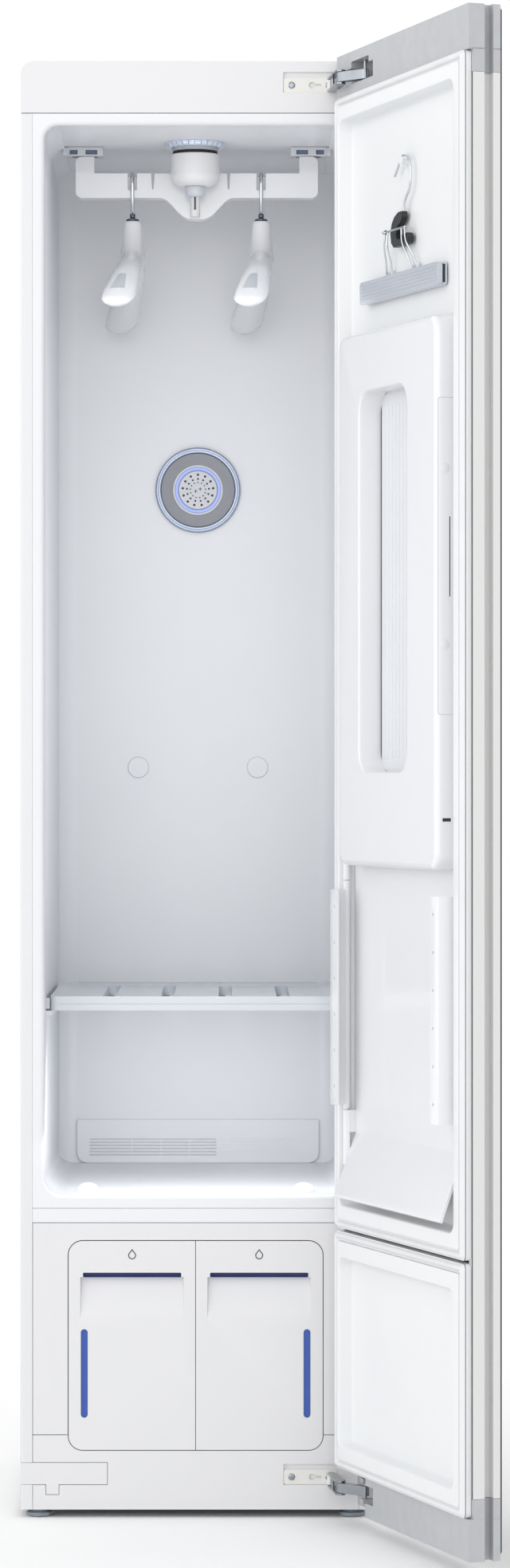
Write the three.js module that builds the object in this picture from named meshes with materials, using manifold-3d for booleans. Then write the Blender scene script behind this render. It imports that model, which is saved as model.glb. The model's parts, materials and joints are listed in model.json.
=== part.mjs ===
// A clothes care steam cabinet: a tall steel cabinet with a moulded chamber, a shaking hanger bar,
// two clothes hangers, a shelf, a steam nozzle, two water tanks and a glass door with a trouser press.
// Millimetres. +X is right, +Y is back and +Z is up, seen from in front of the cabinet.
// Until the last lines, Y is 0 at the cabinet's front face and Z is 0 on the floor.

import * as THREE from 'three';
import { mergeVertices } from 'three/addons/utils/BufferGeometryUtils.js';
import Module from 'manifold-3d';

const wasm = await Module();
wasm.setup();

// Cabinet, overall
const cabinetWidth = 445;
const cabinetHeight = 1850;
const cabinetDepth = 535;
const footHeight = 10;
const topCoverHeight = 65.7;
const kickHeight = 95;
const tankFrameHeight = 269.5;
const sillHeight = 35.5;
const lintelHeight = 15.7;
const openingWidth = 385;
const chamberDepth = 480;

// Walls and clearances
const sheet = 1.2;
const moulding = 2.5;
const thickMoulding = 3;
const fit = 0.3;
const runningGap = 0.8;
const overrun = 5;
const flangeWidth = 15;

// Door, overall
const doorThickness = 42;
const doorGap = 8.5;
const doorBottom = 20;
const doorTopDrop = 0;
const openAngle = 109;
const hingeAxisInset = 14.5;
const hingeAxisDepth = 25.8;

// Heights and half widths that many pieces share
const halfWidth = cabinetWidth / 2;
const bodyBottom = footHeight;
const bodyTop = cabinetHeight - topCoverHeight;
const kickTop = footHeight + kickHeight;
const tankFrameTop = kickTop + tankFrameHeight;
const openingBottom = tankFrameTop + sillHeight;
const openingTop = bodyTop - lintelHeight;
const halfOpening = openingWidth / 2;
const frontHalf = halfWidth - flangeWidth - fit / 2;

// How finely round things are drawn: steps in a quarter turn, and sides of a full turn
const quarter = Math.PI / 2;
const fineSteps = 3;
const coarseSteps = 2;
const wideRound = 30;
const largeRound = 20;
const midRound = 16;
const smallRound = 12;
const thinRound = 10;
const wireSides = 6;

// Geometry to solid and back

const weldTolerance = 0.0005;

function solid(geometry) {
  const bare = geometry.clone();
  bare.deleteAttribute('normal');
  bare.deleteAttribute('uv');
  const merged = mergeVertices(bare, weldTolerance);
  const places = merged.getAttribute('position').array;
  const corners = merged.index.array;
  const faces = [];
  let volume = 0;
  const a = new THREE.Vector3();
  const b = new THREE.Vector3();
  const c = new THREE.Vector3();
  for (let i = 0; i < corners.length; i += 3) {
    const [p, q, r] = [corners[i], corners[i + 1], corners[i + 2]];
    if (p !== q && q !== r && r !== p) {
      faces.push([p, q, r]);
      a.fromArray(places, p * 3);
      b.fromArray(places, q * 3);
      c.fromArray(places, r * 3);
      volume += a.dot(b.cross(c));
    }
  }
  const outward = faces.map(([p, q, r]) => (volume > 0 ? [p, q, r] : [p, r, q]));
  const vertProperties = new Float32Array(places);
  const triVerts = new Uint32Array(outward.flat());
  return new wasm.Manifold(new wasm.Mesh({ numProp: 3, vertProperties, triVerts }));
}

function geometryOf(shape) {
  const { vertProperties, triVerts } = shape.getMesh();
  const geometry = new THREE.BufferGeometry();
  geometry.setAttribute('position', new THREE.BufferAttribute(new Float32Array(vertProperties), 3));
  geometry.setIndex(new THREE.BufferAttribute(new Uint32Array(triVerts), 1));
  geometry.computeVertexNormals();
  return geometry;
}

function join(...solids) {
  return solids.reduce((whole, extra) => whole.add(extra));
}

function cut(base, ...tools) {
  return tools.reduce((rest, tool) => rest.subtract(tool), base);
}

function finish(color, roughness, metalness = 0) {
  return new THREE.MeshStandardMaterial({ color, roughness, metalness });
}

function addPiece(group, name, material, shape) {
  const mesh = new THREE.Mesh(geometryOf(shape), material);
  mesh.name = name;
  group.add(mesh);
  return mesh;
}

// Basic forms

function block(left, right, front, back, bottom, top) {
  const box = new THREE.BoxGeometry(right - left, back - front, top - bottom);
  box.translate((left + right) / 2, (front + back) / 2, (bottom + top) / 2);
  return solid(box);
}

function outline(points) {
  return new THREE.Shape(points.map(([x, y]) => new THREE.Vector2(x, y)));
}

function roundedRect(left, right, bottom, top, lowRadius, highRadius = lowRadius) {
  const shape = new THREE.Shape();
  shape.absarc(right - lowRadius, bottom + lowRadius, lowRadius, -quarter, 0);
  shape.absarc(right - highRadius, top - highRadius, highRadius, 0, quarter);
  shape.absarc(left + highRadius, top - highRadius, highRadius, quarter, 2 * quarter);
  shape.absarc(left + lowRadius, bottom + lowRadius, lowRadius, 2 * quarter, 3 * quarter);
  return shape;
}

function extruded(shape, depth, curveSegments) {
  return new THREE.ExtrudeGeometry(shape, { depth, bevelEnabled: false, curveSegments });
}

// A shape drawn in X and Z, run from front to back
function frontPrism(shape, front, back, steps = fineSteps) {
  const prism = extruded(shape, back - front, steps);
  prism.rotateX(quarter);
  prism.translate(0, back, 0);
  return solid(prism);
}

// A shape drawn in X and Y, run from bottom to top
function planPrism(shape, bottom, top, steps = fineSteps) {
  const prism = extruded(shape, top - bottom, steps);
  prism.translate(0, 0, bottom);
  return solid(prism);
}

// A shape drawn in Y and Z, run from left to right
function sidePrism(shape, left, right, steps = fineSteps) {
  const prism = extruded(shape, right - left, steps);
  const across = new THREE.Vector3(0, 1, 0);
  const up = new THREE.Vector3(0, 0, 1);
  const along = new THREE.Vector3(1, 0, 0);
  prism.applyMatrix4(new THREE.Matrix4().makeBasis(across, up, along));
  prism.translate(left, 0, 0);
  return solid(prism);
}

// Rings of equal count, one after another, closed by flat ends
function loft(rings) {
  const count = rings[0].length;
  const places = rings.flat().flatMap((point) => point.toArray());
  const faces = [];
  for (let ring = 0; ring + 1 < rings.length; ring += 1) {
    for (let side = 0; side < count; side += 1) {
      const here = ring * count + side;
      const next = ring * count + ((side + 1) % count);
      faces.push(here, next, next + count, here, next + count, here + count);
    }
  }
  const last = (rings.length - 1) * count;
  for (let side = 1; side + 1 < count; side += 1) {
    faces.push(0, side + 1, side);
    faces.push(last, last + side, last + side + 1);
  }
  const geometry = new THREE.BufferGeometry();
  geometry.setAttribute('position', new THREE.Float32BufferAttribute(places, 3));
  geometry.setIndex(faces);
  return solid(geometry);
}

// A profile of [radius, height] turned about an upright axis
function turned(profile, x, y, sides) {
  const geometry = new THREE.LatheGeometry(profile.map(([r, h]) => new THREE.Vector2(r, h)), sides);
  geometry.rotateX(quarter);
  geometry.translate(x, y, 0);
  return solid(geometry);
}

// A profile of [radius, depth] turned about an axis that runs front to back
function turnedAlongY(profile, x, z, sides) {
  const geometry = new THREE.LatheGeometry(profile.map(([r, h]) => new THREE.Vector2(r, h)), sides);
  geometry.translate(x, 0, z);
  return solid(geometry);
}

function cylinder(radius, x, y, bottom, top, sides) {
  return turned([[0, bottom], [radius, bottom], [radius, top], [0, top]], x, y, sides);
}

function cylinderAlongY(radius, x, z, front, back, sides) {
  return turnedAlongY([[0, front], [radius, front], [radius, back], [0, back]], x, z, sides);
}

function cylinderAlongX(radius, y, z, left, right, sides) {
  const geometry = new THREE.CylinderGeometry(radius, radius, right - left, sides);
  geometry.rotateZ(quarter);
  geometry.translate((left + right) / 2, y, z);
  return solid(geometry);
}

function wire(points, radius, steps) {
  const path = new THREE.CatmullRomCurve3(points, false, 'centripetal');
  const section = new THREE.Shape().absarc(0, 0, radius, 0, 4 * quarter);
  const curveSegments = wireSides / 2;
  const options = { steps, extrudePath: path, bevelEnabled: false, curveSegments };
  return solid(new THREE.ExtrudeGeometry(section, options));
}

function mirrored(shape) {
  return shape.mirror([1, 0, 0]);
}

// Pockets in the front for the hinge plates, alike at the top right, bottom right and bottom left
const hingePlateLeft = 110.5;
const hingePlateRight = 42.5;
const hingePlateThickness = 2;
const hingePocketDepth = 2.8;
const hingeArmHeight = 18;
const topArmDrop = 22;
const bottomArmRise = 30;
const topPlateHeight = 24.5;
const bottomPlateHeight = 25.5;
const topPlateDrop = 14.5;
const bottomPlateRise = 32;

const plateLeft = halfWidth - hingePlateLeft;
const plateRight = halfWidth - hingePlateRight;
const topPlate = {
  bottom: cabinetHeight - topPlateDrop - topPlateHeight,
  top: cabinetHeight - topPlateDrop,
};
const bottomPlate = {
  bottom: footHeight + bottomPlateRise,
  top: footHeight + bottomPlateRise + bottomPlateHeight,
};
const topArm = {
  bottom: cabinetHeight - topArmDrop - hingeArmHeight,
  top: cabinetHeight - topArmDrop,
};
const bottomArm = {
  bottom: footHeight + bottomArmRise,
  top: footHeight + bottomArmRise + hingeArmHeight,
};

function platePocket(plate, left, right) {
  return block(left - fit, right + fit, -overrun, hingePocketDepth, plate.bottom - fit, plate.top + fit);
}

// Steel side panels: one folded sheet each, with a front and a back flange

const panelCorner = 3;

function sidePanel() {
  const inner = halfWidth - sheet;
  const innerCorner = panelCorner - sheet;
  const folded = planPrism(
    roundedRect(halfWidth - flangeWidth, halfWidth, 0, cabinetDepth, panelCorner),
    bodyBottom, bodyTop - fit, coarseSteps,
  );
  const squareEdge = block(
    halfWidth - flangeWidth, halfWidth - flangeWidth / 2, 0, cabinetDepth, bodyBottom, bodyTop - fit,
  );
  const hollow = planPrism(
    roundedRect(halfWidth - flangeWidth - overrun * 2, inner, sheet, cabinetDepth - sheet, innerCorner),
    bodyBottom - overrun, bodyTop + overrun, coarseSteps,
  );
  return cut(join(folded, squareEdge), hollow);
}

function addSidePanels(group) {
  const coverNotch = block(
    halfWidth - flangeWidth - overrun, halfWidth + overrun, -overrun, hingeCoverThickness + fit,
    bottomPlate.bottom - fit, bottomPlate.top + hingeCoverRise + fit,
  );
  const left = cut(sidePanel(), coverNotch);
  addPiece(group, 'side_panel_right', finish(0xeef0f2, 0.35), sidePanel());
  addPiece(group, 'side_panel_left', finish(0xeef0f2, 0.35), mirrored(left));
}

// Back panel: a flat sheet with two pressed stiffeners and rows of vents low down

const stiffenerDepth = 4;
const stiffenerWidth = 120;
const stiffenerMargin = 90;
const ventRows = 8;
const ventPitch = 16;
const ventSlotHeight = 6;
const ventSlotWidth = 130;
const ventRise = 140;
const ventOffset = 85;

function addBackPanel(group) {
  const back = cabinetDepth;
  const front = cabinetDepth - sheet;
  let panel = block(-frontHalf, frontHalf, front, back, bodyBottom, bodyTop - fit);
  const bottom = tankFrameTop + stiffenerMargin;
  const top = bodyTop - stiffenerMargin;
  for (const side of [-1, 1]) {
    const centre = side * ventOffset;
    const left = centre - stiffenerWidth / 2;
    const right = centre + stiffenerWidth / 2;
    const pressed = block(left, right, front - stiffenerDepth, back, bottom, top);
    const dent = block(
      left + sheet, right - sheet, front - stiffenerDepth + sheet, back + overrun,
      bottom + sheet, top - sheet,
    );
    panel = cut(join(panel, pressed), dent);
    for (let row = 0; row < ventRows; row += 1) {
      const z = bodyBottom + ventRise + row * ventPitch;
      panel = cut(panel, block(
        centre - ventSlotWidth / 2, centre + ventSlotWidth / 2, front - overrun, back + overrun,
        z, z + ventSlotHeight,
      ));
    }
  }
  addPiece(group, 'back_panel', finish(0xd8dadd, 0.5), panel);
}

// Top cover: a deep moulded cap with rounded shoulders

const topCoverCorner = 16;

function addTopCover(group) {
  const shell = frontPrism(
    roundedRect(-halfWidth, halfWidth, bodyTop - topCoverCorner, cabinetHeight, topCoverCorner),
    0, cabinetDepth,
  );
  const body = cut(shell, block(
    -halfWidth - overrun, halfWidth + overrun, -overrun, cabinetDepth + overrun,
    bodyTop - 2 * topCoverCorner, bodyTop,
  ));
  const innerCorner = topCoverCorner - thickMoulding;
  const hollow = frontPrism(
    roundedRect(
      -halfWidth + thickMoulding, halfWidth - thickMoulding,
      bodyTop - topCoverCorner, cabinetHeight - thickMoulding, innerCorner,
    ),
    thickMoulding, cabinetDepth - thickMoulding, coarseSteps,
  );
  const hingeBacking = block(
    plateLeft - thickMoulding, plateRight + thickMoulding, thickMoulding / 2,
    hingePocketDepth + thickMoulding, topPlate.bottom - thickMoulding, topPlate.top + thickMoulding,
  );
  const cover = cut(join(cut(body, hollow), hingeBacking), platePocket(topPlate, plateLeft, plateRight));
  addPiece(group, 'top_cover', finish(0xf1f2f4, 0.35), cover);
}

// Base plate: a steel pan with a threaded boss over each foot

const basePlateThickness = 3;
const basePlateLip = 12;
const footStudRadius = 4;
const footInsetX = 23.5;
const footInsetFront = 18;
const footInsetBack = 60;
const footBossRadius = 8;
const footBossHeight = 9;
const footThreadGap = 0.4;

const footPlaces = [
  ['front_left', -halfWidth + footInsetX, footInsetFront],
  ['front_right', halfWidth - footInsetX, footInsetFront],
  ['back_left', -halfWidth + footInsetX, cabinetDepth - footInsetBack],
  ['back_right', halfWidth - footInsetX, cabinetDepth - footInsetBack],
];
const basePlateTop = bodyBottom + basePlateThickness;

function addBasePlate(group) {
  const left = -halfWidth + sheet + fit;
  const right = halfWidth - sheet - fit;
  const front = thickMoulding + fit;
  const back = cabinetDepth - panelCorner;
  const pan = cut(
    block(left, right, front, back, bodyBottom, basePlateTop + basePlateLip),
    block(
      left + sheet, right - sheet, front + sheet, back - sheet,
      basePlateTop, basePlateTop + basePlateLip + overrun,
    ),
  );
  let plate = pan;
  const bossTop = basePlateTop + footBossHeight;
  const bore = footStudRadius + footThreadGap;
  for (const [, x, y] of footPlaces) {
    plate = join(plate, cylinder(footBossRadius, x, y, bodyBottom, bossTop, smallRound));
    plate = cut(plate, cylinder(bore, x, y, -overrun, bossTop + overrun, smallRound));
  }
  addPiece(group, 'base_plate', finish(0xb9bcc0, 0.45, 0.6), plate);
}

// Levelling feet: an octagonal pad on a threaded stud

const footRadius = 17;
const footPadHeight = 6.5;
const footNeckRadius = 11;
const footStudTop = 30;
const footSides = 8;

function addFeet(group) {
  for (const [place, x, y] of footPlaces) {
    const pad = turned([
      [0, 0], [footRadius - fit, 0], [footRadius, fit], [footRadius, footPadHeight - 2 * fit],
      [footRadius - 2 * fit, footPadHeight], [footNeckRadius, footPadHeight],
      [footNeckRadius, footHeight - fit], [footStudRadius, footHeight - fit],
      [footStudRadius, footStudTop], [0, footStudTop],
    ], x, y, footSides);
    addPiece(group, `foot_${place}`, finish(0x8f979f, 0.55), pad);
  }
}

// Chamber liner: one moulding with the front frame, the walls and the floor of the chamber

const openingCornerTop = 18;
const openingCornerBottom = 22;
const chamberCorner = 26;
const ceilingRise = 3.4;
const sillGrooveDrop = 16.2;
const sillGrooveWidth = 0.8;
const sillGrooveDepth = 0.8;
const frameReturn = 18;
const floorBumpInset = 27;
const floorBumpWidth = 15;
const floorBumpHeight = 9;
const floorBumpSetback = 40;
const wallPlugRadius = 14.2;
const wallPlugSpacing = 164;
const wallPlugRise = 543;
const wallPlugProud = 1.5;
const shelfRise = 231;
const shelfLedgeDepth = 8;
const shelfLedgeHeight = 6;
const shelfFront = 60;
const shelfBack = 460;

const chamberCeiling = openingTop + ceilingRise;
const shelfBottom = openingBottom + shelfRise;

function chamberSpace(grow) {
  const plan = new THREE.Shape();
  const half = halfOpening + grow;
  const back = chamberDepth + grow;
  const corner = chamberCorner + grow;
  plan.moveTo(-half, -overrun);
  plan.lineTo(half, -overrun);
  plan.absarc(half - corner, back - corner, corner, 0, quarter);
  plan.absarc(-half + corner, back - corner, corner, quarter, 2 * quarter);
  return planPrism(plan, openingBottom - grow, chamberCeiling + grow);
}

function openingThrough(front, back, grow = 0) {
  return frontPrism(
    roundedRect(
      -halfOpening - grow, halfOpening + grow, openingBottom - grow, openingTop + grow,
      openingCornerBottom, openingCornerTop,
    ),
    front, back,
  );
}

function addChamberLiner(group) {
  const inside = openingThrough(-overrun, chamberDepth + overrun, 0);
  const ceilingBand = block(
    -halfOpening + openingCornerTop, halfOpening - openingCornerTop, thickMoulding * 2, chamberDepth,
    openingTop - overrun, chamberCeiling,
  );
  const space = join(chamberSpace(0).intersect(inside), chamberSpace(0).intersect(ceilingBand));
  const outside = openingThrough(0, chamberDepth + moulding, moulding + ceilingRise);
  const walls = chamberSpace(moulding).intersect(outside);
  const frame = block(-frontHalf, frontHalf, 0, moulding, tankFrameTop + fit, bodyTop - fit);
  const frameSkirt = cut(
    block(-frontHalf, frontHalf, 0, frameReturn, tankFrameTop + fit, bodyTop - fit),
    block(
      -frontHalf + moulding, frontHalf - moulding, -overrun, frameReturn + overrun,
      tankFrameTop + fit + moulding, bodyTop - fit - moulding,
    ),
  );
  let liner = cut(join(walls, frame, frameSkirt), space);
  const grooveTop = openingBottom - sillGrooveDrop;
  liner = cut(liner, block(
    -frontHalf - overrun, frontHalf + overrun, -overrun, sillGrooveDepth,
    grooveTop - sillGrooveWidth, grooveTop,
  ));
  for (const side of [-1, 1]) {
    const wall = side * halfOpening;
    const inner = side * (halfOpening - shelfLedgeDepth);
    liner = join(liner, block(
      Math.min(wall, inner) - (side < 0 ? fit : 0), Math.max(wall, inner) + (side > 0 ? fit : 0),
      shelfFront, shelfBack, shelfBottom - fit - shelfLedgeHeight, shelfBottom - fit,
    ));
    const bump = new THREE.SphereGeometry(1, smallRound, footSides);
    bump.scale(floorBumpWidth, floorBumpWidth * 2, floorBumpHeight);
    bump.translate(side * (halfOpening - floorBumpInset), floorBumpSetback, openingBottom);
    const aboveFloor = block(
      -halfOpening, halfOpening, 0, chamberDepth, openingBottom - moulding / 2, openingTop,
    );
    liner = join(liner, solid(bump).intersect(aboveFloor));
    const plugX = side * wallPlugSpacing / 2;
    const plugZ = openingBottom + wallPlugRise;
    liner = join(liner, cylinderAlongY(
      wallPlugRadius, plugX, plugZ, chamberDepth - wallPlugProud, chamberDepth + moulding / 2, midRound,
    ));
  }
  const driveHole = cylinder(
    driveNeckRadius + runningGap, driveX, driveY,
    chamberCeiling - overrun, chamberCeiling + overrun, largeRound,
  );
  const nozzleHole = cylinderAlongY(
    nozzleTailRadius + runningGap, 0, nozzleZ,
    chamberDepth - overrun, chamberDepth + overrun, largeRound,
  );
  const ventHole = block(
    ventCoverLeft + ventHoleMargin, ventCoverRight - ventHoleMargin, chamberDepth - overrun,
    chamberDepth + overrun, ventCoverBottom + ventHoleMargin, ventCoverTop - ventHoleMargin,
  );
  addPiece(group, 'chamber_liner', finish(0xe9ecf0, 0.35), cut(liner, driveHole, nozzleHole, ventHole));
}

// Lower front: the frame round the tanks and the kick panel below it, both with a skirt behind

const tankSideMargin = 60.9;
const tankDrop = 19.2;
const tankTopMargin = 23.3;
const tankCorner = 18;
const tankGap = 0.8;

const tankWidth = halfWidth - tankSideMargin;
const tankBottom = kickTop - tankDrop;
const tankTop = tankFrameTop - tankTopMargin;

function tankOpening(grow) {
  return frontPrism(
    roundedRect(-tankWidth - grow, tankWidth + grow, tankBottom - grow, tankTop + grow, tankCorner),
    -overrun, frameReturn + overrun,
  );
}

function frontPlate(bottom, top) {
  return cut(
    block(-frontHalf, frontHalf, 0, frameReturn, bottom, top),
    block(
      -frontHalf + thickMoulding, frontHalf - thickMoulding, thickMoulding, frameReturn + overrun,
      bottom - overrun, top + overrun,
    ),
  );
}

function addLowerFrontPanel(group) {
  const panel = frontPlate(kickTop + fit / 2, tankFrameTop - fit / 2);
  addPiece(group, 'lower_front_panel', finish(0xf0f1f3, 0.35), cut(panel, tankOpening(tankGap)));
}

const hingeCoverLength = 110;
const hingeCoverThickness = 2;
const hingeCoverRise = 2;
const hingeCoverTabWidth = 16;
const hingeCoverTabDrop = 12.6;
const hingeCoverTabInset = 32.5;

function addKickPanel(group) {
  let panel = cut(frontPlate(bodyBottom, kickTop - fit / 2), tankOpening(tankGap));
  const backing = block(
    plateLeft - thickMoulding, frontHalf, thickMoulding / 2, hingePocketDepth + thickMoulding,
    bottomPlate.bottom - thickMoulding, bottomPlate.top + thickMoulding,
  );
  const floor = block(-halfWidth, halfWidth, 0, frameReturn + overrun, -overrun, bodyBottom);
  panel = cut(join(panel, backing, mirrored(backing)), floor);
  panel = cut(panel, platePocket(bottomPlate, plateLeft, plateRight));
  panel = cut(panel, hingeCover(fit));
  for (const [, x, y] of footPlaces) {
    const room = footRadius + runningGap;
    panel = cut(panel, block(
      x - room, x + room, thickMoulding, y + room, bodyBottom - overrun,
      basePlateTop + basePlateLip + runningGap,
    ));
  }
  addPiece(group, 'kick_panel', finish(0xf0f1f3, 0.35), panel);
}

// The cover over the spare hinge holes at the bottom left, with its tab
function hingeCover(grow) {
  const left = -halfWidth - grow;
  const right = -halfWidth + hingeCoverLength + grow;
  const bottom = bottomPlate.bottom - grow;
  const top = bottomPlate.top + hingeCoverRise + grow;
  const front = grow > 0 ? -overrun : 0;
  const tabLeft = -halfWidth + hingeCoverTabInset - grow;
  const tabRight = tabLeft + hingeCoverTabWidth + 2 * grow;
  return join(
    block(left, right, front, hingeCoverThickness + grow, bottom, top),
    block(tabLeft, tabRight, front, hingeCoverThickness + grow, bottom - hingeCoverTabDrop, bottom + fit),
  );
}

function addHingeCover(group) {
  addPiece(group, 'hinge_hole_cover', finish(0xf0f1f3, 0.35), hingeCover(0));
}

// Tank bay: an open-fronted box that holds both tanks

const bayDepth = 210;
const bayFront = thickMoulding + fit;
const bayRunnerWidth = 6;

function addTankBay(group) {
  const left = -tankWidth - tankGap;
  const right = tankWidth + tankGap;
  const bottom = tankBottom - tankGap;
  const top = tankTop + tankGap;
  const outer = frontPrism(
    roundedRect(left - moulding, right + moulding, bottom - moulding, top + moulding, tankCorner),
    bayFront, bayDepth, coarseSteps,
  );
  const inner = frontPrism(
    roundedRect(left, right, bottom, top, tankCorner - moulding),
    -overrun, bayDepth - moulding, coarseSteps,
  );
  const divider = block(
    -moulding / 2, moulding / 2, bayFront + tankFrontThickness + tankGap, bayDepth - moulding / 2,
    bottom - moulding / 2, bottom + bayRunnerWidth * 3,
  );
  addPiece(group, 'tank_bay', finish(0xd5d8dc, 0.5), join(cut(outer, inner), divider));
}

// Water tanks: a white front with a grip slot and a level window over a clear body

const tankFrontThickness = 14;
const gripWidth = 125;
const gripDrop = 40.2;
const gripHeight = 6;
const recessWidth = 132;
const recessHeight = 52;
const recessDepth = 9;
const levelInset = 15.6;
const levelWidth = 8.8;
const levelBottomRise = 40.9;
const levelHeight = 112.5;
const tankBodyDepth = 185;
const tankBodyInset = 6;
const tankBodyWall = 2;
const tankBodyTopDrop = 14;
const levelRibProud = 10;
const fillHoleWidth = 62.5;
const fillHoleDepth = 8;
const fillHoleSetback = 8;
const tankSlotCentre = -0.5;

const tankCentre = tankWidth * tankSlotCentre;

function tankFront() {
  const left = -tankWidth;
  const right = -tankGap / 2;
  const inner = roundedRect(left, right, tankBottom, tankTop, tankCorner);
  const squareSide = block(tankCentre, right, 0, tankFrontThickness, tankBottom, tankTop);
  const plate = join(frontPrism(inner, 0, tankFrontThickness), squareSide);
  const gripTop = tankTop - gripDrop;
  const gripBottom = gripTop - gripHeight;
  const slot = block(
    tankCentre - gripWidth / 2, tankCentre + gripWidth / 2, -overrun, tankFrontThickness - moulding,
    gripBottom, gripTop,
  );
  const ramp = outline([
    [-overrun, gripBottom + fit], [recessDepth, gripBottom + fit], [0, gripBottom - recessHeight],
    [-overrun, gripBottom - recessHeight],
  ]);
  const recess = sidePrism(ramp, tankCentre - recessWidth / 2, tankCentre + recessWidth / 2);
  const hollow = block(
    left + tankBodyInset, right - moulding, tankFrontThickness - moulding, tankFrontThickness + overrun,
    tankBottom + tankBodyInset, tankTop - tankBodyInset,
  );
  return cut(plate, slot, recess, hollow, levelWindow(0, -overrun, tankFrontThickness + overrun));
}

function levelWindow(shrink, front, back) {
  const left = -tankWidth + levelInset + shrink;
  const right = -tankWidth + levelInset + levelWidth - shrink;
  const bottom = tankBottom + levelBottomRise + shrink;
  const top = bottom + levelHeight - 2 * shrink;
  const shape = roundedRect(left, right, bottom, top, levelWidth / 2 - shrink);
  return frontPrism(shape, front, back, coarseSteps);
}

function tankBody() {
  const front = tankFrontThickness - moulding + fit;
  const left = -tankWidth + tankBodyInset + fit;
  const right = -tankGap / 2 - moulding - fit;
  const bottom = tankBottom + tankBodyInset + fit;
  const top = tankTop - tankBodyTopDrop;
  const shell = cut(
    block(left, right, front, tankBodyDepth, bottom, top),
    block(
      left + tankBodyWall, right - tankBodyWall, front + tankBodyWall, tankBodyDepth - tankBodyWall,
      bottom + tankBodyWall, top - tankBodyWall,
    ),
    block(
      tankCentre - fillHoleWidth / 2, tankCentre + fillHoleWidth / 2,
      tankBodyDepth - fillHoleSetback - fillHoleDepth, tankBodyDepth - fillHoleSetback,
      top - tankBodyWall - overrun, top + overrun,
    ),
  );
  return join(shell, levelWindow(fit, tankFrontThickness - levelRibProud, front + tankBodyWall / 2));
}

function addTanks(group) {
  addPiece(group, 'drain_tank_front', finish(0xeff0f2, 0.3), tankFront());
  addPiece(group, 'drain_tank_body', finish(0x3f63b0, 0.15), tankBody());
  addPiece(group, 'water_tank_front', finish(0xeff0f2, 0.3), mirrored(tankFront()));
  addPiece(group, 'water_tank_body', finish(0x3f63b0, 0.15), mirrored(tankBody()));
}

// Steam nozzle on the back wall: bezel, plate with 13 lines of holes, and a light ring in its groove

const nozzleRise = 924;
const nozzleBezelRadius = 58.5;
const nozzlePlateRadius = 50.6;
const nozzleTailRadius = 40;
const nozzleBezelProud = 7;
const nozzlePlateProud = 4;
const nozzleTailDepth = 10;
const lightRingOuter = 31.7;
const lightRingInner = 26.9;
const lightRingDepth = 2.5;
const nozzleHoleLines = 13;
const nozzleHoleRadiusShares = [0.082, 0.062, 0.044];
const nozzleHolePlaceShares = [0.8, 0.58, 0.4];
const nozzleHoleDepth = 2;
const nozzleHoleSides = 5;

const nozzleZ = openingBottom + nozzleRise;

function addNozzle(group) {
  const wall = chamberDepth - fit;
  const bezelFront = wall - nozzleBezelProud;
  const edge = nozzleBezelProud / 3;
  addPiece(group, 'nozzle_bezel', finish(0xaab4c6, 0.3), turnedAlongY([
    [nozzlePlateRadius + fit, wall], [nozzlePlateRadius + fit, bezelFront + edge],
    [nozzlePlateRadius + edge, bezelFront], [nozzleBezelRadius - edge, bezelFront],
    [nozzleBezelRadius, bezelFront + 2 * edge], [nozzleBezelRadius, wall], [nozzlePlateRadius + fit, wall],
  ], 0, nozzleZ, wideRound));
  const plateFront = wall - nozzlePlateProud;
  let plate = turnedAlongY([
    [0, plateFront], [nozzlePlateRadius, plateFront], [nozzlePlateRadius, wall], [nozzleTailRadius, wall],
    [nozzleTailRadius, wall + nozzleTailDepth], [0, wall + nozzleTailDepth],
  ], 0, nozzleZ, wideRound);
  plate = cut(plate, turnedAlongY([
    [lightRingInner - fit, plateFront - overrun], [lightRingOuter + fit, plateFront - overrun],
    [lightRingOuter + fit, plateFront + lightRingDepth], [lightRingInner - fit, plateFront + lightRingDepth],
    [lightRingInner - fit, plateFront - overrun],
  ], 0, nozzleZ, wideRound));
  for (let line = 0; line < nozzleHoleLines; line += 1) {
    const angle = (line / nozzleHoleLines) * 4 * quarter;
    nozzleHoleRadiusShares.forEach((share, order) => {
      const reach = lightRingInner * nozzleHolePlaceShares[order];
      plate = cut(plate, cylinderAlongY(
        lightRingInner * share, reach * Math.sin(angle), nozzleZ + reach * Math.cos(angle),
        plateFront - overrun, plateFront + nozzleHoleDepth, nozzleHoleSides,
      ));
    });
  }
  addPiece(group, 'nozzle_plate', finish(0x4c5460, 0.35), plate);
  const ringBack = plateFront + lightRingDepth - fit;
  addPiece(group, 'nozzle_light_ring', finish(0x8a9bd4, 0.2), turnedAlongY([
    [lightRingInner, plateFront], [lightRingOuter, plateFront], [lightRingOuter, ringBack],
    [lightRingInner, ringBack], [lightRingInner, plateFront],
  ], 0, nozzleZ, wideRound));
}

// Vent cover at the foot of the back wall, with four columns of louvres

const ventCoverWidth = 332;
const ventCoverHeight = 52;
const ventCoverThickness = 5;
const ventCoverCorner = 14;
const ventHoleMargin = 10;
const louvreRows = 6;
const louvreHeight = 3;
const louvreColumns = 4;
const louvreStartInset = 17;
const louvreColumnWidth = 40;
const louvreColumnGap = 4;
const louvreBandRise = 9;
const louvreBandHeight = 28;

const ventCoverLeft = -ventCoverWidth / 2;
const ventCoverRight = ventCoverWidth / 2;
const ventCoverBottom = openingBottom + fit;
const ventCoverTop = ventCoverBottom + ventCoverHeight;

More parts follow.
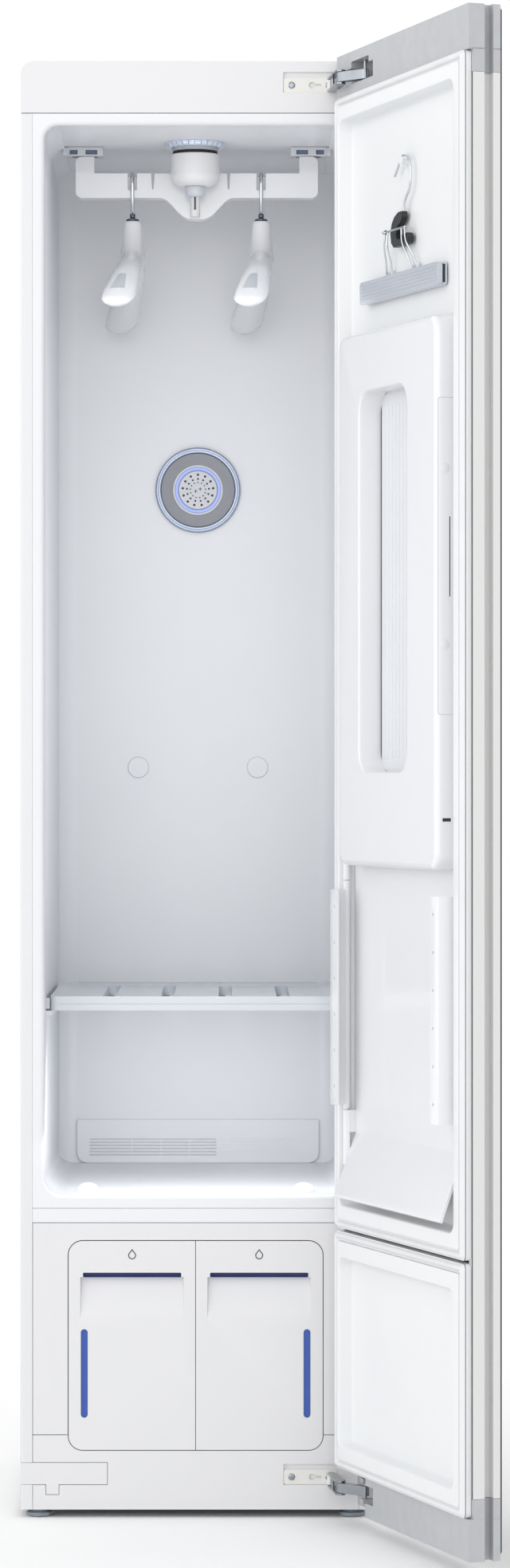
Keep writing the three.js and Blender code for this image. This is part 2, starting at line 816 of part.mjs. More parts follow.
function addVentCover(group) {
  const back = chamberDepth - fit;
  let cover = frontPrism(
    roundedRect(ventCoverLeft, ventCoverRight, ventCoverBottom, ventCoverTop, ventCoverCorner, fit),
    back - ventCoverThickness, back, coarseSteps,
  );
  const pitch = louvreBandHeight / louvreRows;
  for (let column = 0; column < louvreColumns; column += 1) {
    const left = ventCoverLeft + louvreStartInset + column * (louvreColumnWidth + louvreColumnGap);
    for (let row = 0; row < louvreRows; row += 1) {
      const bottom = ventCoverBottom + louvreBandRise + row * pitch;
      cover = cut(cover, block(
        left, left + louvreColumnWidth, back - ventCoverThickness - overrun, back + overrun,
        bottom, bottom + louvreHeight,
      ));
    }
  }
  addPiece(group, 'vent_cover', finish(0xeceef1, 0.4), cover);
}

// Shelf: a shallow tray with four slots and sloping side rims

const shelfHeight = 18;
const shelfFloorRise = 11;
const shelfFloorThickness = 3;
const shelfRimWidth = 22;
const shelfFrontRimWidth = 8;
const shelfSlotWidth = 17.4;
const shelfSlotSpacing = 75.4;
const shelfSlotMargin = 36;
const shelfSideGap = 2.5;
const shelfSlots = 4;

function addShelf(group) {
  const half = halfOpening - shelfSideGap - moulding;
  const top = shelfBottom + shelfHeight;
  const floor = shelfBottom + shelfFloorRise;
  const backLimit = shelfBack - chamberCorner / 2;
  const ring = (halfSpan, front, back, z) => [
    new THREE.Vector3(-halfSpan, front, z), new THREE.Vector3(halfSpan, front, z),
    new THREE.Vector3(halfSpan, back, z), new THREE.Vector3(-halfSpan, back, z),
  ];
  const body = planPrism(
    roundedRect(-half, half, shelfFront, shelfBack, shelfFrontRimWidth, chamberCorner - moulding),
    shelfBottom, top, coarseSteps,
  );
  const dish = loft([
    ring(half - shelfRimWidth, shelfFront + shelfFrontRimWidth, backLimit, floor),
    ring(half - moulding, shelfFront + moulding * 2, shelfBack - moulding * 4, top + fit),
  ]);
  const underside = planPrism(
    roundedRect(
      -half + moulding, half - moulding, shelfFront + moulding, shelfBack - moulding,
      shelfFrontRimWidth - moulding, chamberCorner - 2 * moulding,
    ),
    shelfBottom - overrun, floor - shelfFloorThickness, coarseSteps,
  );
  let tray = cut(body, dish, underside);
  for (let slot = 0; slot < shelfSlots; slot += 1) {
    const centre = (slot - (shelfSlots - 1) / 2) * shelfSlotSpacing;
    tray = cut(tray, planPrism(
      roundedRect(
        centre - shelfSlotWidth / 2, centre + shelfSlotWidth / 2, shelfFront + shelfSlotMargin,
        shelfBack - shelfSlotMargin, shelfSlotWidth / 2 - fit,
      ),
      shelfBottom - overrun, top + overrun, coarseSteps,
    ));
  }
  addPiece(group, 'shelf', finish(0xf0f2f5, 0.35), tray);
}

// Hanger drive in the ceiling: clear lamp ring, then the drive housing with its short stem

const driveX = -2;
const driveY = 195;
const lampRadius = 40.5;
const lampHeight = 7;
const driveNeckRadius = 30;
const driveNeckDrop = 24;
const driveDrumRadius = 32.5;
const driveDrumDrop = 57;
const driveCorner = 10;
const driveStemRadius = 13.5;
const driveStemDrop = 75;
const drivePinRadius = 6;
const drivePinDrop = 101;
const driveMotorRadius = 45;
const driveMotorHeight = 30;

function addDrive(group) {
  const ceiling = chamberCeiling;
  addPiece(group, 'ceiling_lamp', finish(0xdfe6ee, 0.1), turned([
    [driveNeckRadius + runningGap, ceiling - fit], [driveNeckRadius + runningGap, ceiling - lampHeight],
    [lampRadius - lampHeight / 2, ceiling - lampHeight], [lampRadius, ceiling - lampHeight / 2],
    [lampRadius, ceiling - fit], [driveNeckRadius + runningGap, ceiling - fit],
  ], driveX, driveY, largeRound));
  const motorBottom = ceiling + moulding + fit;
  const roundedEnd = [];
  for (let step = 0; step <= fineSteps; step += 1) {
    const angle = (step / fineSteps) * quarter;
    roundedEnd.push([
      driveDrumRadius - driveCorner + driveCorner * Math.sin(angle),
      ceiling - driveDrumDrop + driveCorner - driveCorner * Math.cos(angle),
    ]);
  }
  addPiece(group, 'drive_housing', finish(0xe6e9ee, 0.35), turned([
    [0, ceiling - drivePinDrop], [drivePinRadius, ceiling - drivePinDrop],
    [drivePinRadius, ceiling - driveStemDrop], [driveStemRadius, ceiling - driveStemDrop],
    [driveStemRadius, ceiling - driveDrumDrop], ...roundedEnd,
    [driveDrumRadius, ceiling - driveNeckDrop], [driveNeckRadius, ceiling - driveNeckDrop],
    [driveNeckRadius, motorBottom], [driveMotorRadius, motorBottom],
    [driveMotorRadius, motorBottom + driveMotorHeight], [0, motorBottom + driveMotorHeight],
  ], driveX, driveY, largeRound));
}

// Hanger rails: two short hollow rails under the ceiling that carry the bar's heads

const railLeft = 122;
const railRight = 170;
const railHeight = 13;
const railDepth = 30;
const railSlotLength = 35;
const railSlotDepth = 14;
const railWall = 4;
const stemWidth = 7;
const stemDepth = 10;
const headWidth = 13;
const headDepth = 19;
const headHeight = 4;
const barY = 240;

const railBottom = chamberCeiling - ceilingRise - railHeight;
const railCentre = (railLeft + railRight) / 2;

function addRails(group) {
  const front = barY - railDepth / 2;
  const back = barY + railDepth / 2;
  const body = block(railLeft, railRight, front, back, railBottom, chamberCeiling - fit);
  const cavity = block(
    railLeft + railWall, railRight - railWall, front + railWall, back - railWall,
    railBottom + railWall, chamberCeiling + overrun,
  );
  const slot = block(
    railCentre - railSlotLength / 2, railCentre + railSlotLength / 2, barY - railSlotDepth / 2,
    barY + railSlotDepth / 2, railBottom - overrun, railBottom + railWall + overrun,
  );
  const rail = cut(body, cavity, slot);
  addPiece(group, 'hanger_rail_right', finish(0xe6e9ee, 0.4), rail);
  addPiece(group, 'hanger_rail_left', finish(0xe6e9ee, 0.4), mirrored(rail));
}

// Moving hanger bar: a shallow U with a bulge behind the drive and a saddle for each hanger

const barHalfLength = 160;
const barDepth = 24;
const barBottomDrop = 65.5;
const barHeight = 32.5;
const barPostWidth = 23;
const barPostTopDrop = 17.5;
const barCorner = 8;
const bulgeHalfWidth = 45;
const bulgeDrop = 28;
const bulgeFlat = 9;
const saddleSpacing = 170;
const saddleWidth = 12;
const saddleWeb = 12;
const saddleDrop = 4;
const saddleRound = 24;
const slitSpacing = 100;
const slitWidth = 3.5;
const slitDepth = 23;
const hookWireRadius = 2.3;
const hookLoopRadius = 14.3;

const barBottom = chamberCeiling - barBottomDrop;
const barTop = barBottom + barHeight;
const saddleTop = barTop - saddleDrop;
const hookLoopZ = saddleTop + fit + hookWireRadius - hookLoopRadius;

function addMovingHanger(group) {
  const postTop = chamberCeiling - barPostTopDrop;
  const inner = barHalfLength - barPostWidth;
  const bulgeBottom = barBottom - bulgeDrop;
  const shape = new THREE.Shape();
  shape.moveTo(-barHalfLength, postTop);
  shape.lineTo(-barHalfLength, barBottom + barCorner);
  shape.absarc(-barHalfLength + barCorner, barBottom + barCorner, barCorner, 2 * quarter, 3 * quarter);
  shape.lineTo(-bulgeHalfWidth, barBottom);
  shape.bezierCurveTo(
    -bulgeHalfWidth / 2, barBottom, -bulgeHalfWidth / 2, bulgeBottom, -bulgeFlat, bulgeBottom,
  );
  shape.lineTo(bulgeFlat, bulgeBottom);
  shape.bezierCurveTo(
    bulgeHalfWidth / 2, bulgeBottom, bulgeHalfWidth / 2, barBottom, bulgeHalfWidth, barBottom,
  );
  shape.lineTo(barHalfLength - barCorner, barBottom);
  shape.absarc(barHalfLength - barCorner, barBottom + barCorner, barCorner, 3 * quarter, 4 * quarter);
  shape.lineTo(barHalfLength, postTop);
  shape.lineTo(inner, postTop);
  shape.lineTo(inner, barTop);
  shape.lineTo(-inner, barTop);
  shape.lineTo(-inner, postTop);
  const front = barY - barDepth / 2;
  const back = barY + barDepth / 2;
  let bar = frontPrism(shape, front, back);
  for (const side of [-1, 1]) {
    const x = side * saddleSpacing / 2;
    const left = x - saddleWidth / 2;
    const right = x + saddleWidth / 2;
    const slitX = side * slitSpacing / 2;
    bar = cut(
      bar,
      block(left, right, front - overrun, barY - saddleWeb / 2, barBottom - overrun, barTop + overrun),
      block(left, right, barY + saddleWeb / 2, back + overrun, barBottom - overrun, barTop + overrun),
      cut(
        block(left, right, front - overrun, back + overrun, hookLoopZ, barTop + overrun),
        cylinderAlongX(hookLoopRadius - hookWireRadius - fit, barY, hookLoopZ, left, right, saddleRound),
      ),
      block(
        slitX - slitWidth / 2, slitX + slitWidth / 2, front - overrun, back + overrun,
        barTop - slitDepth, barTop + overrun,
      ),
    );
    const railX = side * railCentre;
    const headBottom = railBottom + railWall + fit;
    bar = join(
      bar,
      block(
        railX - stemWidth / 2, railX + stemWidth / 2, barY - stemDepth / 2, barY + stemDepth / 2,
        postTop - fit, headBottom + headHeight / 2,
      ),
      block(
        railX - headWidth / 2, railX + headWidth / 2, barY - headDepth / 2, barY + headDepth / 2,
        headBottom, headBottom + headHeight,
      ),
    );
  }
  addPiece(group, 'moving_hanger', finish(0xf2f3f5, 0.3), bar);
}

// Clothes hangers: a contoured moulded body under a chrome hook that rides in the saddle

const hookLoopStart = -20;
const hookLoopEnd = 200;
const hookLoopSteps = 10;
const hookShankDrops = [36, 45, 53];
const hookShankAsideShares = [0.85, 0.45, 0];
const hookEndDrop = 61;
const hookSteps = 22;
const hangerHalfSpan = 195;
const hangerNeckWidth = 25;
const hangerNeckTopDrop = 61.5;
const hangerShoulderDrop = 105;
const hangerTipDrop = 183;
const hangerTipWidth = 45;
const hangerTipHeight = 20;
const hangerMiddleHeight = 34;
const hangerTipSweep = 18;
const ferruleRadius = 5;
const ferruleHeight = 6;
const hangerSlices = 8;
const hangerSides = 10;
const hangerFlarePower = 1.5;
const hangerStraightShare = 0.25;
const hangerEndShare = 0.55;
const hangerNeckShares = [0, 0.25, 0.6, 1];
const hangerNeckTopShare = 0.72;
const hangerNeckDepthShare = 0.8;
const hangerNeckSpreadShare = 1.1;

function addHangerHook(group, name, x) {
  const wireTop = hookLoopZ + hookLoopRadius;
  const endZ = wireTop - hookEndDrop;
  const points = [];
  for (let step = 0; step <= hookLoopSteps; step += 1) {
    const angle = hookLoopStart + (hookLoopEnd - hookLoopStart) * (step / hookLoopSteps);
    const turn = THREE.MathUtils.degToRad(angle);
    points.push(new THREE.Vector3(
      x, barY + hookLoopRadius * Math.cos(turn), hookLoopZ + hookLoopRadius * Math.sin(turn),
    ));
  }
  hookShankDrops.forEach((drop, order) => {
    points.push(new THREE.Vector3(x, barY - hookLoopRadius * hookShankAsideShares[order], wireTop - drop));
  });
  points.push(new THREE.Vector3(x, barY, endZ));
  const hook = wire(points, hookWireRadius, hookSteps);
  const collar = cylinder(ferruleRadius, x, barY, endZ, endZ + ferruleHeight, smallRound);
  addPiece(group, name, finish(0xc9ccd0, 0.12, 1), join(hook, collar));
}

function addHangerBody(group, name, x) {
  const wireTop = hookLoopZ + hookLoopRadius;
  const neckTop = wireTop - hangerNeckTopDrop;
  const shoulder = wireTop - hangerShoulderDrop;
  const tip = wireTop - hangerTipDrop;
  const rings = [];
  for (let slice = -hangerSlices; slice <= hangerSlices; slice += 1) {
    const share = slice / hangerSlices;
    const reach = Math.abs(share);
    const width = hangerNeckWidth + (hangerTipWidth - hangerNeckWidth) * reach ** hangerFlarePower;
    const height = hangerMiddleHeight + (hangerTipHeight - hangerMiddleHeight) * reach;
    const droop = hangerStraightShare * reach + (1 - hangerStraightShare) * reach ** 2;
    const z = shoulder + (tip - shoulder) * droop;
    const sweep = -hangerTipSweep * reach ** 2;
    const endShare = Math.abs(slice) === hangerSlices ? hangerEndShare : 1;
    const ring = [];
    for (let side = 0; side < hangerSides; side += 1) {
      const turn = (side / hangerSides) * 4 * quarter;
      ring.push(new THREE.Vector3(
        x + sweep + (width / 2) * endShare * Math.cos(turn),
        barY + hangerHalfSpan * share,
        z + (height / 2) * endShare * Math.sin(turn),
      ));
    }
    rings.push(ring);
  }
  const neckRings = hangerNeckShares.map((share) => {
    const z = neckTop + (shoulder - neckTop) * share;
    const widthShare = share === 0 ? hangerNeckTopShare : 1;
    const depthShare = hangerNeckDepthShare + hangerNeckSpreadShare * share;
    const ring = [];
    for (let side = 0; side < hangerSides; side += 1) {
      const turn = (side / hangerSides) * 4 * quarter;
      ring.push(new THREE.Vector3(
        x + (hangerNeckWidth / 2) * widthShare * Math.cos(turn),
        barY + (hangerNeckWidth / 2) * widthShare * depthShare * Math.sin(turn),
        z,
      ));
    }
    return ring;
  });
  addPiece(group, name, finish(0xf1f2f4, 0.35), join(loft(rings), loft(neckRings)));
}

function addHangers(group) {
  for (const [place, side] of [['left', -1], ['right', 1]]) {
    addHangerHook(group, `hanger_hook_${place}`, side * saddleSpacing / 2);
    addHangerBody(group, `hanger_body_${place}`, side * saddleSpacing / 2);
  }
}

// Machine compartment behind the tanks: compressor, steam generator, heat exchanger and blower

const compressorInset = 112.5;
const compressorRadius = 62;
const compressorHeight = 165;
const compressorFootHeight = 12;
const compressorFootHalf = 70;
const compressorFootShare = 0.8;
const compressorFlare = 15;
const compressorShoulderShare = 0.75;
const compressorCrownShare = 0.95;
const machineSetback = 165;
const steamInset = 17.5;
const steamMargin = 127.5;
const steamHeight = 110;
const steamDepth = 150;
const steamPipeRadius = 9;
const steamPipeRise = 44;
const exchangerInset = 202.5;
const exchangerWidth = 170;
const exchangerHeight = 130;
const exchangerDepth = 110;
const exchangerRise = 195;
const exchangerFins = 12;
const finThickness = 3;
const blowerAside = 40;
const blowerRadius = 78;
const blowerWidth = 62;
const blowerRise = 215;
const blowerWall = 3;
const blowerSpoutRise = 15;
const blowerInletRadius = 38.5;
const impellerRadius = 55;
const impellerWidth = 44;
const impellerBlades = 12;
const bladeThickness = 3;
const bladeDepth = 14;
const shaftRadius = 4;
const hubRadius = 12;

const machineFloor = basePlateTop + fit;
const machineY = cabinetDepth - machineSetback;
const compressorX = halfWidth - compressorInset;
const steamLeft = -halfWidth + steamInset;
const steamWidth = halfWidth - steamMargin;
const blowerX = steamLeft + steamWidth + blowerAside;
const exchangerLeft = halfWidth - exchangerInset;

function addCompressor(group) {
  const footTop = machineFloor + compressorFootHeight;
  const can = turned([
    [0, footTop - fit], [compressorRadius * compressorFootShare, footTop - fit],
    [compressorRadius, footTop + compressorFlare],
    [compressorRadius, footTop + compressorHeight * compressorShoulderShare],
    [compressorRadius * compressorShoulderShare, footTop + compressorHeight * compressorCrownShare],
    [0, footTop + compressorHeight],
  ], compressorX, machineY, largeRound);
  const plate = planPrism(roundedRect(
    compressorX - compressorFootHalf, compressorX + compressorFootHalf,
    machineY - compressorFootHalf, machineY + compressorFootHalf, compressorFootHeight,
  ), machineFloor, footTop, coarseSteps);
  addPiece(group, 'compressor', finish(0x2b2d30, 0.5, 0.3), join(can, plate));
}

function addSteamGenerator(group) {
  const right = steamLeft + steamWidth;
  const front = machineY - steamDepth / 2;
  const back = machineY + steamDepth / 2;
  const boiler = block(steamLeft, right, front, back, machineFloor, machineFloor + steamHeight);
  const pipe = cylinder(
    steamPipeRadius, steamLeft + steamWidth / 4, machineY, machineFloor + steamHeight - fit,
    machineFloor + steamHeight + steamPipeRise, thinRound,
  );
  addPiece(group, 'steam_generator', finish(0xc4c8cc, 0.45), join(boiler, pipe));
}

function addHeatExchanger(group) {
  const bottom = machineFloor + exchangerRise;
  const top = bottom + exchangerHeight;
  const front = machineY - exchangerDepth / 2;
  const back = machineY + exchangerDepth / 2;
  const right = exchangerLeft + exchangerWidth;
  let coil = block(exchangerLeft, right, front, back, bottom, top);
  const pitch = exchangerWidth / exchangerFins;
  for (let fin = 0; fin < exchangerFins - 1; fin += 1) {
    const left = exchangerLeft + fin * pitch + finThickness;
    coil = cut(coil, block(
      left, left + pitch - finThickness, front - overrun, front + exchangerDepth / 3,
      bottom + finThickness, top - finThickness,
    ));
  }
  const legs = [exchangerLeft, right - finThickness].map((left) => block(
    left, left + finThickness, back - exchangerDepth / 6, back, machineFloor, bottom + finThickness,
  ));
  addPiece(group, 'heat_exchanger', finish(0xb7bcc2, 0.4, 0.7), join(coil, ...legs));
}

function addBlower(group) {
  const z = machineFloor + blowerRise;
  const left = blowerX - blowerWidth / 2;
  const right = blowerX + blowerWidth / 2;
  const drum = cylinderAlongX(blowerRadius, machineY, z, left, right, largeRound);
  const stand = block(
    left + blowerWall, right - blowerWall, machineY - shaftRadius * 4, machineY + shaftRadius * 4,
    machineFloor, z - blowerRadius + overrun,
  );
  const spoutTop = z + blowerRadius + blowerSpoutRise;
  const spout = block(left, right, machineY, machineY + blowerRadius, z, spoutTop);
  const cavity = cylinderAlongX(
    blowerRadius - blowerWall, machineY, z, left + blowerWall, right - blowerWall, largeRound,
  );
  const throat = block(
    left + blowerWall, right - blowerWall, machineY + blowerWall, machineY + blowerRadius - blowerWall,
    z, spoutTop + overrun,
  );
  const inlet = cylinderAlongX(
    blowerInletRadius, machineY, z, left - overrun, left + blowerWall + overrun, largeRound,
  );
  const shaftHole = cylinderAlongX(
    shaftRadius + fit, machineY, z, right - blowerWall - overrun, right + overrun, thinRound,
  );
  addPiece(
    group, 'blower_housing', finish(0xd2d5d9, 0.5),
    cut(join(drum, stand, spout), cavity, throat, inlet, shaftHole),
  );
  const wheelLeft = blowerX - impellerWidth / 2;
  const wheelRight = blowerX + impellerWidth / 2;
  let wheel = join(
    cylinderAlongX(impellerRadius, machineY, z, wheelRight - bladeThickness, wheelRight, largeRound),
    cylinderAlongX(hubRadius, machineY, z, wheelRight - impellerWidth / 2, wheelRight, smallRound),
    cylinderAlongX(shaftRadius, machineY, z, wheelRight - bladeThickness, right + overrun, thinRound),
    cut(
      cylinderAlongX(impellerRadius, machineY, z, wheelLeft, wheelLeft + bladeThickness, largeRound),
      cylinderAlongX(
        impellerRadius - bladeDepth / 2, machineY, z, wheelLeft - overrun, wheelLeft + overrun, largeRound,
      ),
    ),
  );
  for (let blade = 0; blade < impellerBlades; blade += 1) {
    const leaf = new THREE.BoxGeometry(impellerWidth - fit, bladeThickness, bladeDepth);
    leaf.translate(blowerX, 0, impellerRadius - bladeDepth / 2 - fit);
    leaf.rotateX((blade / impellerBlades) * 4 * quarter);
    leaf.translate(0, machineY, z);
    wheel = join(wheel, solid(leaf));
  }
  addPiece(group, 'blower_impeller', finish(0x9aa0a6, 0.5), wheel);
}

// Hinges: a plate on the cabinet, an arm on its pin and a link to the door, at top and bottom.
// The door turns about one upright axis, and the arm and the link follow it.

const armPinInset = 50.5;
const armPinProud = 6;
const linkPinInset = 75;
const linkPinDepth = 10;
const armLength = 64.7;
const linkLength = 40.5;
const armPlate = 2.4;
const armRootHalf = 4.6;
const armTipHalf = 6.5;
const linkHalf = 5;
const linkHeight = 12.4;
const armPinRadius = 2.4;
const pinGap = 0.4;
const linkPinRadius = 2.2;
const armWebLength = 13;
const lugHeight = 12;
const lugHalf = 5;

const axisX = halfWidth - hingeAxisInset;
const axisY = -doorGap - hingeAxisDepth;
const openTurn = THREE.MathUtils.degToRad(openAngle);
const armPin = new THREE.Vector2(halfWidth - armPinInset, -armPinProud);
const linkPinClosed = new THREE.Vector2(halfWidth - linkPinInset, -doorGap - linkPinDepth);
const doorAxis = new THREE.Vector2(axisX, axisY);
const linkPinOpen = linkPinClosed.clone().rotateAround(doorAxis, openTurn);

// Where the arm and the link meet: the crossing of their two circles, on the cabinet's side
function elbow(linkPin) {
  const across = linkPin.clone().sub(armPin);
  const distance = across.length();
  const along = (armLength ** 2 - linkLength ** 2 + distance ** 2) / (2 * distance);
  const aside = Math.sqrt(Math.max(armLength ** 2 - along ** 2, 0));
  const unit = across.divideScalar(distance);
  const square = new THREE.Vector2(unit.y, -unit.x);
  return armPin.clone().addScaledVector(unit, along).addScaledVector(square, aside);
}

const elbowOpen = elbow(linkPinOpen);

// A bar with round ends between two pins, seen from above
function barOutline(from, to, fromHalf, toHalf) {
  const turn = Math.atan2(to.y - from.y, to.x - from.x);
  const shape = new THREE.Shape();
  shape.absarc(from.x, from.y, fromHalf, turn + quarter, turn + 3 * quarter);
  shape.absarc(to.x, to.y, toHalf, turn - quarter, turn + quarter);
  return shape;
}

function hingeArm(levels) {
  const bar = barOutline(armPin, elbowOpen, armRootHalf, armTipHalf);
  const direction = elbowOpen.clone().sub(armPin).normalize();
  const webEnd = armPin.clone().addScaledVector(direction, armWebLength);
  const web = barOutline(
    armPin.clone().addScaledVector(direction, lugHalf + runningGap * 3), webEnd, armPlate, armPlate,
  );
  const pinHole = cylinder(
    armPinRadius + pinGap, armPin.x, armPin.y, levels.bottom - overrun, levels.top + overrun, smallRound,
  );
  return cut(join(
    planPrism(bar, levels.bottom, levels.bottom + armPlate),
    planPrism(bar, levels.top - armPlate, levels.top),
    planPrism(web, levels.bottom + fit, levels.top - fit),
  ), pinHole);
}

function hingeLink(levels) {
  const middle = (levels.bottom + levels.top) / 2;
  const bar = barOutline(linkPinOpen, elbowOpen, linkHalf, linkHalf);
  return cut(
    planPrism(bar, middle - linkHeight / 2, middle + linkHeight / 2),
    cylinder(linkPinRadius + pinGap, linkPinOpen.x, linkPinOpen.y, levels.bottom, levels.top, smallRound),
  );
}

function hingePlate(plate, levels) {
  const front = hingePocketDepth - hingePlateThickness - fit;
  const middle = (levels.bottom + levels.top) / 2;
  const base = block(plateLeft, plateRight, front, hingePocketDepth - fit, plate.bottom, plate.top);
  const lugBottom = middle - lugHeight / 2;
  const lugTop = middle + lugHeight / 2;
  const lug = join(
    cylinder(lugHalf, armPin.x, armPin.y, lugBottom, lugTop, midRound),
    block(armPin.x - lugHalf, armPin.x + lugHalf, armPin.y, front + fit, lugBottom, lugTop),
  );
  const pin = cylinder(armPinRadius, armPin.x, armPin.y, levels.bottom, levels.top, smallRound);
  return join(base, lug, pin);
}

function addHinges(group) {
  addPiece(group, 'hinge_plate_top', finish(0xe8e9e4, 0.35, 0.5), hingePlate(topPlate, topArm));
  addPiece(group, 'hinge_plate_bottom', finish(0xe8e9e4, 0.35, 0.5), hingePlate(bottomPlate, bottomArm));
  addPiece(group, 'hinge_arm_top', finish(0xc5c9cc, 0.25, 0.9), hingeArm(topArm));
  addPiece(group, 'hinge_arm_bottom', finish(0xc5c9cc, 0.25, 0.9), hingeArm(bottomArm));
  addPiece(group, 'hinge_link_top', finish(0xb4b8bb, 0.25, 0.9), hingeLink(topArm));
  addPiece(group, 'hinge_link_bottom', finish(0xb4b8bb, 0.25, 0.9), hingeLink(bottomArm));
}

// Door. It is drawn closed: across counts from the hinge edge to the grip edge, and inward
// counts from the caps' inner face towards the cabinet.

const doorTop = cabinetHeight - doorTopDrop;
const doorX = (across) => halfWidth - across;
const doorY = (inward) => -doorGap + inward;

const capTopHeight = 54;
const capBottomHeight = 50;
const glassThickness = 4;
const glassTopInset = 5;
const glassBottomInset = 8;
const gripRecessStart = 20;
const gripRecessEnd = 31;
const gripRecessDepth = 12;
const trimWidth = 14;
const trimSetback = 5.5;
const trimWall = 2;

function doorBlock(acrossFrom, acrossTo, inwardFrom, inwardTo, bottom, top) {
  return block(doorX(acrossTo), doorX(acrossFrom), doorY(inwardFrom), doorY(inwardTo), bottom, top);
}

const glassFront = -doorThickness;
const glassBack = -doorThickness + glassThickness;
const capTopBottom = doorTop - capTopHeight;
const capBottomTop = doorBottom + capBottomHeight;

function addDoorFront(door) {
  addPiece(door, 'door_front_panel', finish(0x3a3c42, 0.08, 0.2), doorBlock(
    0, cabinetWidth, glassFront, glassBack, doorBottom + glassBottomInset, doorTop - glassTopInset,
  ));
}

const capPocketStart = 51.5;
const capPocketEnd = 113;
const capPocketBottomDrop = 41;
const capPocketTopDrop = 13;
const capPocketDepth = 20;
const capChannelEnd = 128;
const capChannelGap = 1;
const bottomCutEnd = 128;
const bottomCutDepth = 28;
const bracketThickness = 6;
const bracketGap = 1;

function gripRecess(bottom, top) {
  return doorBlock(
    cabinetWidth - gripRecessDepth, cabinetWidth + overrun, -gripRecessEnd, -gripRecessStart, bottom, top,
  );
}

function linkPinPost(bottom, top) {
  return cylinder(linkPinRadius, linkPinClosed.x, linkPinClosed.y, bottom, top, smallRound);
}

function addDoorCaps(door) {
  const backFace = glassBack + fit;
  const topCap = cut(
    doorBlock(0, cabinetWidth, backFace, 0, capTopBottom, doorTop),
    gripRecess(capTopBottom - overrun, doorTop + overrun),
    doorBlock(
      capPocketStart, capPocketEnd, -capPocketDepth, overrun,
      doorTop - capPocketBottomDrop, doorTop - capPocketTopDrop,
    ),
    doorBlock(
      -overrun, capChannelEnd, -capPocketDepth, overrun, topArm.bottom - capChannelGap,
      topArm.top + capChannelGap,
    ),
  );
  const topPost = linkPinPost(doorTop - capPocketBottomDrop - fit, doorTop - capPocketTopDrop + fit);
  addPiece(door, 'door_cap_top', finish(0xb3b6bc, 0.4, 0.2), join(topCap, topPost));
  const bracket = (bottom, top) => doorBlock(
    linkPinInset - lugHalf, linkPinInset + lugHalf, -bottomCutDepth - fit, -linkPinDepth + lugHalf,
    bottom, top,
  );
  const lower = bottomArm.bottom - bracketGap;
  const upper = bottomArm.top + bracketGap;
  const bottomCap = cut(
    doorBlock(0, cabinetWidth, backFace, 0, doorBottom, capBottomTop),
    gripRecess(doorBottom - overrun, capBottomTop + overrun),
    doorBlock(
      -overrun, bottomCutEnd, -bottomCutDepth, overrun, doorBottom - overrun, capBottomTop + overrun,
    ),
  );
  addPiece(door, 'door_cap_bottom', finish(0xb3b6bc, 0.4, 0.2), join(
    bottomCap, bracket(lower - bracketThickness, lower), bracket(upper, upper + bracketThickness),
    linkPinPost(lower - fit, upper + fit),
  ));
}

function addDoorTrims(door) {
  const bottom = capBottomTop + fit;
  const top = capTopBottom - fit;
  const back = glassBack + fit;
  const hingeTrim = cut(
    doorBlock(0, trimWidth, back, -trimSetback, bottom, top),
    doorBlock(
      trimWall, trimWidth + overrun, back + trimWall, -trimSetback - trimWall,
      bottom - overrun, top + overrun,
    ),
  );
  addPiece(door, 'door_side_hinge', finish(0xd9dadc, 0.35, 0.3), hingeTrim);
  const edge = cabinetWidth;
  const recessFloor = edge - gripRecessDepth;
  const gripTrim = cut(
    join(
      doorBlock(edge - trimWidth, edge, -gripRecessStart, -trimSetback, bottom, top),
      doorBlock(recessFloor - trimWall, recessFloor, -gripRecessEnd - trimWall, -trimSetback, bottom, top),
      doorBlock(recessFloor - trimWall, edge, back, -gripRecessEnd, bottom, top),
    ),
    doorBlock(
      edge - trimWidth - overrun, edge - trimWall, -gripRecessStart + trimWall, -trimSetback - trimWall,
      bottom - overrun, top + overrun,
    ),
  );
  addPiece(door, 'door_side_grip', finish(0xd9dadc, 0.35, 0.3), gripTrim);
}

// Door liners: two moulded inner panels, each with a deep dish and a gasket round its edge

const linerSplit = 371;
const linerSplitGap = 4;
const linerProud = 6;
const linerInset = 6;
const linerSkirt = 11;
const dishHingeEdge = 21;
const dishGripEdge = 36;
const dishFloor = 13;
const dishSlope = 2.5;
const upperDishBottomRise = 30;
const upperDishTopDrop = 30;
const lowerDishBottomRise = 30;
const lowerDishTopDrop = 33;
const gasketWidth = 12;
const gasketProud = 1.2;
const gasketSink = 4;

const upperLiner = { bottom: linerSplit + linerSplitGap / 2, top: capTopBottom - fit };
const lowerLiner = { bottom: capBottomTop + fit, top: linerSplit - linerSplitGap / 2 };
const upperDish = {
  bottom: upperLiner.bottom + upperDishBottomRise,
  top: upperLiner.top - upperDishTopDrop,
};
const lowerDish = {
  bottom: lowerLiner.bottom + lowerDishBottomRise,
  top: lowerLiner.top - lowerDishTopDrop,
};

function dishRing(dish, inward, shrink) {
  const near = doorX(dishHingeEdge + shrink);
  const far = doorX(cabinetWidth - dishGripEdge - shrink);
  const y = doorY(inward);
  const bottom = dish.bottom + shrink;
  const top = dish.top - shrink;
  return [
    new THREE.Vector3(near, y, bottom), new THREE.Vector3(far, y, bottom),
    new THREE.Vector3(far, y, top), new THREE.Vector3(near, y, top),
  ];
}

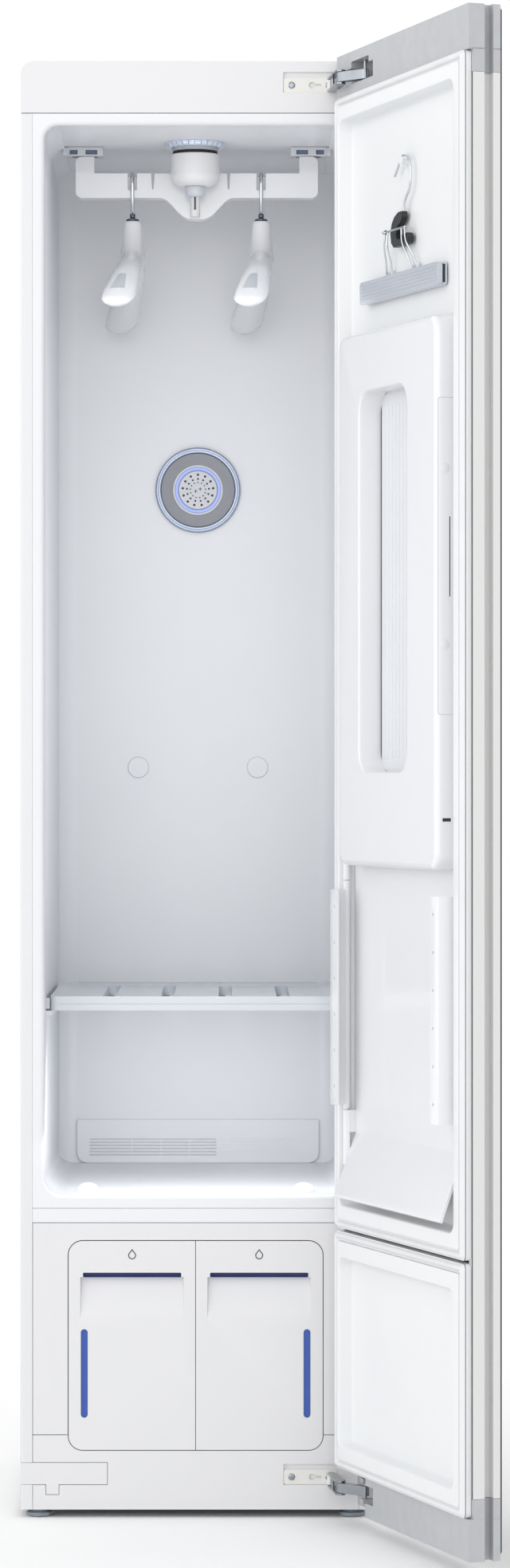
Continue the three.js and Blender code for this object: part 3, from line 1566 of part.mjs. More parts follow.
function doorLiner(liner, dish) {
  const near = linerInset;
  const far = cabinetWidth - linerInset;
  const bottomEdge = liner.bottom;
  const topEdge = liner.top;
  const face = cut(
    doorBlock(near, far, -trimSetback + fit, linerProud, bottomEdge, topEdge),
    doorBlock(
      near + moulding, far - moulding, -trimSetback - overrun, linerProud - moulding,
      bottomEdge + moulding, topEdge - moulding,
    ),
  );
  const step = doorBlock(
    trimWidth + fit, cabinetWidth - trimWidth - fit, -linerSkirt, -trimSetback + 2 * fit,
    bottomEdge, topEdge,
  );
  const stepHollow = doorBlock(
    trimWidth + fit + moulding, cabinetWidth - trimWidth - fit - moulding, -linerSkirt - overrun,
    linerProud - moulding, bottomEdge + moulding, topEdge - moulding,
  );
  const tray = loft([
    dishRing(dish, -dishFloor - moulding, dishSlope - moulding),
    dishRing(dish, linerProud, -moulding),
  ]);
  const dishSpace = loft([
    dishRing(dish, -dishFloor, dishSlope),
    dishRing(dish, linerProud + fit, 0),
  ]);
  return cut(join(cut(join(face, step), stepHollow), tray), dishSpace);
}

function gasketRing(liner, grow, from, to) {
  const shape = (inset) => roundedRect(
    doorX(cabinetWidth - linerInset - inset), doorX(linerInset + inset), liner.bottom + inset,
    liner.top - inset, gasketWidth / 2,
  );
  const outer = frontPrism(shape(-grow), doorY(from), doorY(to), coarseSteps);
  const inset = linerInset + gasketWidth + grow;
  const inner = doorBlock(
    inset, cabinetWidth - inset, from - overrun, to + overrun,
    liner.bottom + gasketWidth + grow, liner.top - gasketWidth - grow,
  );
  return cut(outer, inner);
}

function addLiner(door, place, liner, dish, extra) {
  const seat = linerProud - gasketSink;
  const groove = gasketRing(liner, fit, seat - fit, linerProud + overrun);
  const outside = doorBlock(
    linerInset - overrun, cabinetWidth - linerInset + overrun, seat - fit, linerProud + overrun,
    liner.bottom - overrun, liner.top + overrun,
  );
  const keep = doorBlock(
    linerInset + gasketWidth + fit, cabinetWidth - linerInset - gasketWidth - fit, -dishFloor * 2,
    linerProud + overrun, liner.bottom + gasketWidth + fit, liner.top - gasketWidth - fit,
  );
  const ledge = cut(
    doorBlock(
      linerInset, cabinetWidth - linerInset, seat - fit - moulding, seat - fit, liner.bottom, liner.top,
    ),
    doorBlock(
      linerInset + gasketWidth + moulding, cabinetWidth - linerInset - gasketWidth - moulding,
      -dishFloor, linerProud + overrun, liner.bottom + gasketWidth + moulding,
      liner.top - gasketWidth - moulding,
    ),
  );
  const riser = cut(
    doorBlock(
      linerInset + gasketWidth + fit, cabinetWidth - linerInset - gasketWidth - fit, seat - fit - moulding,
      linerProud, liner.bottom + gasketWidth + fit, liner.top - gasketWidth - fit,
    ),
    doorBlock(
      linerInset + gasketWidth + moulding, cabinetWidth - linerInset - gasketWidth - moulding,
      -dishFloor, linerProud + overrun, liner.bottom + gasketWidth + moulding,
      liner.top - gasketWidth - moulding,
    ),
  );
  const moulded = join(cut(doorLiner(liner, dish), cut(outside, keep)), ledge, riser);
  addPiece(door, `door_liner_${place}`, finish(0xeff1f3, 0.35), extra ? join(moulded, extra) : moulded);
  const gasket = gasketRing(liner, 0, seat, linerProud + gasketProud);
  addPiece(door, `gasket_${place}`, finish(0xe6e7e8, 0.6), gasket);
}

// The peg that carries the trouser hanger, moulded on the upper liner
const pegMargin = 205;
const pegDrop = 85;
const pegRadius = 4;
const pegReach = 12;
const pegTipRise = 6;
const pegBaseRadius = 9;

const pegAcross = cabinetWidth - pegMargin;
const pegZ = upperLiner.top - pegDrop;
const pegTop = pegZ + pegRadius;

function trouserPeg() {
  const x = doorX(pegAcross);
  const root = doorY(-dishFloor - moulding / 2);
  const tip = doorY(-dishFloor + pegReach);
  return join(
    cylinderAlongY(pegRadius, x, pegZ, root, tip, smallRound),
    cylinderAlongY(pegBaseRadius, x, pegZ, root, doorY(-dishFloor + moulding / 2), midRound),
    cylinderAlongY(pegRadius + pegTipRise / 2, x, pegZ + pegTipRise / 2, tip - moulding, tip, smallRound),
  );
}

function addDoorLiners(door) {
  addLiner(door, 'upper', upperLiner, upperDish, trouserPeg());
  addLiner(door, 'lower', lowerLiner, lowerDish, null);
}

// Trouser hanger: wire hook and holder, and a clamp of two jaws
const trouserWireRadius = 1.5;
const trouserHookRadius = 12;
const trouserHookSteps = 22;
const trouserLoopStart = 200;
const trouserLoopEnd = -30;
const trouserLoopSteps = 10;
const trouserNeckAsideShare = 0.5;
const trouserNeckDropShare = 1.8;
const holderDrop = 96;
const holderHeight = 41;
const holderHalfWidth = 14;
const holderHalfDepth = 5;
const holderTopShare = 0.3;
const holderFootShare = 0.8;
const clampNear = 100;
const clampMargin = 70;
const clampDrop = 158;
const clampHeight = 28;
const clampHalf = 6;
const clampWireReach = 44;
const clampWireSteps = 4;
const clampWireStartShare = 0.6;
const clampWireMiddleShare = 0.7;

const clampFar = cabinetWidth - clampMargin;
const clampTop = pegTop - clampDrop;
const clampInward = -dishFloor + pegReach / 2 + trouserWireRadius;

function addTrouserHanger(door) {
  const y = doorY(clampInward);
  const x = doorX(pegAcross);
  const wireBottom = pegTop + fit;
  const ringZ = wireBottom + trouserWireRadius - trouserHookRadius;
  const points = [];
  for (let step = 0; step <= trouserLoopSteps; step += 1) {
    const angle = trouserLoopStart + (trouserLoopEnd - trouserLoopStart) * (step / trouserLoopSteps);
    const turn = THREE.MathUtils.degToRad(angle);
    points.push(new THREE.Vector3(
      x + trouserHookRadius * Math.cos(turn), y, ringZ + trouserHookRadius * Math.sin(turn),
    ));
  }
  const holderTop = pegTop - holderDrop + holderHeight / 2;
  const holderBottom = holderTop - holderHeight;
  points.push(new THREE.Vector3(
    x + trouserHookRadius * trouserNeckAsideShare, y, ringZ - trouserHookRadius * trouserNeckDropShare,
  ));
  points.push(new THREE.Vector3(x, y, holderTop - overrun));
  const hook = wire(points, trouserWireRadius, trouserHookSteps);
  const hookBore = wire(points, trouserWireRadius + fit, trouserHookSteps);
  const holderNeck = holderHalfWidth * holderTopShare;
  const holderFoot = holderHalfWidth * holderFootShare;
  const holder = frontPrism(outline([
    [x - holderNeck, holderTop], [x + holderNeck, holderTop],
    [x + holderHalfWidth, holderBottom + holderHeight / 3], [x + holderFoot, holderBottom],
    [x - holderFoot, holderBottom], [x - holderHalfWidth, holderBottom + holderHeight / 3],
  ]), y - holderHalfDepth, y + holderHalfDepth);
  const barBack = block(
    doorX(clampFar), doorX(clampNear), y - clampHalf, y - fit / 2, clampTop - clampHeight, clampTop,
  );
  const legY = y - holderHalfDepth / 2;
  const legMiddleZ = (holderBottom + clampTop) / 2;
  const legs = (radius) => [-1, 1].map((side) => wire([
    new THREE.Vector3(x + side * holderHalfWidth * clampWireStartShare, legY, holderBottom + overrun),
    new THREE.Vector3(x + side * clampWireReach * clampWireMiddleShare, legY, legMiddleZ),
    new THREE.Vector3(x + side * clampWireReach, legY, clampTop - overrun),
  ], radius, clampWireSteps));
  addPiece(door, 'trouser_hook', finish(0xc9ccd0, 0.15, 1), hook);
  addPiece(door, 'trouser_holder', finish(0x2a2b2e, 0.5), cut(
    holder, hookBore, ...legs(trouserWireRadius + fit),
  ));
  addPiece(door, 'trouser_clamp_back', finish(0xa9adb2, 0.4, 0.3), join(
    barBack, ...legs(trouserWireRadius),
  ));
  addPiece(door, 'trouser_clamp_front', finish(0xa9adb2, 0.4, 0.3), block(
    doorX(clampFar), doorX(clampNear), y + fit / 2, y + clampHalf, clampTop - clampHeight, clampTop,
  ));
}

// Trouser press in the door: backing with a ramp, hinged cover with a window, and two side wings

const pressNear = 56;
const pressMargin = 56;
const pressFace = 19.5;
const pressBottomRise = 458;
const pressTopDrop = 305.7;
const pressWall = 3;
const pressCorner = 12;
const pressWindowNear = 130;
const pressWindowMargin = 152;
const pressWindowBottomRise = 116;
const pressWindowTopDrop = 74;
const pressWindowCorner = 28;
const pinAcross = 32;
const pinInward = -1.5;
const barrelRadius = 5;
const pressPinRadius = 2.5;
const barrelTop = 438;
const barrelLow = 150;
const barrelFoot = 80;
const plateNear = 40;
const plateMargin = 45;
const plateThickness = 2.5;
const rampTopRise = 122;
const rampLipRise = 41;
const rampLipInward = 18;

const pressFar = cabinetWidth - pressMargin;
const pressWindowFar = cabinetWidth - pressWindowMargin;
const plateFar = cabinetWidth - plateMargin;
const pressBottom = upperLiner.bottom + pressBottomRise;
const pressTop = upperLiner.top - pressTopDrop;
const plateTop = pressTop - pressWall * 3;
const plateBottom = upperLiner.bottom + rampTopRise;
const barrelX = doorX(pinAcross);
const barrelY = doorY(pinInward);
const coverBarrelBottom = upperLiner.bottom + barrelTop;
const wingBarrelBottom = upperLiner.bottom + barrelLow;
const fixedBarrelBottom = upperLiner.bottom + barrelFoot;

function barrel(bottom, top) {
  return cylinder(barrelRadius, barrelX, barrelY, bottom, top, midRound);
}

function pinBore(bottom, top) {
  return cylinder(pressPinRadius + pinGap, barrelX, barrelY, bottom - overrun, top + overrun, thinRound);
}

function addPressPlate(door) {
  const floorFace = -dishFloor + fit;
  const plate = doorBlock(plateNear, plateFar, floorFace, floorFace + plateThickness, plateBottom, plateTop);
  const rampFoot = upperLiner.bottom + rampLipRise;
  const ramp = sidePrism(outline([
    [doorY(floorFace), plateBottom + fit], [doorY(floorFace + plateThickness), plateBottom + fit],
    [doorY(rampLipInward), rampFoot + plateThickness], [doorY(rampLipInward), rampFoot],
    [doorY(rampLipInward - plateThickness), rampFoot], [doorY(floorFace), plateBottom - plateThickness * 2],
  ]), doorX(plateFar), doorX(plateNear));
  const lug = doorBlock(
    pinAcross, plateNear + fit, pinInward - plateThickness / 2, pinInward + plateThickness / 2,
    fixedBarrelBottom, wingBarrelBottom - fit,
  );
  const lugFoot = doorBlock(
    plateNear, plateNear + plateThickness, floorFace, pinInward + plateThickness / 2,
    plateBottom, wingBarrelBottom - fit,
  );
  const fixedBarrel = barrel(fixedBarrelBottom, wingBarrelBottom - fit);
  addPiece(door, 'press_plate', finish(0xedeff2, 0.35), cut(
    join(plate, ramp, lug, lugFoot, fixedBarrel, rightWing(floorFace)),
    pinBore(fixedBarrelBottom, wingBarrelBottom),
  ));
}

function addPressPin(door) {
  const stub = fit * 2;
  addPiece(door, 'press_pin', finish(0xb9bcc0, 0.25, 0.9), cylinder(
    pressPinRadius, barrelX, barrelY, fixedBarrelBottom + stub, pressTop - stub, thinRound,
  ));
}

function addPressCover(door) {
  const backFace = -dishFloor + fit * 2 + plateThickness;
  const near = doorX(pressNear);
  const far = doorX(pressFar);
  const outer = frontPrism(
    roundedRect(far, near, pressBottom, pressTop, pressCorner), doorY(backFace), doorY(pressFace),
  );
  const inner = frontPrism(
    roundedRect(
      far + pressWall, near - pressWall, pressBottom + pressWall, pressTop - pressWall,
      pressCorner - pressWall,
    ),
    doorY(backFace) - overrun, doorY(pressFace - pressWall),
  );
  const windowFar = doorX(pressWindowFar);
  const windowNear = doorX(pressWindowNear);
  const windowBottom = pressBottom + pressWindowBottomRise;
  const windowTop = pressTop - pressWindowTopDrop;
  const windowWall = frontPrism(
    roundedRect(
      windowFar - pressWall, windowNear + pressWall, windowBottom - pressWall, windowTop + pressWall,
      pressWindowCorner + pressWall,
    ),
    doorY(backFace), doorY(pressFace),
  );
  const window = frontPrism(
    roundedRect(windowFar, windowNear, windowBottom, windowTop, pressWindowCorner),
    doorY(backFace) - overrun, doorY(pressFace) + overrun,
  );
  const web = doorBlock(
    pinAcross, pressNear + pressWall / 2, pinInward - pressWall / 2, pinInward + pressWall / 2,
    pressBottom + pressCorner, pressTop - pressCorner,
  );
  const cover = cut(
    join(cut(outer, inner), windowWall, web, barrel(coverBarrelBottom + fit, pressTop)),
    window, pinBore(coverBarrelBottom, pressTop),
  );
  addPiece(door, 'press_cover', finish(0xebedef, 0.3), cover);
}

// Wings that hold the trouser legs: the left one turns on the pin, the right one is part of the plate
const wingFace = 22;
const wingThickness = 2.5;
const wingNear = 34;
const wingFlangeFar = 60;
const wingBottomRise = 157;
const wingTopRise = 427;
const wingHoles = 6;
const wingHolePitch = 45;
const wingHoleInset = 21.5;
const wingHoleRadius = 2;
const wingHoleSides = 6;
const rightWingWidth = 24;
const rightWingFar = plateFar;
const rightWingNear = rightWingFar - rightWingWidth;

function wingHoleTools(x) {
  const tools = [];
  const face = doorY(wingFace);
  for (let hole = 0; hole < wingHoles; hole += 1) {
    const z = upperLiner.bottom + wingTopRise - wingHoleInset - hole * wingHolePitch;
    tools.push(cylinderAlongY(
      wingHoleRadius, x, z, face - wingThickness - overrun, face + overrun, wingHoleSides,
    ));
  }
  return tools;
}

function rightWing(floorFace) {
  const bottom = upperLiner.bottom + wingBottomRise;
  const top = upperLiner.bottom + wingTopRise;
  const outer = doorY(wingFace);
  const inner = doorY(wingFace - wingThickness);
  const root = doorY(floorFace + fit);
  const rootX = doorX(rightWingFar - wingThickness);
  const web = planPrism(outline([
    [doorX(rightWingNear), outer], [doorX(rightWingNear), inner], [rootX, inner],
    [rootX, root], [doorX(rightWingFar), root], [doorX(rightWingFar), outer],
  ]), bottom, top);
  return cut(web, ...wingHoleTools(doorX((rightWingNear + rightWingFar) / 2 - wingThickness)));
}

function addLeftWing(door) {
  const bottom = upperLiner.bottom + wingBottomRise;
  const top = upperLiner.bottom + wingTopRise;
  const outer = doorY(wingFace);
  const inner = doorY(wingFace - wingThickness);
  const web = planPrism(outline([
    [doorX(pinAcross), barrelY], [doorX(pinAcross + wingThickness), barrelY],
    [doorX(wingNear + wingThickness * 2), inner],
    [doorX(wingFlangeFar), inner], [doorX(wingFlangeFar), outer], [doorX(wingNear), outer],
    [doorX(wingNear - wingThickness / 4), inner],
  ]), bottom, top);
  const flangeX = doorX((wingNear + wingFlangeFar) / 2 + wingThickness);
  const leftWing = cut(
    join(web, barrel(wingBarrelBottom + fit, coverBarrelBottom - fit)),
    pinBore(wingBarrelBottom, coverBarrelBottom), ...wingHoleTools(flangeX),
  );
  addPiece(door, 'wing_left', finish(0xf1f2f4, 0.3), leftWing);
}

// Assembly

const whole = new THREE.Group();
const body = new THREE.Group();
const doorPivot = new THREE.Group();
const door = new THREE.Group();
whole.add(body);
body.add(doorPivot);
doorPivot.add(door);
doorPivot.position.set(axisX, axisY, 0);
doorPivot.rotation.z = openTurn;
door.position.set(-axisX, -axisY, 0);

addSidePanels(body);
addBackPanel(body);
addTopCover(body);
addBasePlate(body);
addFeet(body);
addChamberLiner(body);
addLowerFrontPanel(body);
addKickPanel(body);
addHingeCover(body);
addTankBay(body);
addTanks(body);
addNozzle(body);
addVentCover(body);
addShelf(body);
addDrive(body);
addRails(body);
addMovingHanger(body);
addHangers(body);
addCompressor(body);
addSteamGenerator(body);
addHeatExchanger(body);
addBlower(body);
addHinges(body);
addDoorFront(door);
addDoorCaps(door);
addDoorTrims(door);
addDoorLiners(door);
addTrouserHanger(door);
addPressPlate(door);
addPressPin(door);
addPressCover(door);
addLeftWing(door);

// The reference point is the middle of the footprint on the floor, with the door open
whole.updateMatrixWorld(true);
const footprint = new THREE.Box3().setFromObject(whole, true);
const centre = footprint.getCenter(new THREE.Vector3());
body.position.set(-centre.x, -centre.y, -footprint.min.z);

export default whole;
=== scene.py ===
import json
import math
from types import SimpleNamespace as sizes

import bmesh
import bpy
from mathutils import Matrix, Vector


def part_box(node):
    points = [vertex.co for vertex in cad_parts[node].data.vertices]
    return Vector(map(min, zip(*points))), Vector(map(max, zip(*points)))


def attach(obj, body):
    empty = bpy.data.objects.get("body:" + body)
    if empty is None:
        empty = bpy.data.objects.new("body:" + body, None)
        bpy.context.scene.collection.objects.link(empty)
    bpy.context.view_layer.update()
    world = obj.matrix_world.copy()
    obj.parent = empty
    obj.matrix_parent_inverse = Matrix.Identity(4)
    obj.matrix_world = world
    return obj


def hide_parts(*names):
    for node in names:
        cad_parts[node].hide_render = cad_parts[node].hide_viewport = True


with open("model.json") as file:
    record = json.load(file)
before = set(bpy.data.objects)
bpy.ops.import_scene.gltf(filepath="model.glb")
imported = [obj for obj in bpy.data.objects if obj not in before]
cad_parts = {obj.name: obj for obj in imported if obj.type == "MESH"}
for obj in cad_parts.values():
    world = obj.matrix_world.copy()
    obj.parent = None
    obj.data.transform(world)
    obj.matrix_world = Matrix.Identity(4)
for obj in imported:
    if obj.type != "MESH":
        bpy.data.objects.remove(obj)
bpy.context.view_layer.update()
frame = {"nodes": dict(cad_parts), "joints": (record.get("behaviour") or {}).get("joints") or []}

# Camera. The photograph is a level view from a little left of the door, 5.85 m in front.
# Millimetres, from the middle of the cabinet's front face at floor level.
CABINET_WIDTH = 445
MM = 0.001
PHOTO_WIDTH_PX = 640
PHOTO_HEIGHT_PX = 1966
FOCAL_PX = 5776
AXIS_PX = (284, 965)
EYE = Vector((39, -5852, 950))
SENSOR = 36.0

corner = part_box("side_panel_left")[0]
IN_CABINET = (Matrix.Translation((corner.x + CABINET_WIDTH * MM / 2, corner.y, 0)) @ Matrix.Scale(MM, 4))
camera_data = bpy.data.cameras.new("photo_camera")
camera_data.sensor_width = SENSOR
camera_data.lens = FOCAL_PX / PHOTO_HEIGHT_PX * SENSOR
camera_data.shift_x = (PHOTO_WIDTH_PX / 2 - AXIS_PX[0]) / PHOTO_HEIGHT_PX
camera_data.shift_y = (AXIS_PX[1] - PHOTO_HEIGHT_PX / 2) / PHOTO_HEIGHT_PX
camera_data.clip_end = 60
camera = bpy.data.objects.new("photo_camera", camera_data)
camera.location = IN_CABINET @ EYE
camera.rotation_euler = (math.pi / 2, 0, 0)
bpy.context.scene.collection.objects.link(camera)
bpy.context.scene.camera = camera
bpy.context.scene.view_settings.view_transform = "Standard"

# Studio. A white surround, a broad soft light from the front that reaches into the chamber and
# one from the left that lights the open door; a pale seamless floor.
SURROUND_STRENGTH = 1.0


def linear(hex_colour):
    """An sRGB hex colour as linear red, green, blue and full alpha."""
    parts = [int(hex_colour[i:i + 2], 16) / 255 for i in (1, 3, 5)]
    return tuple(p / 12.92 if p <= 0.04045 else ((p + 0.055) / 1.055) ** 2.4 for p in parts) + (1.0,)


def add_node(tree, kind, settings=None, inputs=None):
    """Adds a node; a value for a socket is either a number, a colour or another node's output."""
    node = tree.nodes.new(kind)
    for name, value in (settings or {}).items():
        setattr(node, name, value)
    for socket, value in (inputs or {}).items():
        if isinstance(value, bpy.types.NodeSocket):
            tree.links.new(value, node.inputs[socket])
        else:
            node.inputs[socket].default_value = value
    return node


def surface(name, colour, second, patch, roughness, grain, relief, shader=None, stretch=(1, 1, 1)):
    """A procedural finish. Colour drifts between two hex values over patches of patch mm, the
    roughness runs over a small range with it, and a grain of grain mm stands relief mm high."""
    material = bpy.data.materials.new(name)
    material.use_nodes = True
    tree = material.node_tree
    tree.nodes.clear()
    place = add_node(tree, "ShaderNodeTexCoord")
    mapped = add_node(tree, "ShaderNodeMapping", None, {"Vector": place.outputs["Object"], "Scale": stretch})
    drift = add_node(tree, "ShaderNodeTexNoise", None, {
        "Vector": mapped.outputs["Vector"], "Scale": 1 / (patch * MM), "Detail": 3.0,
    })
    tint = add_node(tree, "ShaderNodeMix", {"data_type": "RGBA"}, {
        0: drift.outputs["Fac"], 6: linear(colour), 7: linear(second),
    })
    sheen = add_node(tree, "ShaderNodeMapRange", None, {
        "Value": drift.outputs["Fac"], "To Min": roughness[0], "To Max": roughness[1],
    })
    fine = add_node(tree, "ShaderNodeTexNoise", None, {
        "Vector": mapped.outputs["Vector"], "Scale": 1 / (grain * MM), "Detail": 2.0,
    })
    bump = add_node(tree, "ShaderNodeBump", None, {
        "Height": fine.outputs["Fac"], "Strength": 1.0, "Distance": relief * MM,
    })
    coat = add_node(tree, "ShaderNodeBsdfPrincipled", None, {
        "Base Color": tint.outputs[2], "Roughness": sheen.outputs["Result"],
        "Normal": bump.outputs["Normal"], **(shader or {}),
    })
    add_node(tree, "ShaderNodeOutputMaterial", None, {"Surface": coat.outputs["BSDF"]})
    return material


world = bpy.data.worlds.new("studio_surround")
world.use_nodes = True
world.node_tree.nodes["Background"].inputs["Color"].default_value = (1.0, 1.0, 1.0, 1.0)
world.node_tree.nodes["Background"].inputs["Strength"].default_value = SURROUND_STRENGTH
bpy.context.scene.world = world

# Two broad distant lights: name, strength, apparent width in degrees, the way the light runs.
SOFT_LIGHTS = (("front_light", 0.30, 34, (0.06, 1.0, -0.12)), ("side_light", 0.66, 50, (1.0, 0.62, -0.25)))
for light_name, strength, spread, heading in SOFT_LIGHTS:
    light_data = bpy.data.lights.new(light_name, "SUN")
    light_data.energy = strength
    light_data.angle = math.radians(spread)
    light = bpy.data.objects.new(light_name, light_data)
    light.rotation_euler = Vector(heading).to_track_quat("-Z", "Y").to_euler()
    bpy.context.scene.collection.objects.link(light)
# Two soft panels just inside the opening fill the chamber: middle height, height, watts and how
# far each leans down in degrees.
CHAMBER_PANELS = ((1240, 960, 0.6, 0), (530, 150, 0.5, 25))
for number, (panel_z, panel_height, watts, lean) in enumerate(CHAMBER_PANELS):
    panel_data = bpy.data.lights.new(f"chamber_panel_{number}", "AREA")
    panel_data.shape = "RECTANGLE"
    panel_data.size = 360 * MM
    panel_data.size_y = panel_height * MM
    panel_data.energy = watts
    panel = bpy.data.objects.new(f"chamber_panel_{number}", panel_data)
    panel.location = IN_CABINET @ Vector((0, 20, panel_z))
    panel.rotation_euler = (math.radians(90 - lean), 0, 0)
    panel.visible_camera = False
    bpy.context.scene.collection.objects.link(panel)

# Matt white studio vinyl, rolled out flat: even, with a very faint mottle.
STUDIO_FLOOR = surface("matt_studio_vinyl", "#FEFEFE", "#FAFAFA", 900, (0.75, 0.85), 3.0, 0.02)
FLOOR_HALF = 9000
floor_mesh = bpy.data.meshes.new("studio_floor")
floor_mesh.from_pydata(
    [(-FLOOR_HALF * MM, -FLOOR_HALF * MM, 0), (FLOOR_HALF * MM, -FLOOR_HALF * MM, 0),
     (FLOOR_HALF * MM, FLOOR_HALF * MM, 0), (-FLOOR_HALF * MM, FLOOR_HALF * MM, 0)],
    [], [(0, 1, 2, 3)],
)
floor_mesh.materials.append(STUDIO_FLOOR)
floor = bpy.data.objects.new("studio_floor", floor_mesh)
bpy.context.scene.collection.objects.link(floor)

# Side panels. Painted sheet steel 1.2 mm thick, folded round the front and back edges, one on
# each side, fixed to the base plate and the top frame.
CABINET_HEIGHT = 1850
CABINET_DEPTH = 535
HALF = CABINET_WIDTH / 2
FOOT_HEIGHT = 10
BODY_TOP = 1784.3
SHEET = 1.2
FIT = 0.3
SEAM = 0.8
FLANGE = 15
PANEL_CORNER = 3
OVER = 5
ROUND_STEPS = 8
WELD = 0.001
SMOOTH_LIMIT = math.radians(40)
STRIP_ANGLE = math.radians(2)
STRIP_RATIO = 25


def rounded(left, right, low, high, radii, steps=ROUND_STEPS):
    """A rectangle's outline with round corners: lower right, upper right, upper left, lower left."""
    if not isinstance(radii, (tuple, list)):
        radii = (radii,) * 4
    points = []
    corners = ((right, low, -90), (right, high, 0), (left, high, 90), (left, low, 180))
    for (x, y, start), radius in zip(corners, radii):
        if radius <= 0:
            points.append((x, y))
            continue
        cx = x - radius if x == right else x + radius
        cy = y - radius if y == high else y + radius
        points += arc(cx, cy, radius, start, 90, steps)
    return points


def arc(x, y, radius, start, sweep, steps):
    """Points from start degrees on through sweep; radius is one number or one for each way."""
    across, up = radius if isinstance(radius, tuple) else (radius, radius)
    turns = [math.radians(start + sweep * step / steps) for step in range(steps + 1)]
    return [(x + across * math.cos(turn), y + up * math.sin(turn)) for turn in turns]


def about(middle, reach):
    return middle - reach, middle + reach


def at_depth(outline, depth):
    """A front view's outline set at its depth in the cabinet."""
    return [(a, depth, b) for a, b in outline]


def to_mesh(points, faces):
    """A closed mesh with its doubles merged and its faces turned outwards."""
    mesh = bpy.data.meshes.new("form")
    mesh.from_pydata([tuple(p) for p in points], [], faces)
    shape = bmesh.new()
    shape.from_mesh(mesh)
    bmesh.ops.remove_doubles(shape, verts=shape.verts, dist=WELD)
    bmesh.ops.recalc_face_normals(shape, faces=shape.faces)
    shape.to_mesh(mesh)
    shape.free()
    return mesh


def loft(rings):
    """Rings of equal count, one after another, closed by flat ends."""
    count = len(rings[0])
    faces = []
    for ring in range(len(rings) - 1):
        for side in range(count):
            here = ring * count + side
            beside = ring * count + (side + 1) % count
            faces.append((here, beside, beside + count, here + count))
    last = (len(rings) - 1) * count
    faces.append(tuple(range(count - 1, -1, -1)))
    faces.append(tuple(range(last, last + count)))
    return to_mesh([p for ring in rings for p in ring], faces)


def prism(outline, axis, start, end):
    """An outline run along an axis. It is drawn in X, Z for y, in X, Y for z and in Y, Z for x."""
    place = {
        "x": lambda a, b, along: (along, a, b),
        "y": lambda a, b, along: (a, along, b),
        "z": lambda a, b, along: (a, b, along),
    }[axis]
    return loft([[place(a, b, along) for a, b in outline] for along in (start, end)])


def block(left, right, front, back, bottom, top):
    return prism([(left, bottom), (right, bottom), (right, top), (left, top)], "y", front, back)


def lathe(profile, centre, axis="z", sides=48):
    """A profile of (radius, place along the axis) turned about an upright or a front-to-back axis."""
    points = []
    for radius, along in profile:
        for side in range(sides):
            turn = 2 * math.pi * side / sides
            a = centre[0] + radius * math.cos(turn)
            b = centre[1] + radius * math.sin(turn)
            points.append((a, b, along) if axis == "z" else (a, along, b) if axis == "y" else (along, a, b))
    faces = []
    for ring in range(len(profile) - 1):
        for side in range(sides):
            here = ring * sides + side
            beside = ring * sides + (side + 1) % sides
            faces.append((here, beside, beside + sides, here + sides))
    closed_loop = profile[0] == profile[-1]
    if not closed_loop:
        faces.append(tuple(range(sides)))
        faces.append(tuple(range((len(profile) - 1) * sides, len(profile) * sides)))
    return to_mesh(points, faces)


def combine(kind, base, *tools):
    """Joins, cuts or crosses closed meshes with Boolean modifiers and gives the plain result."""
    holder = bpy.data.objects.new("base", base)
    bpy.context.scene.collection.objects.link(holder)
    helpers = []
    for tool in tools:
        helper = bpy.data.objects.new("tool", tool)
        bpy.context.scene.collection.objects.link(helper)
        step = holder.modifiers.new("step", "BOOLEAN")
        step.operation = kind
        step.solver = "MANIFOLD"
        step.object = helper
        helpers.append(helper)
    evaluated = holder.evaluated_get(bpy.context.evaluated_depsgraph_get())
    result = bpy.data.meshes.new_from_object(evaluated)
    for helper in [holder, *helpers]:
        bpy.data.objects.remove(helper)
    return result


def join(base, *extras):
    return combine("UNION", base, *extras)


def cut(base, *tools):
    return combine("DIFFERENCE", base, *tools)


def cross(base, *tools):
    return combine("INTERSECT", base, *tools)


def mirrored(mesh):
    """The same form on the other side of the cabinet, turned outwards again."""
    twin = mesh.copy()
    twin.transform(Matrix.Scale(-1, 4, (1, 0, 0)))
    twin.flip_normals()
    return twin


def as_it_is(mesh):
    return mesh.copy()


def fit_piece(name, mesh, body, material, stands_for=None, place=None, edge=0.0, bevel_steps=2):
    """A finished piece on its body: edges eased by edge mm, smooth where it turns gently. It takes
    the place of the part's own node of its name, or of the one that it stands for."""
    shape = bmesh.new()
    shape.from_mesh(mesh)
    bmesh.ops.remove_doubles(shape, verts=shape.verts, dist=WELD)
    bmesh.ops.dissolve_degenerate(shape, edges=shape.edges, dist=WELD)
    for face in shape.faces:
        face.smooth = True
    for side in shape.edges:
        areas = [face.calc_area() for face in side.link_faces]
        angle = side.calc_face_angle(0)
        strip_by_flat = len(areas) == 2 and angle > STRIP_ANGLE and max(areas) > STRIP_RATIO * min(areas)
        side.smooth = angle < SMOOTH_LIMIT and not strip_by_flat
    shape.to_mesh(mesh)
    shape.free()
    mesh.transform(place or IN_CABINET)
    mesh.name = name
    mesh.materials.clear()
    mesh.materials.append(material)
    piece = bpy.data.objects.new(name, mesh)
    bpy.context.scene.collection.objects.link(piece)
    if edge:
        ease = piece.modifiers.new("eased_edges", "BEVEL")
        ease.width = edge * MM
        ease.segments = bevel_steps
        ease.limit_method = "ANGLE"
        ease.angle_limit = SMOOTH_LIMIT
        ease.harden_normals = True
    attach(piece, body)
    node = stands_for or name
    if node in frame["nodes"]:
        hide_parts(node)
    return piece


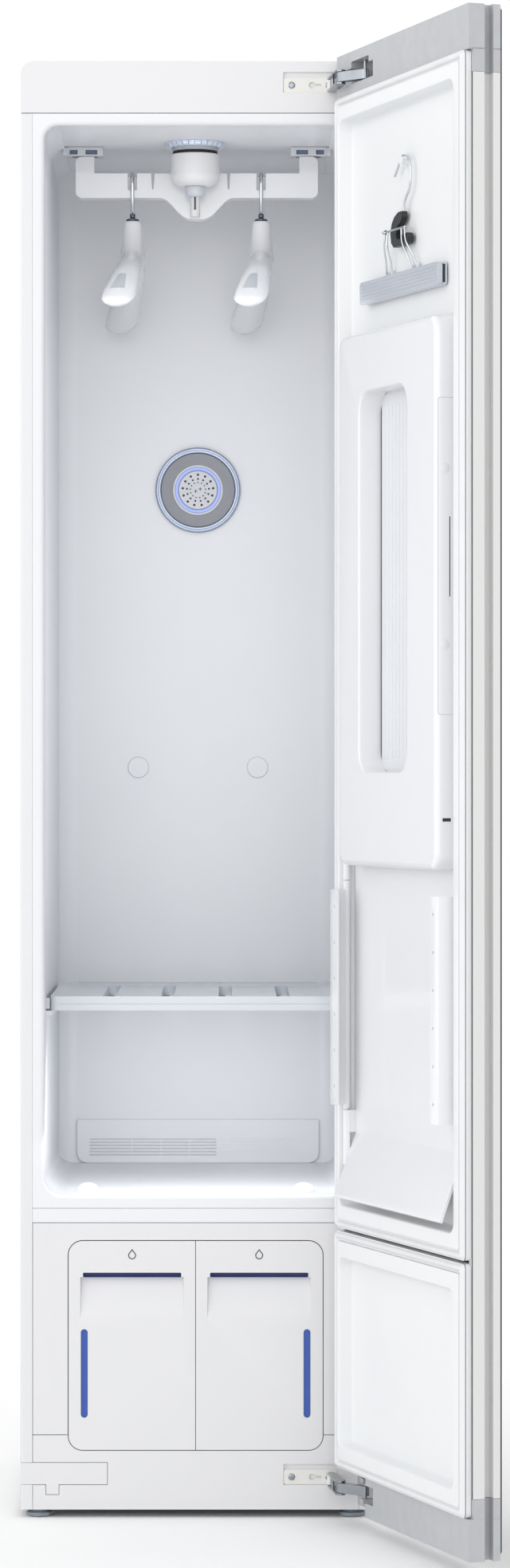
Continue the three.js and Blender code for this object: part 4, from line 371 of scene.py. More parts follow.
# Powder-coated sheet steel: even satin white with a faint orange peel.
WHITE_COAT = surface(
    "powder_coated_steel", "#DEDFE0", "#DBDCDD", 260, (0.30, 0.36), 1.4, 0.006, {"Specular IOR Level": 0.5},
)
panel_top = BODY_TOP - SEAM
panel_sheet = cut(
    prism(
        rounded(HALF - FLANGE, HALF, 0, CABINET_DEPTH, (PANEL_CORNER, PANEL_CORNER, 0, 0)),
        "z", FOOT_HEIGHT, panel_top,
    ),
    prism(
        rounded(
            HALF - FLANGE - OVER, HALF - SHEET, SHEET, CABINET_DEPTH - SHEET,
            (PANEL_CORNER - SHEET, PANEL_CORNER - SHEET, 0, 0),
        ),
        "z", FOOT_HEIGHT - OVER, panel_top + OVER,
    ),
)
SPARE_COVER_BOTTOM = 42
SPARE_COVER_TOP = 69.5
SPARE_COVER_DEPTH = 2
cover_notch = block(
    -HALF - OVER, -HALF + FLANGE + OVER, -OVER, SPARE_COVER_DEPTH + FIT, SPARE_COVER_BOTTOM - FIT,
    SPARE_COVER_TOP + FIT,
)
left_sheet = cut(mirrored(panel_sheet), cover_notch)
fit_piece("side_panel_right", panel_sheet, "cabinet", WHITE_COAT, edge=0.3)
fit_piece("side_panel_left", left_sheet, "cabinet", WHITE_COAT, edge=0.3)

# Back panel. One flat coated sheet with two pressed stiffeners and eight rows of vents low down
# for the machine compartment, screwed on all round.
FRONT_HALF = 207.35
STIFFENER = sizes(centre=85, width=120, depth=4, bottom=464.5, top=1694.3, slope=5)
VENTS = sizes(rows=8, pitch=16, height=6, width=130, bottom=150)
BACK_SCREWS = sizes(count=9, pitch=208, bottom=60, inset=8, radius=4, height=1.0)
# Coated galvanised sheet: light grey and dull, with a faint spangle.
GREY_COAT = surface("galvanised_coated_steel", "#D6D8DA", "#CDD0D3", 120, (0.42, 0.52), 1.0, 0.01)


def copies(mesh, count, offset=(0, 0, 0), turn=(0, 0, 0), material=None):
    """Copies of a closed form in a row or a ring, made by Geometry Nodes and turned to a plain
    mesh: each lies an offset further and is turned once more than the last."""
    tree = bpy.data.node_groups.new("copies", "GeometryNodeTree")
    tree.interface.new_socket("Unit", in_out="INPUT", socket_type="NodeSocketGeometry")
    values = {"Count": ("Int", count), "Offset": ("Vector", offset), "Turn": ("Vector", turn),
              "Finish": ("Material", material)}
    chosen = {}
    for name, (kind, value) in values.items():
        socket = tree.interface.new_socket(name, in_out="INPUT", socket_type=f"NodeSocket{kind}")
        chosen[socket.identifier] = value
    tree.interface.new_socket("Copies", in_out="OUTPUT", socket_type="NodeSocketGeometry")
    given = add_node(tree, "NodeGroupInput")
    line = add_node(tree, "GeometryNodeMeshLine", None, {
        "Count": given.outputs["Count"], "Offset": given.outputs["Offset"],
    })
    index = add_node(tree, "GeometryNodeInputIndex")
    turned = add_node(tree, "ShaderNodeVectorMath", {"operation": "SCALE"}, {
        0: given.outputs["Turn"], "Scale": index.outputs["Index"],
    })
    instances = add_node(tree, "GeometryNodeInstanceOnPoints", None, {
        "Points": line.outputs["Mesh"], "Instance": given.outputs["Unit"],
        "Rotation": turned.outputs["Vector"],
    })
    real = add_node(tree, "GeometryNodeRealizeInstances", None, {"Geometry": instances.outputs["Instances"]})
    finished = add_node(tree, "GeometryNodeSetMaterial", None, {
        "Geometry": real.outputs["Geometry"], "Material": given.outputs["Finish"],
    })
    add_node(tree, "NodeGroupOutput", None, {"Copies": finished.outputs["Geometry"]})
    return grown(mesh, tree, chosen)


def grown(mesh, tree, values):
    """Runs a Geometry Nodes tree on a mesh with its inputs set and gives the plain result."""
    holder = bpy.data.objects.new("grown", mesh)
    bpy.context.scene.collection.objects.link(holder)
    step = holder.modifiers.new("nodes", "NODES")
    step.node_group = tree
    for identifier, value in values.items():
        if value is not None:
            step[identifier] = value
    evaluated = holder.evaluated_get(bpy.context.evaluated_depsgraph_get())
    result = bpy.data.meshes.new_from_object(evaluated)
    bpy.data.objects.remove(holder)
    return result


back_front = CABINET_DEPTH - SHEET
back_sheet = block(-FRONT_HALF, FRONT_HALF, back_front, CABINET_DEPTH, FOOT_HEIGHT, panel_top)
for side in (-1, 1):
    centre = side * STIFFENER.centre
    half_width = STIFFENER.width / 2

    def pressed_ring(shrink, y):
        """The edge of the pressed stiffener, smaller the deeper it lies."""
        return at_depth(rounded(
            centre - half_width + shrink, centre + half_width - shrink,
            STIFFENER.bottom + shrink, STIFFENER.top - shrink, STIFFENER.slope * 2,
        ), y)

    deep = back_front - STIFFENER.depth
    swelling = loft([pressed_ring(STIFFENER.slope, deep), pressed_ring(0, CABINET_DEPTH)])
    dent = loft([
        pressed_ring(STIFFENER.slope + SHEET, deep + SHEET), pressed_ring(SHEET, CABINET_DEPTH + SHEET),
    ])
    slot_unit = prism(
        rounded(
            *about(centre, VENTS.width / 2), VENTS.bottom,
            VENTS.bottom + VENTS.height, VENTS.height / 2 - WELD, 4,
        ),
        "y", back_front - OVER, CABINET_DEPTH + OVER,
    )
    vent_row = copies(slot_unit, VENTS.rows, (0, 0, VENTS.pitch))
    back_sheet = cut(join(back_sheet, swelling), dent, vent_row)
# Zinc-plated steel screws with a cross recess: grey metal, fine turned marks.
ZINC = surface("zinc_plated_steel", "#B4B7BA", "#A2A6AA", 8, (0.26, 0.38), 0.5, 0.01, {"Metallic": 1.0})


def screw_head(x, z, radius, height, seat, facing=-1):
    """A pan-head screw with a cross recess on a face at seat mm, drawn along the depth axis."""
    out = seat + facing * height
    rim = seat + facing * height * 0.45
    head = lathe([(0, seat), (radius, seat), (radius, rim), (radius * 0.72, out), (0, out)], (x, z), "y", 20)
    arm = radius * 0.58
    bar = radius * 0.15
    low, high = sorted((out - facing * height * 0.55, out + facing * OVER))
    cross_cut = join(
        block(*about(x, arm), low, high, *about(z, bar)),
        block(*about(x, bar), low, high, *about(z, arm)),
    )
    return cut(head, cross_cut)


back_screws = []
screw_seats = []
for side in (-1, 1):
    x = side * (FRONT_HALF - BACK_SCREWS.inset)
    unit = screw_head(
        x, BACK_SCREWS.bottom, BACK_SCREWS.radius, BACK_SCREWS.height, back_front + WELD * 10, 1,
    )
    seat = lathe(
        [(BACK_SCREWS.radius + FIT, back_front + WELD * 10),
         (BACK_SCREWS.radius + FIT, CABINET_DEPTH + OVER)],
        (x, BACK_SCREWS.bottom), "y", 20,
    )
    back_screws.append(copies(unit, BACK_SCREWS.count, (0, 0, BACK_SCREWS.pitch), material=ZINC))
    screw_seats.append(copies(seat, BACK_SCREWS.count, (0, 0, BACK_SCREWS.pitch)))
fit_piece("back_panel", cut(back_sheet, *screw_seats), "cabinet", GREY_COAT, edge=0.3)
fit_piece("back_screws", join(back_screws[0], back_screws[1]), "cabinet", ZINC)

# Top cover. A deep injection-moulded cap with rounded shoulders that closes the cabinet's head
# and carries the upper hinge plate in a shallow pocket at the front right.
TOP_CORNER = 16
THICK_WALL = 3
PLATE_LEFT = 112
PLATE_RIGHT = 180
POCKET_DEPTH = 2.8
TOP_PLATE = (1811, 1835.5)
BOTTOM_PLATE = (42, 67.5)
# Injection-moulded ABS with a satin skin: clean white, soft reflections, almost no grain.
WHITE_ABS = surface(
    "moulded_white_abs", "#DFDFE0", "#DCDCDE", 300, (0.26, 0.33), 0.9, 0.004, {"Specular IOR Level": 0.5},
)


def plate_pocket(levels, left, right):
    return block(left - FIT, right + FIT, -OVER, POCKET_DEPTH, levels[0] - FIT, levels[1] + FIT)


def cap_outline(inset, bottom):
    radius = TOP_CORNER - inset
    return rounded(-HALF + inset, HALF - inset, bottom, CABINET_HEIGHT - inset, (0, radius, radius, 0), 12)


hinge_backing = block(
    PLATE_LEFT - THICK_WALL, PLATE_RIGHT + THICK_WALL, THICK_WALL / 2, POCKET_DEPTH + THICK_WALL,
    TOP_PLATE[0] - THICK_WALL, TOP_PLATE[1] + THICK_WALL,
)
cover_shell = cut(
    prism(cap_outline(0, BODY_TOP), "y", 0, CABINET_DEPTH),
    prism(cap_outline(THICK_WALL, BODY_TOP - OVER), "y", THICK_WALL, CABINET_DEPTH - THICK_WALL),
)
top_cover = cut(join(cover_shell, hinge_backing), plate_pocket(TOP_PLATE, PLATE_LEFT, PLATE_RIGHT))
fit_piece("top_cover", top_cover, "cabinet", WHITE_ABS, edge=0.8, bevel_steps=3)

# Base plate and levelling feet. A zinc-plated pressed pan with a threaded boss over each foot;
# each foot is a moulded octagonal pad on a steel stud that screws up into its boss.
FOOT_X = 199
FOOT_Y = (18, 475)
FOOT = sizes(radius=17, height=6.5, neck=11, stud=4, stud_top=30, lip=1.2, waist=14.5)
THREAD = sizes(pitch=1.5, depth=0.5, sides=24)
frame["nodes"]["base_plate"].data.materials.clear()
frame["nodes"]["base_plate"].data.materials.append(ZINC)
# Glass-filled nylon: blue-grey, matt, slightly speckled.
GREY_NYLON = surface("glass_filled_nylon", "#868E96", "#79818A", 14, (0.42, 0.56), 0.6, 0.02)
for place, x, y in (
    ("front_left", -FOOT_X, FOOT_Y[0]), ("front_right", FOOT_X, FOOT_Y[0]),
    ("back_left", -FOOT_X, FOOT_Y[1]), ("back_right", FOOT_X, FOOT_Y[1]),
):
    def eight_sided(radius, z):
        """One level of the pad, an octagon with its corners rounded off."""
        points = []
        for side in range(8):
            for lean in (-0.16, 0, 0.16):
                turn = math.pi / 4 * (side + lean)
                reach = radius * (1 if lean == 0 else 0.985)
                points.append((x + reach * math.cos(turn), y + reach * math.sin(turn), z))
        return points

    pad = loft([
        eight_sided(FOOT.waist, 0), eight_sided(FOOT.radius, FOOT.lip),
        eight_sided(FOOT.radius, FOOT.height - FOOT.lip),
        eight_sided(FOOT.waist, FOOT.height),
    ])
    turned_parts = [
        (FOOT.neck, FOOT.height - FOOT.lip), (FOOT.neck, FOOT_HEIGHT - FIT),
        (FOOT.stud, FOOT_HEIGHT - FIT),
    ]
    z = FOOT_HEIGHT
    while z < FOOT.stud_top - THREAD.pitch:
        turned_parts.append((FOOT.stud, z))
        turned_parts.append((FOOT.stud - THREAD.depth, z + THREAD.pitch / 2))
        z += THREAD.pitch
    turned_parts.append((FOOT.stud - THREAD.depth, FOOT.stud_top))
    neck = lathe(turned_parts, (x, y), "z", THREAD.sides)
    fit_piece(f"foot_{place}", join(pad, neck), f"foot_{place}", GREY_NYLON, edge=0.3)

# Chamber liner. One vacuum-formed and trimmed moulding: the front frame, both walls, back wall,
# ceiling and floor of the chamber, with a ledge for the shelf on each side.
OPENING_HALF = 192.5
OPENING_BOTTOM = 410
OPENING_TOP = 1768.6
OPENING_RADII = (22, 18, 18, 22)
CHAMBER_DEPTH = 480
CHAMBER_CORNER = 26
CEILING = 1772
MOULDING = 2.5
TANK_FRAME_TOP = 374.5
FRAME_RETURN = 18
MOUTH_ROUND = 5
SILL = sizes(top=393.2, width=0.9, depth=1.8)
SHELF_LEDGE = sizes(bottom=634.7, top=640.7, depth=8, front=60, back=460)
BUMP = sizes(x=138, y=44, half_width=15, half_depth=30, height=12)
PLUG = sizes(x=82, z=953, radius=14.2, seat=15, proud=1.5, round=1.1)
CEILING_BAND = sizes(half=174.5, front=6)
DRIVE = (-2, 195)
DRIVE_HOLE = 30.8
NOZZLE_Z = 1334
NOZZLE_HOLE = 40.8
VENT_HOLE = sizes(half=156, bottom=420.3, top=452.3)
# Vacuum-formed ABS, cool white: satin, with broad soft unevenness where the sheet was drawn.
COOL_ABS = surface(
    "formed_cool_white_abs", "#E6E7EA", "#E1E3E6", 220, (0.28, 0.38), 1.6, 0.006,
    {"Specular IOR Level": 0.45},
)


def plan_outline(grow, front):
    """The chamber seen from above, with rounded back corners."""
    half = OPENING_HALF + grow
    return rounded(-half, half, front, CHAMBER_DEPTH + grow,
                   (0, CHAMBER_CORNER + grow, CHAMBER_CORNER + grow, 0), 12)


def opening_outline(grow):
    radii = tuple(radius + grow for radius in OPENING_RADII)
    return rounded(
        -OPENING_HALF - grow, OPENING_HALF + grow, OPENING_BOTTOM - grow, OPENING_TOP + grow, radii, 12,
    )


chamber_room = cross(
    prism(plan_outline(0, -OVER), "z", OPENING_BOTTOM - OVER, OPENING_TOP + OVER),
    prism(opening_outline(0), "y", -OVER * 2, CHAMBER_DEPTH + OVER),
)
ceiling_room = cross(
    prism(plan_outline(0, CEILING_BAND.front), "z", OPENING_TOP - OVER, CEILING),
    block(
        -CEILING_BAND.half, CEILING_BAND.half, CEILING_BAND.front, CHAMBER_DEPTH,
        OPENING_TOP - OVER * 2, CEILING + OVER,
    ),
)
chamber_walls = cross(
    prism(plan_outline(MOULDING, 0), "z", OPENING_BOTTOM - MOULDING * 2, CEILING + MOULDING),
    prism(opening_outline(MOULDING * 2), "y", 0, CHAMBER_DEPTH + MOULDING * 2),
)
frame_top = BODY_TOP - SEAM
frame_bottom = TANK_FRAME_TOP + FIT
front_frame = cut(
    block(-FRONT_HALF, FRONT_HALF, 0, FRAME_RETURN, frame_bottom, frame_top),
    block(
        -FRONT_HALF + MOULDING, FRONT_HALF - MOULDING, MOULDING, FRAME_RETURN + OVER,
        frame_bottom + MOULDING, frame_top - MOULDING,
    ),
)
# the mouth of the opening rolls over from the frame into the walls
mouth_rings = []
for step in range(7):
    turn = math.radians(90 * step / 6)
    grow = MOUTH_ROUND * (1 - math.sin(turn))
    depth = MOUTH_ROUND * (1 - math.cos(turn))
    mouth_rings.append(at_depth(opening_outline(grow), depth))
mouth_rings.insert(0, at_depth(opening_outline(MOUTH_ROUND), -OVER))
mouth_backing = cut(
    prism(opening_outline(MOUTH_ROUND + MOULDING), "y", 0, MOUTH_ROUND + MOULDING),
    prism(opening_outline(-WELD), "y", -OVER, FRAME_RETURN),
)
liner = cut(join(chamber_walls, front_frame, mouth_backing), chamber_room, loft(mouth_rings), ceiling_room)
liner = cut(liner, block(
    -FRONT_HALF - OVER, FRONT_HALF + OVER, -OVER, SILL.depth, SILL.top - SILL.width, SILL.top,
))
for side in (-1, 1):
    wall = sorted((side * (OPENING_HALF + FIT), side * (OPENING_HALF - SHELF_LEDGE.depth)))
    ledge = block(*wall, SHELF_LEDGE.front, SHELF_LEDGE.back, SHELF_LEDGE.bottom, SHELF_LEDGE.top)
    bump_rings = []
    for step in range(9):
        rise = math.radians(90 * step / 8)
        reach = max(math.cos(rise), 0.02)
        spread = (BUMP.half_width * reach, BUMP.half_depth * reach)
        z = OPENING_BOTTOM - FIT + BUMP.height * math.sin(rise)
        bump_rings.append([(a, b, z) for a, b in arc(side * BUMP.x, BUMP.y, spread, 0, 345, 23)])
    liner = join(liner, ledge, loft(bump_rings))
liner = cut(
    liner,
    lathe([(DRIVE_HOLE, CEILING - OVER), (DRIVE_HOLE, CEILING + OVER)], DRIVE),
    lathe([(NOZZLE_HOLE, CHAMBER_DEPTH - OVER), (NOZZLE_HOLE, CHAMBER_DEPTH + OVER)], (0, NOZZLE_Z), "y"),
    block(
        -VENT_HOLE.half, VENT_HOLE.half, *about(CHAMBER_DEPTH, OVER), VENT_HOLE.bottom, VENT_HOLE.top,
    ),
    *[
        lathe([(PLUG.seat, CHAMBER_DEPTH - OVER), (PLUG.seat, CHAMBER_DEPTH + FIT * 2)], (x, PLUG.z), "y")
        for x in (-PLUG.x, PLUG.x)
    ],
)
fit_piece("chamber_liner", liner, "cabinet", COOL_ABS, edge=0.4)

# Wall plugs. Two round moulded caps pressed into the back wall over its fixing holes.
for side in (-1, 1):
    plug_profile = [(PLUG.radius, CHAMBER_DEPTH + FIT)] + arc(
        PLUG.radius - PLUG.round, CHAMBER_DEPTH - PLUG.proud + PLUG.round,
        (PLUG.round, -PLUG.round), 0, 90, 4,
    )
    plug = lathe(plug_profile, (side * PLUG.x, PLUG.z), "y")
    plug_side = "left" if side < 0 else "right"
    fit_piece(f"wall_plug_{plug_side}", plug, "cabinet", COOL_ABS)

# Lower front. The frame round the tanks, the kick panel below it and the cover that closes the
# spare hinge holes: three injection-moulded pieces clipped to the cabinet, thin seams between.
KICK_TOP = 105
TANK_HALF = 161.6
TANK_LEVELS = (85.8, 351.2)
TANK_CORNER = 18
TANK_GAP = 1.0
FRONT_EDGE = FRONT_HALF - SEAM / 2


def front_plate(bottom, top):
    return cut(
        block(-FRONT_EDGE, FRONT_EDGE, 0, FRAME_RETURN, bottom, top),
        block(
            -FRONT_EDGE + THICK_WALL, FRONT_EDGE - THICK_WALL, THICK_WALL, FRAME_RETURN + OVER,
            bottom - OVER, top + OVER,
        ),
    )


def tank_hole(shrink=0, front=-OVER, back=FRAME_RETURN + OVER):
    grow = TANK_GAP - shrink
    outline = rounded(
        -TANK_HALF - grow, TANK_HALF + grow, TANK_LEVELS[0] - grow, TANK_LEVELS[1] + grow,
        TANK_CORNER + TANK_GAP - shrink, 12,
    )
    return prism(outline, "y", front, back)


lower_front = cut(front_plate(KICK_TOP + SEAM / 2, TANK_FRAME_TOP - SEAM / 2), tank_hole())
fit_piece("lower_front_panel", lower_front, "cabinet", WHITE_ABS, edge=0.4)
# Matt black: extruded rubber for the trouser clamp's strip. The same black paints shade: a thin strip
# that lines the hole paints the shade in the joint round the tanks as a dark line.
BLACK_RUBBER_AND_SHADE = surface("black_rubber_and_painted_shade", "#2A2C2F", "#222427", 10, (0.5, 0.6), 0.8, 0.01)
TANK_GAP_SHADE = sizes(thick=0.45, front=0.9, back=14)
tank_gap_shade = cut(tank_hole(WELD, TANK_GAP_SHADE.front, TANK_GAP_SHADE.back), tank_hole(TANK_GAP_SHADE.thick))
fit_piece("tank_gap_shade", tank_gap_shade, "cabinet", BLACK_RUBBER_AND_SHADE)
COVER_RIGHT = -112.5
COVER_TAB = (-190, -174)
COVER_TAB_BOTTOM = 29.4


def spare_cover(grow, front):
    return join(
        block(-HALF - grow, COVER_RIGHT + grow, front, SPARE_COVER_DEPTH + grow,
              SPARE_COVER_BOTTOM - grow, SPARE_COVER_TOP + grow),
        block(COVER_TAB[0] - grow, COVER_TAB[1] + grow, front, SPARE_COVER_DEPTH + grow,
              COVER_TAB_BOTTOM - grow, SPARE_COVER_BOTTOM + FIT),
    )


kick_backing = block(
    PLATE_LEFT - THICK_WALL, FRONT_HALF, THICK_WALL / 2, POCKET_DEPTH + THICK_WALL,
    BOTTOM_PLATE[0] - THICK_WALL, BOTTOM_PLATE[1] + THICK_WALL,
)
FOOT_ROOM = FOOT.radius + TANK_GAP
foot_rooms = [
    block(*about(x, FOOT_ROOM), THICK_WALL, FOOT_Y[0] + FOOT_ROOM, FOOT_HEIGHT - OVER, 26)
    for x in (-FOOT_X, FOOT_X)
]
kick = cut(
    join(front_plate(FOOT_HEIGHT, KICK_TOP - SEAM / 2), kick_backing, mirrored(kick_backing)),
    tank_hole(), plate_pocket(BOTTOM_PLATE, PLATE_LEFT, PLATE_RIGHT), spare_cover(SEAM, -OVER), *foot_rooms,
)
fit_piece("kick_panel", kick, "cabinet", WHITE_ABS, edge=0.3)
fit_piece("hinge_hole_cover", spare_cover(0, 0), "cabinet", WHITE_ABS, edge=0.4)

# Tank bay. An open-fronted moulded box behind the lower frame that holds both tanks, with a low
# divider on its floor; plain light grey polypropylene.
BAY_FRONT = 3.3
BAY_DEPTH = 210
BAY_DIVIDER_TOP = 103
GREY_PP = surface("moulded_grey_polypropylene", "#D2D6DB", "#CACFD5", 60, (0.40, 0.50), 0.8, 0.01)


def bay_outline(grow, radius):
    return rounded(
        -TANK_HALF - TANK_GAP - grow, TANK_HALF + TANK_GAP + grow, TANK_LEVELS[0] - TANK_GAP - grow,
        TANK_LEVELS[1] + TANK_GAP + grow, radius,
    )


bay = cut(
    prism(bay_outline(MOULDING, TANK_CORNER), "y", BAY_FRONT, BAY_DEPTH),
    prism(bay_outline(0, TANK_CORNER - MOULDING), "y", -OVER, BAY_DEPTH - MOULDING),
)
bay_divider = block(
    -MOULDING / 2, MOULDING / 2, 18.1, BAY_DEPTH - MOULDING / 2, TANK_LEVELS[0] - MOULDING, BAY_DIVIDER_TOP,
)
fit_piece("tank_bay", join(bay, bay_divider), "cabinet", GREY_PP, edge=0.3)

# Water tanks. Two alike: a white moulded front with a grip slot over a sloping finger recess and
# a level window, clipped to a clear blue blow-moulded body that shows in the window.
TANK_CENTRE = -80.8
TANK_RIGHT = -0.4
FRONT_THICKNESS = 14
GRIP = sizes(width=125, bottom=305, top=311, depth=11.5)
RECESS = sizes(width=132, bottom=253, top=305.3, depth=9, radius=5)
LEVEL = sizes(left=-146, right=-137.2, bottom=126.7, top=239.2)
TANK_BODY = sizes(inset=6.3, wall=2, depth=185, top=337.2, front=11.8, corner=10)
FILL_HOLE = sizes(half=31.2, front=169, back=177, radius=3.9)
TANK_LIP = 0.5
TANK_JOINT_SHADE = 0.3
# Tinted polypropylene, blow-moulded: deep clear blue, glossy, light comes through its thin walls; its
# faint blue emission is a painted glow for that light.
CLEAR_BLUE = surface(
    "clear_blue_polypropylene", "#3E66BE", "#3459AE", 40, (0.12, 0.2), 2.0, 0.01,
    {"Transmission Weight": 0.35, "IOR": 1.49, "Emission Color": linear("#3D63B8"),
     "Emission Strength": 0.12},
)
# Painted shade: a nearly navy lining in the grip slot paints the deep shade there, over the tinted
# moulding seen edge-on.
NAVY_SLOT_SHADE = surface("navy_slot_shade", "#2A3F8C", "#22357A", 30, (0.3, 0.4), 1.0, 0.01)


def tank_front():
    """The left tank's front: rounded outer corners, square where it meets its neighbour."""
    outline = rounded(
        -TANK_HALF, TANK_RIGHT, TANK_LEVELS[0], TANK_LEVELS[1], (0, 0, TANK_CORNER, TANK_CORNER), 12,
    )
    plate = prism(outline, "y", 0, FRONT_THICKNESS)
    half_slot = GRIP.width / 2
    slot = prism(
        rounded(*about(TANK_CENTRE, half_slot), GRIP.bottom, GRIP.top, 1.5, 4),
        "y", -OVER, GRIP.depth,
    )
    recess_rings = []
    for share in (-0.4, 0, 0.25, 0.5, 0.75, 1):
        depth = share * RECESS.depth
        low = RECESS.bottom + (RECESS.top - RECESS.bottom) * max(share, 0)
        inset = RECESS.radius * 0.5 * max(share, 0)
        half_recess = RECESS.width / 2 - inset
        recess_rings.append(at_depth(rounded(
            *about(TANK_CENTRE, half_recess), low - WELD * 10, RECESS.top, 0.4 * (1.2 - max(share, 0)), 3,
        ), depth))
    recess = loft(recess_rings)
    hollow = block(
        -TANK_HALF + 6, TANK_RIGHT - MOULDING, FRONT_THICKNESS - MOULDING, FRONT_THICKNESS + OVER,
        TANK_LEVELS[0] + 6, TANK_LEVELS[1] - 6,
    )
    window = prism(
        rounded(LEVEL.left, LEVEL.right, LEVEL.bottom, LEVEL.top, 4.3), "y", -OVER, FRONT_THICKNESS + OVER,
    )
    return cut(plate, slot, recess, hollow, window)


def tank_body():
    left = -TANK_HALF + TANK_BODY.inset
    right = TANK_RIGHT - MOULDING - FIT
    bottom = TANK_LEVELS[0] + TANK_BODY.inset
    body = prism(
        rounded(left, right, TANK_BODY.front, TANK_BODY.depth, (1, TANK_BODY.corner, TANK_BODY.corner, 1)),
        "z", bottom, TANK_BODY.top,
    )
    wall = TANK_BODY.wall
    hollow = prism(
        rounded(left + wall, right - wall, TANK_BODY.front + wall, TANK_BODY.depth - wall, 1),
        "z", bottom + wall, TANK_BODY.top - wall,
    )
    fill_hole = prism(
        rounded(
            *about(TANK_CENTRE, FILL_HOLE.half), FILL_HOLE.front, FILL_HOLE.back, FILL_HOLE.radius,
        ),
        "z", TANK_BODY.top - wall - OVER, TANK_BODY.top + OVER,
    )
    rib = prism(
        rounded(LEVEL.left + FIT, LEVEL.right - FIT, LEVEL.bottom + FIT, LEVEL.top - FIT, 4),
        "y", 2, TANK_BODY.front + 1,
    )
    return join(cut(body, hollow, fill_hole), rib)


# A thin navy lining inside each grip slot paints the shade deep in the slot.
SLOT_SHADE_WALL = 0.6
half_lining = GRIP.width / 2 - FIT
slot_shade_lining = cut(
    block(*about(TANK_CENTRE, half_lining), 1.5, GRIP.depth - FIT,
          GRIP.bottom + FIT / 2, GRIP.top - FIT / 2),
    block(TANK_CENTRE - half_lining + SLOT_SHADE_WALL, TANK_CENTRE + half_lining - SLOT_SHADE_WALL, 0,
          GRIP.depth - FIT - SLOT_SHADE_WALL, GRIP.bottom + SLOT_SHADE_WALL, GRIP.top - SLOT_SHADE_WALL),
)
DROP = sizes(z=333, radius=5, rise=13, line=1.2, depth=0.25)


def droplet(grow):
    """A plain water drop: a round belly that runs up to a point."""
    tip = (TANK_CENTRE, DROP.z + DROP.rise - DROP.radius + grow * 1.6)
    return arc(TANK_CENTRE, DROP.z, DROP.radius + grow, -230, 280, 24) + [tip]


drop_mark = cut(
    prism(droplet(0), "y", -DROP.depth, DROP.depth),
    prism(droplet(-DROP.line), "y", -OVER, OVER),
)
# Pad-printed ink: dark grey, dead flat, a hair above the moulding.
DARK_INK = surface("pad_printed_ink", "#3C3E42", "#333539", 6, (0.5, 0.6), 0.4, 0.002)
for body, turn_over in (("drain_tank", as_it_is), ("water_tank", mirrored)):
    fit_piece(
        f"{body}_front", turn_over(tank_front()), body, WHITE_ABS,
        edge=TANK_LIP, bevel_steps=3,
    )
    fit_piece(f"{body}_body", turn_over(tank_body()), body, CLEAR_BLUE, edge=0.3)
    fit_piece(f"{body}_slot_shade_lining", turn_over(slot_shade_lining), body, NAVY_SLOT_SHADE)
    fit_piece(f"{body}_droplet", turn_over(drop_mark), body, DARK_INK)
    # A thin black strip on each tank's meeting edge paints the shade in the joint between the two tanks.
    strip = block(
        TANK_RIGHT - WELD, TANK_RIGHT + TANK_JOINT_SHADE, TANK_GAP_SHADE.front, FRONT_THICKNESS - 1,
        TANK_LEVELS[0] + FIT, TANK_LEVELS[1] - FIT,
    )
    fit_piece(f"{body}_strip", turn_over(strip), body, BLACK_RUBBER_AND_SHADE)

# Steam nozzle. A silver-blue plated bezel with two rolled edges, a grey annulus, a pale ring, a
# light ring and a perforated disc that the steam comes through; pressed on the back wall.
NOZZLE_SIDES = 96
NOZZLE_WALL = CHAMBER_DEPTH - FIT
NOZZLE_FRONT = 475.7
DISC_RADIUS = 26.3
RING = (27.2, 31.4)
PALE_RING = (31.6, 34.4)
HOLES = sizes(lines=13, places=(0.80, 0.58, 0.40), radii=(0.066, 0.052, 0.038), depth=2)
# Satin-plated ABS: metallic blue-silver with soft broad reflections.
SATIN_PLATE = surface(
    "satin_plated_abs", "#A9B2C3", "#9DA7BA", 30, (0.24, 0.32), 0.6, 0.004, {"Metallic": 0.75},
)
# Satin ABS in two greys: a middle one for the annulus, a pale one for the ring and the disc.
GREY_ABS = surface("moulded_mid_grey_abs", "#8E9097", "#86888F", 20, (0.34, 0.42), 0.5, 0.006)
PALE_ABS = surface("moulded_pale_grey_abs", "#D2D4D9", "#CBCDD3", 20, (0.34, 0.42), 0.5, 0.004)
# Clear blue acrylic: glossy, with a faint light of its own.
BLUE_ACRYLIC = surface(
    "clear_blue_acrylic", "#8C9EDC", "#7F92D4", 12, (0.12, 0.2), 0.8, 0.003,
    {"Emission Color": linear("#8C9EDC"), "Emission Strength": 0.35, "Coat Weight": 0.5},
)
BEZEL = sizes(inner=50.9, outer=58.5)
bezel_profile = [
    (BEZEL.inner, NOZZLE_WALL), (BEZEL.inner, 474.6), *arc(52.6, 474.2, (1.7, -1.5), 180, -90, 6),
    (53.6, 472.7), (54.1, 473.4), (54.8, 473.5), (55.2, 472.8),
    *arc(55.9, 475.3, (2.6, -2.5), 90, -90, 6), (BEZEL.outer, NOZZLE_WALL), (BEZEL.inner, NOZZLE_WALL),
]
bezel = lathe(bezel_profile, (0, NOZZLE_Z), "y", NOZZLE_SIDES)
fit_piece("nozzle_bezel", bezel, "cabinet", SATIN_PLATE)


def flat_ring(inner, outer, front, back, ease):
    """A flat ring on the nozzle with its front edges eased."""
    return lathe(
        [(inner, back), (inner, front + ease), (inner + ease, front), (outer - ease, front),
         (outer, front + ease), (outer, back), (inner, back)],
        (0, NOZZLE_Z), "y", NOZZLE_SIDES,
    )


